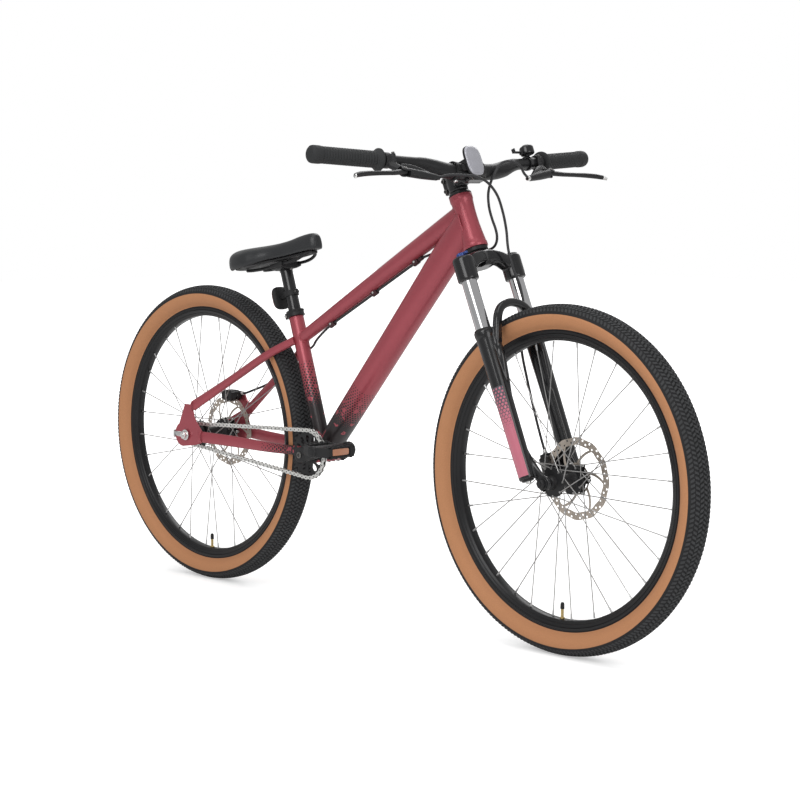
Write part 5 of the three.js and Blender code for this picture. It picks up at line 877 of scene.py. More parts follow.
cluster, neck = seat_at(250), steer([0, 0, 77])
share = np.linspace(0.06, 0.93, 30)
size = spline([[0, 12.5, 12.5], [0.5, 17, 17], [1, 17, 21]], 40)
top_tube, top_welds = coped_tube(along(cluster, neck, share), np.interp(share, size[:, 0], size[:, 1]),
                                 np.interp(share, size[:, 0], size[:, 2]), in_seat, in_head)
foot_line = steer([0, 0, 55])
share = np.linspace(0.075, 0.93, 34)
size = spline([[0, 25.5, 18], [0.16, 27.5, 25.5], [0.5, 27.5, 27.5], [0.84, 25.5, 31.5], [1, 20.2, 31.5]], 60)
down_tube, down_welds = coped_tube(along(BRACKET, foot_line, share), np.interp(share, size[:, 0], size[:, 1]),
                                   np.interp(share, size[:, 0], size[:, 2]), in_shell, in_head, power=2.25)
seat_profile = [(16, 30), (16, 299), (15.6, 300), (14.1, 300), (13.9, 299.5), (13.9, 146)]
seat_tube = turned(seat_profile, BRACKET, SEAT_UP, 48)
seat_weld = bead(meet(seat_tube[0][:48], -SEAT_UP, BRACKET, ACROSS, 20.8))
seat_tube[0][:48] = meet(seat_tube[0][:48], -SEAT_UP, BRACKET, ACROSS, 18.0)
shell_profile = [(17.3, -34), (20, -34), (20.5, -33.4), (20.5, 33.4), (20, 34), (17.3, 34)]
bracket_shell = turned(shell_profile, BRACKET, ACROSS, 56, ring=True)

# The top tube's underside is welded along the back of the down tube, one seam on each side.
run_top, run_down = unit(neck - cluster), unit(foot_line - BRACKET)
seams = []
for way in (-1, 1):
    a = np.radians(np.linspace(-62, 8, 16))
    side = way * np.cos(a)[:, None] * ACROSS * 17
    low = np.sin(a)[:, None] * np.cross(run_top, ACROSS) * 19.5
    ring_at = cluster + 0.72 * (neck - cluster) + side + low
    seam = meet(ring_at, run_top, BRACKET, run_down, 29.5)
    seams.append(bead(seam, 1.7, ring=False))
piece("head_and_top_tube", [head_tube, top_tube, bracket_shell], raspberry, "frame", "frame", crease=40)
piece("down_tube", [down_tube], faded, "frame", crease=40)
piece("seat_tube", [seat_tube], faded, "frame", crease=40)
print("main tubes done")

# %% [markdown]
# ### Rear end
# Thin stays join the seat tube and the bottom bracket to the two dropouts, plates whose slots
# open backwards so that the wheel can slide to tension the chain. The left seat stay carries the
# brake's mounting tab.

# %% Stays, dropouts, tab and guides
def stay(shares, sides, start, end, across, up, side, count=36, power=2.0):
    """A stay through side places at shares of a straight line, with its half sizes blended."""
    line = along(start, end, shares)
    line[:, 1] = side * np.asarray(sides, float)
    path = spline(line, count)
    t = np.linspace(0, len(shares) - 1, count)
    sizes = [np.interp(t, np.arange(len(shares)), s) for s in (across, up)]
    return tube(path, *sizes, 28, power=power)


def dropout(side):
    """A plate 6 mm thick: an arc round the axle's foot, a slot that opens backwards, and a neck
    up to the seat stay."""
    lower = polar(27, np.radians(np.linspace(285, 192, 14))) - [14, 0]
    hook = polar(5.35, np.radians(np.linspace(-90, 90, 9)))
    upper = polar(27, np.radians(np.linspace(168, 118, 8))) - [14, 0]
    neck_line = ([(-5, 70), (24, 70), (27.5, 54), (31, 42), (38, 32), (48, 22), (56, 14), (56, -14),
                  (30, -21)] if side < 0
                 else [(21, 46), (48, 46), (47, 36), (50, 26), (56, 14), (56, -14), (30, -21)])
    outline = np.vstack([lower, [(-40.4, -5.35)], hook, [(-40.4, 5.35)], upper, neck_line])
    return cutout([outline], -6, REAR_AXLE + [0, -74 if side < 0 else 68, 0], (1, 0, 0), (0, 0, 1))


rear_end, rear_welds = [], []
for side in (-1, 1):
    chain_stay = stay([0.085, 0.145, 0.26, 0.66, 0.89], [26, 33, 46, 57, 69], BRACKET, REAR_AXLE,
                      [7.5, 7, 7, 6.5, 5], [10, 10, 11.5, 12.5, 12.5], side, power=2.6)
    tip = REAR_AXLE + ([16, 0, 64] if side < 0 else [40, 0, 39])
    seat_stay = stay([0.012, 0.2, 0.54, 0.985], [15.5, 40, 51, 67], cluster, tip, [7.5, 9, 9, 5.2],
                     [9, 9, 9, 11.8], side)
    rear_end += [dropout(side), seat_stay]
    piece("chain_stay_right" if side < 0 else "chain_stay_left", [chain_stay],
          speckled if side < 0 else raspberry, "frame", (), "frame_paint", crease=40)
    a = np.linspace(2.2, 4.1, 20)
    ring = 20.8 * np.c_[np.cos(a), np.zeros(20), np.sin(a)]
    rear_welds.append(bead(BRACKET + ring + [0, side * 19, 0], 1.8, ring=False))
    rear_welds.append(bead(BRACKET + ring + [0, side * 33, 0], 1.6, ring=False))
    for x, z, half in ((54, 0, 11.5), (tip[0] + 533 + 6, tip[2] - 335 + 2, 10)):
        a = np.linspace(0, 2 * math.pi, 24, endpoint=False)
        loop = np.c_[np.full(24, x), side * 71 + 4.8 * np.cos(a), z + half * np.sin(a)]
        rear_welds.append(bead(REAR_AXLE + loop, 1.3))
# A yoke joins the chain stays to the shell.
rear_end += [tube(along(BRACKET, REAR_AXLE, [0.045, 0.08, 0.12]) + [0, s * 4, 0]
                  + np.outer([0, 1, 2], [0, s * 6, 0]),
                  [12, 11, 8.5], [10.5, 10.3, 10], 28, power=2.6) for s in (-1, 1)]
tab = rounded([(31, 39), (40, 30), (67, 57), (40, 73), (32, 91), (-12, 91), (-12, 73), (10, 66)], 6)
rear_end.append(plate(tab, -5.1, REAR_AXLE + [0, 68.9, 0], (1, 0, 0), (0, 0, 1)))
piece("rear_end", rear_end, raspberry, "frame", crease=40, bevel=0.6)
piece("frame_welds", top_welds + down_welds + [seat_weld] + seams + rear_welds, raspberry, "frame", crease=60)

guides, screws = [], []
drop_way = np.array([run_top[2], 0, -run_top[0]])
for share in (0.19, 0.455, 0.7):
    reach = np.interp(share, [0, 0.5, 1], [12.5, 17, 21])
    centre = cluster + share * (neck - cluster) + drop_way * (reach + 3.2)
    guides.append(turned([(3.15, -8), (5.6, -8), (6.2, -7), (6.2, 7), (5.6, 8), (3.15, 8)], centre, run_top,
                         24, ring=True))
    guides.append(box((13, 5.2, 11), centre - drop_way * 4.6, run_top, drop_way))
    screws += [bolt(centre + side * ACROSS * 6.0 - drop_way * 1.0, side * ACROSS, 2.4, 1.6)
               for side in (-1, 1)]
for at, way in ((23, 24), (37, 38)):
    heading = unit(rear_route[way] - rear_route[at])
    guides.append(turned([(2.9, -5), (4.6, -5), (4.6, 5), (2.9, 5)], rear_route[at], heading, 20, ring=True))
piece("hose_guides", guides, guide_plastic, "frame", crease=35, bevel=0.5)
piece("guide_screws", screws, bright_steel, "frame")
print("frame done")

# %% Chain tensioners in the dropout slots
for side, name in SIDES:
    middle = REAR_AXLE + [0, side * 71, 0]
    cap = [box((4.2, 17, 9), middle - [41.5, 0, 0]), box((22, 9.6, 4.4), middle - [29, 0, 0])]
    piece("tensioner_" + name, cap, silver_alloy, "frame", (), "steel", bevel=1.0)

# %% [markdown]
# ## Castings
# The fork's crown and lowers, the calipers and the levers' bodies are cast or forged, so their
# parts flow into each other. Rough shells are put together and fused on a fine grid of voxels,
# and the grid is smoothed, which rounds every inner and outer corner. Bores are cut afterwards,
# so they stay sharp.

# %% Fused pieces
def cast(name, shells, material, body, stands_for=(), slot=None, voxel=1.6, smooth=5, bores=(), crease=50):
    """Fuses rough shells into one rounded body and cuts the bores out of it."""
    rough = piece(name + "_rough", shells, material, None)
    fuse = rough.modifiers.new("fuse", "REMESH")
    fuse.mode, fuse.voxel_size = "VOXEL", voxel * 0.001
    soften = rough.modifiers.new("soften", "SMOOTH")
    soften.iterations, soften.factor = smooth, 0.5
    cutters = [piece(name + "_bore", [bore], material, None) for bore in bores]
    for cutter in cutters:
        sink = rough.modifiers.new("bores", "BOOLEAN")
        sink.operation, sink.object, sink.solver = "DIFFERENCE", cutter, "EXACT"
    bpy.context.view_layer.update()
    mesh = bpy.data.meshes.new_from_object(rough.evaluated_get(bpy.context.evaluated_depsgraph_get()))
    mesh.name = name
    for old in [rough] + cutters:
        bpy.data.objects.remove(old)
    return settle(name, mesh, body, stands_for, slot, crease)


def upright(p, profile, cols=48, ring=False):
    """A profile turned about the steering frame's up direction, through a point of that frame."""
    return turned(profile, steer(p), UPWARD, cols, ring)


LEG_AHEAD, LEG_OUT = 18.5, 66


def on_leg(side):
    """A fork leg's middle line in the steering frame, at the height of the head tube's foot."""
    return [LEG_AHEAD, side * LEG_OUT, 0]


def bent(points, across, up, count=40, cols=28, power=2.0, reference=FORWARD):
    """A tube through points of the steering frame. Sizes are given at the points."""
    path = spline(steer(points), count)
    t = np.linspace(0, len(points) - 1, count)
    sizes = [np.interp(t, np.arange(len(points)), s) for s in (across, up)]
    return tube(path, *sizes, cols, reference, power)


# %% [markdown]
# ## Suspension fork
# A forged crown holds the steerer and two chromed stanchions. The lowers, one magnesium casting of
# two legs and an arch, slide on them. The arch stands in front of the stanchions and its foot runs
# down each leg as a rib. The right leg carries a panel of dots that grow to solid dusty pink.

# %% Crown, stanchions and knob
arms = [bent([[17, -66, -46], [18, -52, -39], [18, -36, -30], [16, -16, -25], [13, 0, -24], [16, 16, -25],
              [18, 36, -30], [18, 52, -39], [17, 66, -46]], [14.5] * 9,
             [15, 15, 13.5, 13, 14, 13, 13.5, 15, 15], power=3.0)]
boss = upright([0, 0, 0], [(19, -42), (23.5, -40.5), (24, -37), (22.6, -14), (22, -8.4)])
cups = [upright(on_leg(s), [(18.6, -74), (20.6, -73), (21, -71), (21, -30), (20, -27), (17.5, -24.6)])
        for s in (-1, 1)]
hollow = [bent([[17, s * 9, -43], [18, s * 24, -44], [18, s * 40, -55]], [8.5, 9, 8], [9, 10, 8], 16,
               power=3.0) for s in (-1, 1)]
bores = [upright(on_leg(s), [(15.25, -80), (15.25, -29.6)]) for s in (-1, 1)]
cast("crown_forging", arms + [boss] + cups, gloss_black, "fork", "fork_crown", "black_metal", 1.5, 5,
     bores + hollow)
piece("steerer", [upright([0, 0, 0], [(14.3, -20), (14.3, 160.2), (13.4, 160.4)])], dark_steel, "fork", (),
      "black_metal")
for side, name in SIDES:
    piece("stanchion_tube_" + name,
          [upright(on_leg(side), [(14.2, -300), (15, -299), (15, -30.2), (14.6, -30)], 64)], chrome, "fork",
          "stanchion_" + name)
piece("left_cup_cap",
      [upright(on_leg(1), [(17, -25), (17, -23.4), (15.6, -22.4), (15, -22.4), (14.4, -23.2), (6, -23.2)])],
      satin_black, "fork")
flute = 2 * math.pi * np.arange(72) / 72
grip_ring = polar(9.6 + 0.4 * np.sign(np.sin(12 * flute)) * abs(np.sin(12 * flute)) ** 0.5, flute)
lever = rounded([(0, -5), (12, -4), (17, -2.4), (17, 2.4), (12, 4), (0, 5)], 1.6)
piece("preload_dial", [plate(grip_ring, 6.6, steer([18.5, -66, -24.2]), FORWARD, ACROSS),
                       upright(on_leg(-1), [(9, -17.8), (8.2, -16.6), (5, -16.2)]),
                       plate(lever, 4.6, steer([18.5, -66, -21.6]), FORWARD, ACROSS)], blue_knob, "knob",
      "preload_knob", bevel=0.5)

# %% Dot panel of the right leg
PANEL_TOP, PANEL_FULL, PANEL_FOOT = -0.289, -0.393, -0.467  # heights in the steering frame


def leg_panel(tree, place, base, height):
    """Around the leg u = angle x radius, along it v. Inside the panel pink dots grow downwards on
    grey, until they cover it."""
    local = vector_node(tree, "SUBTRACT", place, tuple(HEAD * 0.001))
    ahead, level = (
        math_node(tree, "SUBTRACT", node(tree, "ShaderNodeVectorMath", {0: local, 1: tuple(axis)},
                                         operation="DOT_PRODUCT").outputs["Value"], at)
        for axis, at in ((FORWARD, LEG_AHEAD / 1000), (UPWARD, 0.0)))
    across = node(tree, "ShaderNodeSeparateXYZ", {0: place}).outputs["Y"]
    out = math_node(tree, "SUBTRACT", -LEG_OUT / 1000, across)
    angle = math_node(tree, "ARCTAN2", ahead, out)
    around = math_node(tree, "MULTIPLY", angle, 0.0172)
    uv = node(tree, "ShaderNodeCombineXYZ", {0: around, 1: level}).outputs[0]
    gap = honeycomb(tree, uv, 0.0072, (50, 90))
    size = remap(tree, level, PANEL_TOP, PANEL_FULL, 0.25, 0.6)
    blot = node(tree, "ShaderNodeTexVoronoi", {"Vector": uv, "Scale": 75.0}, feature="F1").outputs["Color"]
    dark = math_node(tree, "GREATER_THAN", node(tree, "ShaderNodeSeparateXYZ", {0: blot}).outputs[0], 0.72)
    ground = mixed(tree, dark, (*srgb(84, 80, 88), 1), (*srgb(58, 55, 60), 1))
    dots = mixed(tree, math_node(tree, "LESS_THAN", gap, size), ground, (*srgb(190, 110, 126), 1))
    reach = math_node(tree, "LESS_THAN", math_node(tree, "ABSOLUTE", angle), 1.0)
    for test, limit in (("LESS_THAN", PANEL_TOP), ("GREATER_THAN", PANEL_FOOT)):
        reach = math_node(tree, "MULTIPLY", reach, math_node(tree, test, level, limit))
    reach = math_node(tree, "MULTIPLY", reach,
                      math_node(tree, "LESS_THAN", math_node(tree, "ABSOLUTE", out), 0.03))
    return mixed(tree, reach, base, dots), height


fork_lacquer = finish("fork_lacquer_with_panel", (0.01, 0.01, 0.011), 0.2, 0.0, amount=0.08, bump=0.02,
                      coat=0.35, setup=leg_panel)

# %% Lowers with arch, dropouts and brake tab
shells, bores = [], []
for side in (-1, 1):
    at = on_leg(side)
    shells.append(upright(at, [(12, -474), (15.4, -473.6), (16.2, -471), (16.2, -455), (16.6, -400),
                               (17.4, -300), (18.2, -215),
                               (18.8, -190), (20, -186), (20.2, -178), (19.6, -175.5)]))
    shells.append(bent([[34, side * 56.5, -196], [35, side * 57, -225], [31.5, side * 58, -262],
                        [27.5, side * 60, -310], [24, side * 63, -350]], [8, 9.5, 8.5, 6, 3],
                       [8, 9, 8.5, 7, 4]))
    shells.append(bent([[20, side * 61, -418], [27, side * 58, -442], [36, side * 55.6, -466],
                        [45, side * 55.2, -487]], [12, 10.5, 9.5, 12], [6.5, 5, 4.6, 4.6], power=2.6,
                       reference=UPWARD))
    shells.append(turned([(11, -4.7), (14.6, -4.5), (15, -3.5), (15, 3.5), (14.6, 4.5), (11, 4.7)],
                         steer([FORK_OFFSET, side * 55.2, -FORK_LENGTH]), ACROSS, 40))
    bores.append(upright(at, [(15.25, -402), (15.25, -160)]))
    bores.append(turned([(5.3, -12), (5.3, 12)], steer([FORK_OFFSET, side * 55.2, -FORK_LENGTH]), ACROSS, 24))
    bores.append(box((10.6, 24, 24), steer([46, side * 55.2, -503]), FORWARD, UPWARD))
arch = [[30, -60, -222], [38, -56, -196], [43.5, -50, -168], [45.5, -42, -150], [46, -30, -138],
        [46.5, -15, -132], [46.5, 0, -130]]
arch += [[x, -y, z] for x, y, z in arch[-2::-1]]
shells.append(bent(arch, [8] * 13, [9, 9, 8.6, 8.2, 8, 8, 8, 8, 8, 8.2, 8.6, 9, 9], 90, power=2.8))
shells.append(box((34, 46, 7), steer([-11, 58.2, -442]), FORWARD, UPWARD))
cast("lowers_casting", shells, fork_lacquer, "lowers", "fork_lowers", "black_metal", 1.5, 4, bores)
wipers = [upright(on_leg(s), [(15.2, -176), (18.6, -176), (18.4, -173.4), (17, -172), (15.2, -172.4)],
                  ring=True) for s in (-1, 1)]
piece("dust_wipers", wipers, black_rubber, "lowers")
feet = [upright(on_leg(s), [(9, -477), (11.5, -476.4), (12.5, -473)]) for s in (-1, 1)]
piece("leg_foot_rings", feet, satin_black, "lowers")
piece("leg_foot_bolts", [bolt(steer([18.5, s * 66, -477]), -UPWARD, 5.2, 4) for s in (-1, 1)], bright_steel,
      "lowers")


# %% [markdown]
# ### Axles and calipers
# Each wheel is held by an axle with a washer and a six-sided nut on both sides, black in front and
# bright steel at the rear. The calipers straddle the discs. Each is a small casting with two
# round piston housings, a bridge, two mounting bolts and a bright fitting for the hose.

# %% Axles and nuts
def axle(name, centre, outer, nut_material, body):
    shells = [rod(centre - [0, outer + 12, 0], centre + [0, outer + 12, 0], 4.95, 24)]
    washers = []
    for side in (-1, 1):
        seat = centre + [0, side * (outer + 0.3), 0]
        washers.append(turned([(5.2, 0), (11.8, 0), (12, 0.4), (12, 1.5), (11.6, 1.8), (5.2, 1.8)], seat,
                              side * ACROSS, 40, ring=True))
        corners = rounded(circle(9.6, count=6), 2.2, 3)
        shells.append(plate(corners, side * 6.2, seat + [0, side * 1.8, 0], AHEAD, -UP))
        shells.append(turned([(8.2, 7.8), (6.6, 9.3), (4.2, 9.6)], seat, side * ACROSS, 24))
    piece(name + "_nuts", shells, nut_material, body, name, "steel", bevel=0.5)
    piece(name + "_washers", washers, nut_material, body, (), "steel")


axle("front_axle", FRONT_AXLE, 60, cast_black, "lowers")
axle("rear_axle", REAR_AXLE, 74, bright_steel, "frame")


# %% Calipers
def caliper(name, centre, right, upward, size, disc_centre, disc_y, body, port, port_way, mounts):
    """Two piston housings on either side of the disc, a bridge over its edge, and mounting ears.
    Size is (along right, along upward, across)."""
    w, h, d = size
    away = unit(centre - disc_centre) * [1, 0, 1]
    shells = [box((w * 0.84, h * 0.7, d * 0.98), centre, right, upward),
              box((w * 0.6, h * 0.98, d * 0.8), centre, right, upward)]
    for side in (-1, 1):
        shells.append(turned([(7, 0), (11, 1), (11.4, 3), (11.4, 9)], centre + [0, side * d * 0.5, 0]
                             - away * 2, -side * ACROSS, 32))
    shells += [rod(p - 5 * ACROSS, p + 5 * ACROSS, 6.6, 24) for p in mounts]
    shells.append(rod(port - port_way * 10, port + port_way * 1, 5.0, 20))
    slot_cut = turned([(84, -1.7), (84, 1.7)], np.array([disc_centre[0], disc_y, disc_centre[2]]), ACROSS, 96)
    cast(name + "_body", shells, cast_black, body, name, "black_metal", 1.3, 4, [slot_cut])
    bolts = [bolt(centre + [0, side * d * 0.5, 0] - away * 2, side * ACROSS, 5, 1.4) for side in (-1, 1)]
    bolts += [bolt(p + side * 5 * ACROSS, side * ACROSS, 3.6, 3) for p in mounts for side in (-1, 1)]
    piece(name + "_bolts", bolts, dark_steel, body)
    fitting = [turned([(2.8, 0), (4.1, 0), (4.3, 0.8), (4.3, 4.5), (3.7, 5.4), (3.7, 7.6), (2.8, 8)], port,
                      port_way, 20, ring=True)]
    piece(name + "_ferrule", fitting, bright_steel, body)


middle = steer([-15, 40.6, -445])
caliper("front_caliper", middle, FORWARD, UPWARD, (26, 48, 26), FRONT_AXLE, 38, "lowers",
        front_route[-1], UPWARD, [steer([-22, 48, -424]), steer([-22, 48, -466])])
caliper("rear_caliper", REAR_AXLE + [10, 52, 82], AHEAD, UP, (43, 25, 31), REAR_AXLE, 52.0, "frame",
        rear_route[-1] + [6, 0, 0], AHEAD, [REAR_AXLE + [-9, 62, 86], REAR_AXLE + [26, 62, 84]])
print("fork done")

# %% [markdown]
# ## Handlebar, stem and grips
# The bar is one aluminium tube, thick in the middle and thin at the ends, bent upwards and back.
# A short stem clamps it with a face plate and four bolts, and grips the steerer with two bolts at
# the back. The rubber grips have ribs, a flange towards the lever and a thicker closed end.

# %% Bar, stem, headset and grips
bar_line = np.array([[17, -376, 186.8], [25, -300, 178.4], [33, -224, 170], [38.4, -173, 164.2],
                     [43.2, -128, 158.6], [45, -84, 146.6], [45, -58, 142.6], [45, 0, 142.6]])
bar_line = np.vstack([bar_line, bar_line[-2::-1] * [1, -1, 1]])
outwards = unit(bar_line[-1] - bar_line[-3])


def on_bar(y, side=1):
    """The bar's centre in the steering frame at a distance from the middle."""
    half = bar_line[7:]
    return np.array([np.interp(y, half[:, 1], half[:, 0]), side * y, np.interp(y, half[:, 1], half[:, 2])])


half_sizes = [11.1] * 5 + [15.9] * 3
piece("bar_tube",
      [bent(bar_line, half_sizes + half_sizes[-2::-1], half_sizes + half_sizes[-2::-1], 150, 40)],
      satin_black, "fork", "handlebar")

clamp_at = steer([45, 0, 142.6])
clamp_barrel = turned([(19, -23), (21, -22.4), (21.5, -21), (21.5, 21), (21, 22.4), (19, 23)], clamp_at,
                      ACROSS, 56)
bar_bore = turned([(16.3, -40), (16.3, 40)], clamp_at, ACROSS, 64)
stem_shells = [upright([0, 0, 0],
                       [(17.5, 118.8), (19.3, 119.8), (19.5, 122), (19.5, 158), (19.2, 160), (17.6, 161)]),
               box((40, 28, 31), steer([24, 0, 142.6]), FORWARD, UPWARD),
               box((30, 36, 19), steer([-14, 0, 140]), FORWARD, UPWARD), clamp_barrel,
               box((20, 44, 45), steer([47, 0, 142.6]), FORWARD, UPWARD)]
cast("stem_body", stem_shells, gloss_black, "fork", "stem", "black_metal", 1.4, 4, [
    upright([0, 0, 0], [(14.55, 100), (14.55, 180)], 64), bar_bore,
    box((60, 80, 80), steer([74, 0, 142.6]), FORWARD, UPWARD),
    box((30, 60, 2.2), steer([-28, 0, 140]), FORWARD, UPWARD)])
cast("stem_cap_plate", [clamp_barrel, box((24, 44, 45), clamp_at, FORWARD, UPWARD)], gloss_black, "fork",
     "stem_faceplate", "black_metal", 1.3, 3, [bar_bore,
                                               box((60, 80, 80), steer([16, 0, 142.6]), FORWARD, UPWARD),
                                               box((30, 22, 12), steer([64, 0, 142.6]), FORWARD, UPWARD)])
stem_bolts = [bolt(steer([56.5, y, 142.6 + z]), FORWARD, 4.2, 3.4) for y in (-15, 15) for z in (-18, 18)]
stem_bolts += [bolt(steer([-23.5, -10, z]), -ACROSS, 4.2, 3.2) for z in (129.4, 150.4)]
piece("stem_bolts", stem_bolts, dark_steel, "fork")
piece("top_cap_disc",
      [upright([0, 0, 0], [(15.5, 161.3), (17, 161.6), (17, 164), (16.2, 165), (13, 165.3), (6, 165.3)])],
      satin_black, "fork", "headset_top_cap")
piece("top_cap_bolt", [bolt(steer([0, 0, 165.2]), UPWARD, 4.4, 1.6)], bright_steel, "fork")
piece("lower_headset_ring", [upright([0, 0, 0], [(14.7, -8), (22.2, -8), (23, -7.2), (23, -1), (22.5, -0.4),
                                                 (17.6, -0.4), (17.6, 12), (14.7, 12)], 56, ring=True)],
      satin_black, "frame", "headset_lower_cup")
piece("upper_headset_ring", [upright([0, 0, 110.5], [(14.7, -12), (17.6, -12), (17.6, 0.3), (22.4, 0.3),
                                                     (23, 0.9), (22.9, 2.8), (21, 4.6), (19.4, 7.4),
                                                     (18.6, 7.9), (14.7, 7.9)], 56, ring=True)],
      satin_black, "frame", "headset_upper_cup")

ribs = [p for k in range(19) for p in ((15.3, 14 + 6.3 * k), (16.1, 14.7 + 6.3 * k),
                                       (16.25, 16.6 + 6.3 * k), (16.1, 18.6 + 6.3 * k),
                                       (15.3, 19.4 + 6.3 * k))]
grip = [(11.4, 154), (11.4, 0), (21, 0), (21.9, 0.7), (22, 3.6), (21, 5.4), (18.6, 8), (16.8, 11)] + ribs
grip += [(15.5, 134), (16.9, 135), (17.1, 138), (17.1, 150), (16.3, 154), (13.6, 156.8), (9, 157.8), (4, 158)]
soft_grip = finish("grip_rubber", (0.024, 0.025, 0.026), 0.68, scale=60, amount=0.15, bump=0.2, wear=0.8)
for side, name in SIDES:
    piece("grip_sleeve_" + name,
          [turned(grip, steer(on_bar(226, side)), turn(outwards * [1, side, 1]), 48)], soft_grip, "fork",
          "grip_" + name, crease=45)
print("bar and stem done")

# %% [markdown]
# ## Brake levers
# Each lever holder is a casting: a ring round the bar, a long pump cylinder that points inwards
# with the hose at its end, and a fork for the blade's pivot. The blade is a curved bar of black
# metal with a short bright tip.

# %% Lever holders and blades
lean = math.radians(43)
to_bar = np.array([-math.sin(lean), 0, math.cos(lean)])
for side, name in SIDES:
    out = np.array([0.0, side, 0])
    pin_axis = turn(np.cross(out, to_bar))
    X, Y = turn(out), turn(to_bar)
    pivot = steer([66, side * 205, 132])
    mirror = np.array([1, side, 1])
    ring_at = steer(on_bar(212, side))
    axis = turn(outwards * mirror)
    port = steer([72, side * 130, 118])
    line_in = unit(port - pivot)
    shells = [turned([(13.6, -7), (15.2, -6.2), (15.5, -5), (15.5, 5), (15.2, 6.2), (13.6, 7)], ring_at,
                     axis, 48),
              turned([(6.4, -8.3), (7.4, -7.6), (7.4, 7.6), (6.4, 8.3)], pivot, pin_axis, 32),
              bent(np.array([[41, 210, 158], [50, 204, 147], [60, 199, 136]]) * mirror, [7.5, 7.5, 7.5],
                   [9, 8, 8], 14),
              turned([(6, -6), (8.4, -3), (8.7, 6), (8.2, 36), (7, 56), (6.2, 66), (5.9, 72)],
                     steer([67, side * 200, 130.5]), line_in, 32),
              bent(np.array([[52, 196, 147], [58, 182, 142], [65, 164, 134], [70, 146, 124.5]]) * mirror,
                   [6, 7, 6, 4.2], [7.5, 8, 6.4, 4.2], 20, power=3.0),
              rod(steer([50, side * 203, 176]), steer([46, side * 203, 146]), 4.6, 16)]
    bores = [turned([(11.5, -40), (11.5, 40)], ring_at, axis, 40),
             box((35, 34, 10.8), pivot + X * 8.6 - Y * 3.5, X, Y),
             rod(steer([45, side * 193, 140]), steer([80, side * 193, 148]), 2.6, 12)]
    cast("lever_holder_" + name, shells, cast_black, "fork", "brake_lever_body_" + name, "black_metal", 1.2,
         3, bores)
    heads = [bolt(pivot + pin_axis * 8 * w, pin_axis * w, 3.4, 1.6) for w in (-1, 1)]
    heads.append(bolt(steer([50.2, side * 203, 176.6]), turn([0.13, 0, 0.99]), 3.2, 2.4))
    piece("lever_bolts_" + name, heads, dark_steel, "fork")
    nut = turned([(2.85, -9), (5, -9), (5.2, -8), (5.2, 2), (4.4, 3), (4.0, 7), (2.85, 7)], port, line_in,
                 24, ring=True)
    piece("hose_nut_" + name, [nut], satin_black if side < 0 else bright_steel, "fork", (), "steel",
          crease=40)
    middle = np.array([[-3, 0], [12, -1.8], [35, -5.8], [70, -7.8], [100, -10], [126, -14.5], [141, -20]])
    path = spline(pivot + middle[:, :1] * X + middle[:, 1:] * Y, 60)
    t = np.linspace(0, 6, 60)
    wide = np.interp(t, range(7), [6.2, 5.6, 4.2, 3.7, 4.0, 4.4, 3.4])
    thick = np.interp(t, range(7), [4.6, 4.6, 4.1, 4.2, 4.6, 4.8, 4.3])
    piece("lever_blade_" + name, [tube(path, wide, thick, 28, Y, 2.8)], satin_black, name + "_lever",
          "brake_lever_" + name, crease=50)
    tip = pivot + np.array([[138, -19], [143, -22], [146, -27]])[:, :1] * X + np.array(
        [[-19], [-22.5], [-28]]) * Y
    piece("lever_tip_" + name, [tube(tip, [2.2, 2.3, 1.6], [4.2, 4, 3.2], 16, Y, 2.6)], bright_steel,
          name + "_lever")
print("levers done")

# %% [markdown]
# ## Bell and front reflector
# The bell is a black dome over a ring on the left of the bar, with a small sprung thumb lever. The
# reflector is a clear prism plate in a dark tray, on a bracket that grips the bar.

# %% Bell
at = on_bar(178)
dome_at = [at[0] + 9, 178, 180]
dome = [(11.6, 0), (13.9, 0.8), (14.4, 2.5), (14.5, 5), (14.5, 13.4), (14, 15.4), (12.4, 17.4), (9.4, 18.6),
        (8.6, 18.7), (8.2, 19.5), (7.4, 20), (3, 20)]
bell_shells = [turned(dome, steer(dome_at), UPWARD, 56),
               turned([(11.5, -4.5), (14, -4.5), (14.5, -4), (14.5, 4), (14, 4.5), (11.5, 4.5)], steer(at),
                      turn(outwards), 40, ring=True),
               upright([at[0] + 5, 178, 0], [(5.5, at[2] + 11.6), (5, at[2] + 14), (6, 180.4)]),
               box((7, 22, 3), steer([dome_at[0], 167.4, 181.6]), FORWARD, ACROSS)]
piece("bell_dome", bell_shells, gloss_black, "fork", "bell_body", bevel=0.4)
pin_at = np.array([dome_at[0], 178 - 14.5 - 5, 183.3])
thumb = [box((7, 24, 2.8), steer(pin_at + [0, -8.8, 1.5]), FORWARD, ACROSS),
         box((8.2, 3, 9), steer(pin_at + [0, -20.4, 4.6]), FORWARD, ACROSS),
         upright(pin_at * [1, 1, 0], [(3.2, 184.9), (3.2, 186.6), (2.4, 187.2)], 20)]
piece("bell_thumb_lever", thumb, moulded_black, "bell_thumb", "bell_lever", "steel", bevel=0.8)

# %% Front reflector
def prism(tree, place, base, height):
    """Rows of tiny pyramids: the height is the larger of two triangle waves at 60 degrees. The colour
    is painted lighter on their tops and darker in the hollows: painted highlight and painted shade.
    """
    rows = [math_node(tree, "PINGPONG", node(tree, "ShaderNodeVectorMath", {0: place, 1: way},
                                             operation="DOT_PRODUCT").outputs["Value"], 0.0013)
            for way in ((0.2, 1.0, 0.1), (0.1, -0.5, 0.86), (0.1, 0.5, 0.86))]
    tall = math_node(tree, "MULTIPLY",
                     math_node(tree, "MAXIMUM", rows[0], math_node(tree, "MAXIMUM", rows[1], rows[2])),
                     700.0)
    # Painted highlight on the pyramid tops and painted shade in the hollows between them.
    shade = remap(tree, tall, 0, 1, 0.72, 1.12)
    painted_facet_light = grey(tree, shade)
    return vector_node(tree, "MULTIPLY", base, painted_facet_light), tall


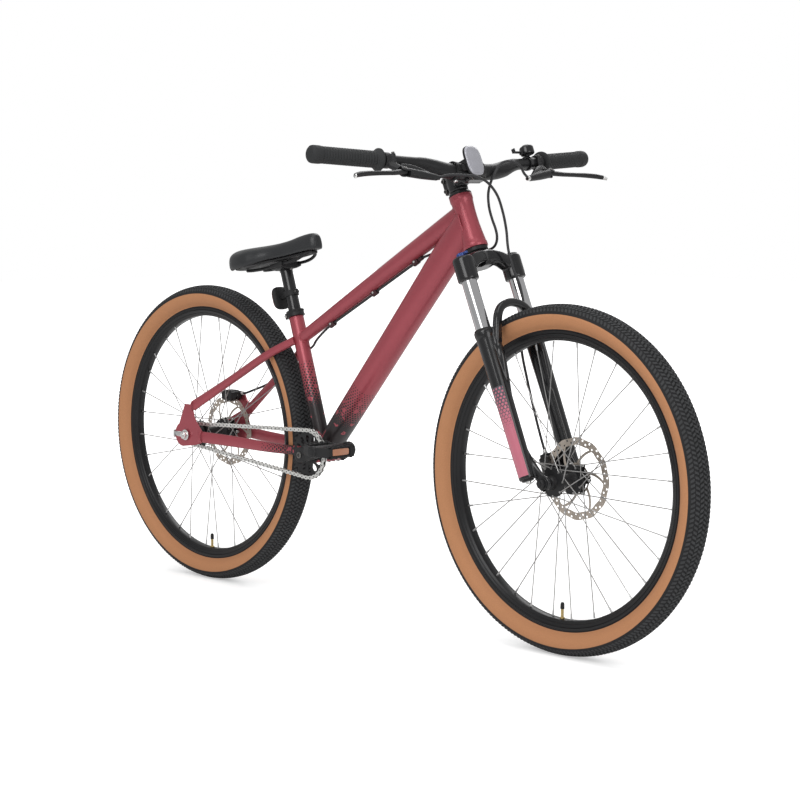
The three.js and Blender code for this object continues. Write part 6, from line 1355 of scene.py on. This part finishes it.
def lens_finish(name, colour, metallic=0.0):
    made = finish(name, colour, 0.16, metallic, scale=70, amount=0.12, bump=0.7, wear=0.9, setup=prism)
    shader = made.node_tree.nodes["Principled BSDF"]
    shader.inputs["Coat Weight"].default_value = 0.8
    return made


clear_lens = lens_finish("clear_prism_lens", srgb(172, 172, 184), 0.35)
red_lens = lens_finish("red_prism_lens", srgb(150, 14, 14))
amber_lens = lens_finish("amber_prism_lens", srgb(196, 104, 6))


def squircle(w, h, count=56, power=3.2):
    a = 2 * math.pi * np.arange(count) / count
    c, s = np.cos(a), np.sin(a)
    return np.c_[w / 2 * np.sign(c) * abs(c) ** (2 / power), h / 2 * np.sign(s) * abs(s) ** (2 / power)]


def domed(outline, centre, right, upward, depths, scales):
    """An outline repeated at depths along its normal, scaled at each, closed at both ends."""
    o = np.asarray(outline)
    normal = np.cross(unit(right), unit(upward))
    return shell(np.stack([np.asarray(centre) + d * normal + s * (o[:, :1] * unit(right)
                                                                  + o[:, 1:] * unit(upward))
                           for d, s in zip(depths, scales)]))


right, upward, face = ACROSS, turn([0, 0, 1]), steer([68, -14, 154])
piece("reflector_tray",
      [domed(squircle(44, 62), face, right, upward, [0, 0.4, 4.6, 5.2], [0.93, 1, 1, 0.96])], moulded_black,
      "fork")
piece("reflector_lens",
      [domed(squircle(42.4, 60.4), face, right, upward, [3.8, 5.6, 7.2, 8], [1, 1, 0.95, 0.82])],
      clear_lens, "fork", "front_reflector", crease=60)
middle = on_bar(50, -1)
bracket = [turned([(16.8, -5), (19.2, -5), (19.5, -4.6), (19.5, 4.6), (19.2, 5), (16.8, 5)], steer(middle),
                  turn([0, -0.98, 0.16]), 48, ring=True),
           box((12, 12, 9.5), steer([61.5, -50, middle[2]]), FORWARD, UPWARD),
           box((4, 12, 31), steer([65.5, -39.6, middle[2]]), FORWARD, UPWARD)]
piece("reflector_bracket_ring", bracket, moulded_black, "fork", "front_reflector_bracket", bevel=0.6)
piece("reflector_bracket_screw", [bolt(steer(middle - [0, 0, 19]), -UPWARD, 4.2, 3)], bright_steel, "fork")
print("cockpit done")

# %% [markdown]
# ## Saddle
# The saddle is a padded cover over a plastic shell, on two rails that a clamp holds on the post.
# The cover starts as a smooth lofted form, a little small. It is then blown up like a cushion by a
# short cloth simulation, with its underside held, so that the padding bulges as foam under a
# stretched skin does.

# %% Saddle frame and cover form
# The photograph shows the saddle 6 mm higher and 3 degrees steeper than the solids have it.
tilt = math.radians(11.5)
SADDLE_X = np.array([math.cos(tilt), 0, math.sin(tilt)])
SADDLE_Z = np.array([-math.sin(tilt), 0, math.cos(tilt)])
post_top = seat_at(405)


def saddle(p):
    """A point of the saddle's tilted frame in the world."""
    p = np.asarray(p, float)
    return post_top + p[..., 0:1] * SADDLE_X + p[..., 1:2] * ACROSS + p[..., 2:3] * SADDLE_Z


stations = np.array([[0, 0.42, 0.9, 0.6], [0.05, 0.78, 1, 0.18], [0.15, 0.97, 1.03, 0],
                     [0.27, 1, 0.99, 0.06], [0.4, 0.8, 0.94, 0.3], [0.53, 0.52, 0.92, 0.5],
                     [0.68, 0.36, 0.93, 0.6], [0.82, 0.31, 0.96, 0.62], [0.94, 0.26, 0.94, 0.72],
                     [1, 0.14, 0.83, 0.95]])
half_section = np.array([[0, 0], [0.6, 0], [0.86, 0.01], [0.885, -0.12], [0.93, -0.22], [0.985, -0.1],
                         [1, 0.3], [0.93, 0.66], [0.72, 0.88], [0.4, 0.98], [0, 1]])
rows, ring = spline(stations, 72), spline(half_section, 40)
ring = np.vstack([ring, ring[-2:0:-1] * [-1, 1]])
x = 252 * rows[:, 0] - 136
half, crown = 69.5 * rows[:, 1], 61.5 * rows[:, 2] + 5 * rows[:, 0] ** 3
low = 24.7 + 1.2 * rows[:, 3]
skirt = np.clip(np.minimum(rows[:, 0] / 0.1, (0.5 - rows[:, 0]) / 0.2), 0, 1)[:, None]
rise = np.where(ring[:, 1] < 0, ring[:, 1] * skirt, ring[:, 1])
grid = np.stack(np.broadcast_arrays(x[:, None], half[:, None] * ring[:, 0], low[:, None]
                                    + (crown - low)[:, None] * rise), -1)
verts = saddle(grid)
cover = piece("saddle_form", [shell(verts)], satin_black, None)


# %% Blow the cover up like a cushion
def cushion(obj, name, held, voxel=3.2, cap=6.0, pressure=4.0, frames=20):
    """A voxel copy of a form, inflated by cloth pressure. Points move cap millimetres at most, and
    those marked by held(points) keep their place. One subdivision and a little smoothing follow."""
    fuse = obj.modifiers.new("fuse", "REMESH")
    fuse.mode, fuse.voxel_size = "VOXEL", voxel * 0.001
    bpy.context.view_layer.update()
    mesh = bpy.data.meshes.new_from_object(obj.evaluated_get(bpy.context.evaluated_depsgraph_get()))
    made = bpy.data.objects.new(name, mesh)
    scene.collection.objects.link(made)
    bpy.data.objects.remove(obj)
    rest = np.empty(len(mesh.vertices) * 3)
    mesh.vertices.foreach_get("co", rest)
    rest = rest.reshape(-1, 3)
    stay_put = held(rest)
    made.vertex_groups.new(name="held").add(np.flatnonzero(stay_put > 0.5).tolist(), 1.0, "REPLACE")
    cloth = made.modifiers.new("cloth", "CLOTH")
    cloth.settings.use_pressure, cloth.settings.uniform_pressure_force = True, pressure
    cloth.settings.effector_weights.gravity = 0.0
    cloth.settings.vertex_group_mass = "held"
    for at in range(1, frames + 1):
        scene.frame_set(at)
    moved = np.empty(len(rest) * 3)
    made.evaluated_get(bpy.context.evaluated_depsgraph_get()).data.vertices.foreach_get("co", moved)
    shift = moved.reshape(-1, 3) - rest
    far = np.linalg.norm(shift, axis=1, keepdims=True)
    shift *= np.minimum(far, cap * 0.001) / np.maximum(far, 1e-9) * (1 - stay_put[:, None])
    made.modifiers.remove(cloth)
    scene.frame_set(1)
    mesh.vertices.foreach_set("co", (rest + shift).ravel())
    print(name, "moved up to", round(float(np.linalg.norm(shift, axis=1).max()) * 1000, 1), "mm")
    soften = made.modifiers.new("soften", "SMOOTH")
    soften.iterations, soften.factor = 6, 0.5
    finer = made.modifiers.new("finer", "SUBSURF")
    finer.levels = finer.render_levels = 1
    bpy.context.view_layer.update()
    final = bpy.data.meshes.new_from_object(made.evaluated_get(bpy.context.evaluated_depsgraph_get()))
    made.modifiers.clear()
    made.data = final
    final.shade_smooth()
    return made


def underside(points):
    """How firmly the base holds a point, from its height over the post's top in the saddle's own
    frame: (38 - height) / 9, which is 1 up to 29 mm and 0 from 38 mm on."""
    height = (points * 1000 - post_top) @ SADDLE_Z
    return np.clip((38 - height) / 9, 0, 1)


def hide_grain(tree, place, base, height):
    """Fine creased cells of pressed leather: the distance to the cells' edges."""
    cells = node(tree, "ShaderNodeTexVoronoi", {"Vector": place, "Scale": 900.0}, feature="DISTANCE_TO_EDGE")
    return base, math_node(tree, "ADD", math_node(tree, "MULTIPLY", cells.outputs["Distance"], 1.5), height)


saddle_skin = finish("saddle_leather", (0.022, 0.023, 0.025), 0.36, scale=14, amount=0.14, bump=0.12,
                     wear=0.7, worn=(0.09, 0.09, 0.09), coat=0.1, setup=hide_grain)
saddle_pad = cushion(cover, "saddle_pad", underside)
saddle_pad.data.materials.clear()
saddle_pad.data.materials.append(saddle_skin)
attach(saddle_pad, "seat")
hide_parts("saddle_cover")

# %% Shell, rails, clamp, post and collar
inset = 0.84
flat_rows = spline(stations, 40)
edge_x, edge_y = (-148 + 266 * flat_rows[:, 0]) * inset, 71 * flat_rows[:, 1] * inset
base_line = np.vstack([np.c_[edge_x, -edge_y], np.c_[edge_x, edge_y][::-1]])
piece("saddle_shell", [plate(base_line, 4.5, saddle([0, 0, 19.9]), SADDLE_X, ACROSS)], moulded_black,
      "seat", "saddle_base", bevel=0.8)
rail = [[-101.2, 24.2, 16.2], [-90.7, 22, 14.5], [-46, 22, 11], [-23, 22, 11], [23, 22, 11], [44, 22, 11],
        [66, 20, 13.6], [82, 16, 19], [88, 9, 22]]
rail += [[x_, -y_, z_] for x_, y_, z_ in rail[::-1]]
rail_line = spline(saddle(rail), 140)
piece("saddle_rail_rod", [tube(rail_line, 3.45, 3.45, 16, np.array([0.1, 0.2, 1.0]))], satin_black, "seat",
      "saddle_rails", "steel", crease=60)
jaws = rounded([(-29, 5.6), (-13.6, 0.6), (13.6, 0.6), (29, 5.6), (29, 15.8), (-29, 15.8)], 3, 4)
cast("saddle_clamp", [plate(jaws, 39, saddle([-19.5, 0, 0]), ACROSS, SADDLE_Z)], cast_black, "seat",
     "seat_clamp", "black_metal",
     1.2, 3, [rod(saddle([-60, s * 22, 11]), saddle([60, s * 22, 11]), 3.9, 20) for s in (-1, 1)])
clamp_bolts = [bolt(saddle([x, 0, 2]), -SADDLE_Z, 3.6, 5) for x in (-16.5, 16.5)]
piece("saddle_clamp_bolts", clamp_bolts, dark_steel, "seat")
piece("seat_post_tube",
      [turned([(12.6, 180), (13.6, 181), (13.6, 402), (13.2, 404.6), (11, 405)], BRACKET, SEAT_UP, 56)],
      gloss_black, "seat", "seatpost")
SEAT_FRONT = np.array([SEAT_UP[2], 0, -SEAT_UP[0]])
collar_ring = turned([(14, 300.3), (19, 300.3), (19.6, 301), (19.6, 304), (18.8, 305.4), (18.8, 309.6),
                      (19.6, 311), (19.6, 313.6),
                      (19, 314.3), (14, 314.3)], BRACKET, SEAT_UP, 56, ring=True)
bolt_at = seat_at(307.3) - SEAT_FRONT * 24.1
lugs = [box((12, 12.6, 4.8), seat_at(307.3) - SEAT_FRONT * 22.4 + [0, s * 4, 0], SEAT_FRONT, SEAT_UP)
        for s in (-1, 1)]
piece("collar_ring", [collar_ring] + lugs, satin_black, "frame", "seat_collar", bevel=0.7)
screw = [bolt(bolt_at + [0, s * 6.2, 0], s * ACROSS, 3.6, 3.4) for s in (-1, 1)]
screw.append(rod(bolt_at - [0, 6, 0], bolt_at + [0, 6, 0], 2.4))
piece("collar_bolt", screw, bright_steel, "frame")

# %% Rear reflector
band_at = seat_at(352)
band = [turned([(14, -6), (15.8, -6), (16.1, -5.6), (16.1, 5.6), (15.8, 6), (14, 6)], band_at, SEAT_UP, 48,
               ring=True),
        box((14.5, 8.4, 12), band_at - SEAT_FRONT * 23, SEAT_FRONT, SEAT_UP),
        box((5, 11, 9), band_at + SEAT_FRONT * 17.4, SEAT_FRONT, SEAT_UP)]
piece("reflector_band", band, moulded_black, "seat", "rear_reflector_clamp", bevel=0.6)
piece("reflector_band_screws",
      [bolt(band_at + SEAT_FRONT * 18 + [0, s * 4.6, 0], s * ACROSS, 2.6, 1.4) for s in (-1, 1)],
      dark_steel, "seat")
back_way = -SEAT_FRONT
lamp_right = np.cross(SEAT_UP, back_way)
tray_at = band_at + back_way * 30.4
piece("rear_reflector_tray", [domed(squircle(42, 50), tray_at, lamp_right, SEAT_UP, [0, 1.4, 3.4, 8.6, 9.4],
                                    [0.72, 0.9, 1, 1, 0.95])], moulded_black, "seat")
piece("rear_reflector_lens",
      [domed(squircle(40, 48), tray_at, lamp_right, SEAT_UP, [8, 10.6, 12.4, 13], [1, 1, 0.95, 0.84])],
      red_lens, "seat", "rear_reflector", crease=60)
print("seat done")

# %% [markdown]
# ## Drivetrain
# A short chain of 80 links runs from a 25-tooth ring to a 12-tooth freewheel. Each link is two
# waisted plates, inner and outer by turns, on pins and rollers half an inch apart. The pins' places
# repeat the CAD layout: they step round both toothed wheels and along the two straight runs.

# %% Chain
CENTRES = 389.61  # from the ring's centre to the cog's
slope = math.asin(9 / CENTRES)
DRIVE_X = np.array([math.cos(slope), 0, -math.sin(slope)])
DRIVE_Z = np.array([math.sin(slope), 0, math.cos(slope)])
CHAIN_LINE = np.array([0, -48, 0])
RING = BRACKET + CHAIN_LINE
PITCH, RING_TEETH, COG_TEETH = 12.7, 25, 12
ring_radius, cog_radius = (PITCH / 2 / math.sin(math.pi / n) for n in (RING_TEETH, COG_TEETH))
around_ring = (6.5 - np.arange(14)) * 2 * math.pi / RING_TEETH
around_cog = math.pi + (2.5 - np.arange(6)) * 2 * math.pi / COG_TEETH
ring_pins = polar(ring_radius, around_ring)
cog_pins = polar(cog_radius, around_cog) - [CENTRES, 0]
straight = np.arange(1, 31)[:, None] / 31
pins = np.vstack([ring_pins, ring_pins[-1] + straight * (cog_pins[0] - ring_pins[-1]), cog_pins,
                  cog_pins[-1] + straight * (ring_pins[0] - cog_pins[-1])])


def drive(p):
    """A point (x, z) of the drive's own plane in the world."""
    p = np.asarray(p, float)
    return RING + p[..., 0:1] * DRIVE_X + p[..., 1:2] * DRIVE_Z


a = np.linspace(-1.95, 1.95, 9)
link_end = np.c_[PITCH / 2 + 4.3 * np.cos(a), 4.3 * np.sin(a)]
link_outline = np.vstack([link_end, [(0, 2.7)], -link_end, [(0, -2.7)]])
plates, rollers = [], []
for i, pin in enumerate(pins):
    following = pins[(i + 1) % len(pins)]
    heading = unit(following - pin)
    right = heading[0] * DRIVE_X + heading[1] * DRIVE_Z
    upward = -heading[1] * DRIVE_X + heading[0] * DRIVE_Z
    middle = drive((pin + following) / 2)
    near = 1.75 if i % 2 == 0 else 2.9
    for side in (-1, 1):
        plates.append(plate(link_outline, -1.05 * side, middle + [0, side * near, 0], right, upward))
    at = drive(pin)
    rollers.append(rod(at - [0, 1.7, 0], at + [0, 1.7, 0], 3.7, 14))
    rollers.append(rod(at - [0, 4.35, 0], at + [0, 4.35, 0], 1.7, 10))
piece("chain_plates", plates, chain_steel, "frame", "chain", crease=40)
piece("chain_rollers", rollers, dark_steel, "frame", crease=40)
print("links:", len(pins))


# %% Toothed wheels
def toothed(teeth, radius, height=2.9, seat=3.85):
    """Outline of a sprocket: an arc of the roller's radius in each gap, and a narrow tip between."""
    step = 2 * math.pi / teeth
    bottom = np.radians(np.linspace(258, 102, 8))
    gap_shape = np.c_[radius + seat * np.cos(bottom), seat * np.sin(bottom)]
    tips = polar(radius + height, step / 2 + np.array([-0.9, 0.9]) / radius)
    one = np.vstack([gap_shape, tips])
    a = (np.arange(teeth) + 0.5)[:, None] * step
    return np.stack([np.cos(a) * one[:, 0] - np.sin(a) * one[:, 1], np.sin(a) * one[:, 0]
                     + np.cos(a) * one[:, 1]], -1).reshape(-1, 2)


ovals = []
t = 2 * math.pi * np.arange(20) / 20
for k in range(12):
    a0 = k * math.pi / 6 + 0.12
    oval = np.c_[32.4 + 9 * np.cos(t), (4.7 + 1.3 * np.cos(t)) * np.sin(t)]
    ovals.append(np.c_[math.cos(a0) * oval[:, 0] - math.sin(a0) * oval[:, 1], math.sin(a0) * oval[:, 0]
                       + math.cos(a0) * oval[:, 1]])
ring_plate = cutout([toothed(RING_TEETH, ring_radius), circle(15.7, count=40)] + ovals, -2.0, RING
                    + [0, -1.0, 0], DRIVE_X, DRIVE_Z)
piece("chainring_plate", [ring_plate], satin_black, "crank", "chainring", crease=30)
cog_at = REAR_AXLE + CHAIN_LINE
cog_shells = [cutout([toothed(COG_TEETH, cog_radius), circle(13.5, count=36)], -2.0, cog_at + [0, -1.0, 0],
                     DRIVE_X, DRIVE_Z),
              turned([(13.4, -10), (17.4, -10), (18, -9.4), (18, 7.2), (17.4, 7.7), (13.4, 7.7)], cog_at,
                     ACROSS, 48, ring=True),
              turned([(17, -8.6), (19.6, -8.2), (19.6, -4), (17, -3.6)], cog_at, ACROSS, 40, ring=True)]
piece("freewheel_cog", cog_shells, dark_steel, "cog", "freewheel", crease=30)

# %% Cranks
CRANK, rise = 152, math.radians(11)
CRANK_X = np.array([math.cos(rise), 0, math.sin(rise)])
for side, name in SIDES:
    way = -side
    path = BRACKET + np.outer([way * 6.8, way * 42.6, way * 98.8, way * 150], CRANK_X) + np.outer(
        [side * 65.5, side * 65.5, side * 68.8, side * 72], ACROSS)
    line = spline(path, 36)
    s = np.linspace(0, 3, 36)
    arm = tube(line, np.interp(s, range(4), [8.4, 7.2, 6.6, 6.6]),
               np.interp(s, range(4), [16, 12, 10.4, 10.4]), 28, power=3.2)
    eye = BRACKET + way * CRANK * CRANK_X
    out = side * ACROSS
    foot = 47.2 if side < 0 else 57.2
    shells = [arm, turned([(14.6, 57), (16.8, 57.6), (17, 59), (17, 72), (16.2, 73.6), (14, 74)], BRACKET,
                          out, 40),
              turned([(14.9, foot), (14.9, 60)], BRACKET, out, 40), turned(
                  [(12, 65), (13.3, 65.6), (13.5, 67), (13.5, 77), (12.8, 78.6), (11, 79)], eye, out, 36)]
    socket = turned([(8.8, 30), (8.8, 65.5)], BRACKET, out, 32)
    cast("crank_forging_" + name, shells, cast_black, "crank", "crank_arm_" + name, "black_metal", 1.5, 3,
         [socket])
    piece("crank_bolt_" + name, [bolt(BRACKET + out * 73.6, out, 7, 2.6)], dark_steel, "crank")
    piece("pedal_axle_" + name, [turned([(4.5, 76), (4.5, 79), (6.6, 79.2), (6.6, 84), (4.55, 84.4),
                                         (4.55, 162), (3.6, 163)], eye, out, 24)], bright_steel, "crank")

# %% [markdown]
# ### Pedals
# The pedals are moulded plastic platforms: a front and a back bar with blunt teeth, a tube round the
# axle, and slanted webs to a round end cap. Amber reflectors sit in recesses front and back.

# %% Pedals
for side, name in SIDES:
    centre = BRACKET - side * CRANK * CRANK_X
    body, out = "pedal_" + name[0], side * ACROSS
    shells = [turned([(4.95, 87), (10.4, 87), (11, 87.8), (11, 168), (4.95, 168)], centre, out, 36,
                     ring=True),
              turned([(10.2, 162), (11.8, 163), (12, 170), (11, 172.4), (8.4, 173)], centre, out, 36),
              turned([(6.8, 172.5), (6.2, 174), (3, 174.4)], centre, out, 24)]
    lenses = []
    for end in (-1, 1):
        shells += [box((7, 70, 22), centre + [end * 34.1, side * 125, 0], AHEAD, ACROSS)]
        shells += [box((4, 70, 4), centre + [end * 38, side * 125, z], AHEAD, ACROSS) for z in (-9.6, 9.6)]
        shells += [box((4, 11, 22), centre + [end * 38, y, 0], AHEAD, ACROSS)
                   for y in (side * 95.5, side * 154.5)]
        shells += [box((32, 9, 20), centre + [end * 23, side * 94.5, 0], AHEAD, ACROSS),
                   box((27, 5, 13), centre + [end * 22, side * 125, 0], AHEAD, ACROSS)]
        web = unit(np.array([end * -27, side * 9.5, 0]))
        shells.append(box((30, 6.5, 20), centre + [end * 23.5, side * 161.5, 0], web, np.cross(UP, web)))
        for k in range(5):
            y = side * (98 + 13.5 * k)
            shells += [plate([(-2.6, -3), (2.6, -3), (1.7, 2.6), (-1.7, 2.6)], end * 9.5 * z, centre
                             + [end * 31.5, y, 11 * z],
                             ACROSS, UP * z) for z in (-1, 1)]
        lenses.append(domed(squircle(46, 14, 40, 6), centre + [end * 37, side * 127, 0], end * ACROSS,
                            UP, [0, 1.8, 2.6], [1, 1, 0.96]))
    piece("pedal_body_" + name, shells, moulded_black, body, "pedal_" + name, bevel=0.7)
    piece("pedal_reflectors_" + name, lenses, amber_lens, body)

# %% Solids that stay as they are
for name, material in (("bottom_bracket", satin_black), ("crank_spindle", bright_steel)):
    solid_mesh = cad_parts[name].data
    solid_mesh.materials.clear()
    solid_mesh.materials.append(material)
print("drivetrain done")

# %% Close the scene
low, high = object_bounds()
print("visual box", [round(float(h - l), 4) for l, h in zip(low, high)])
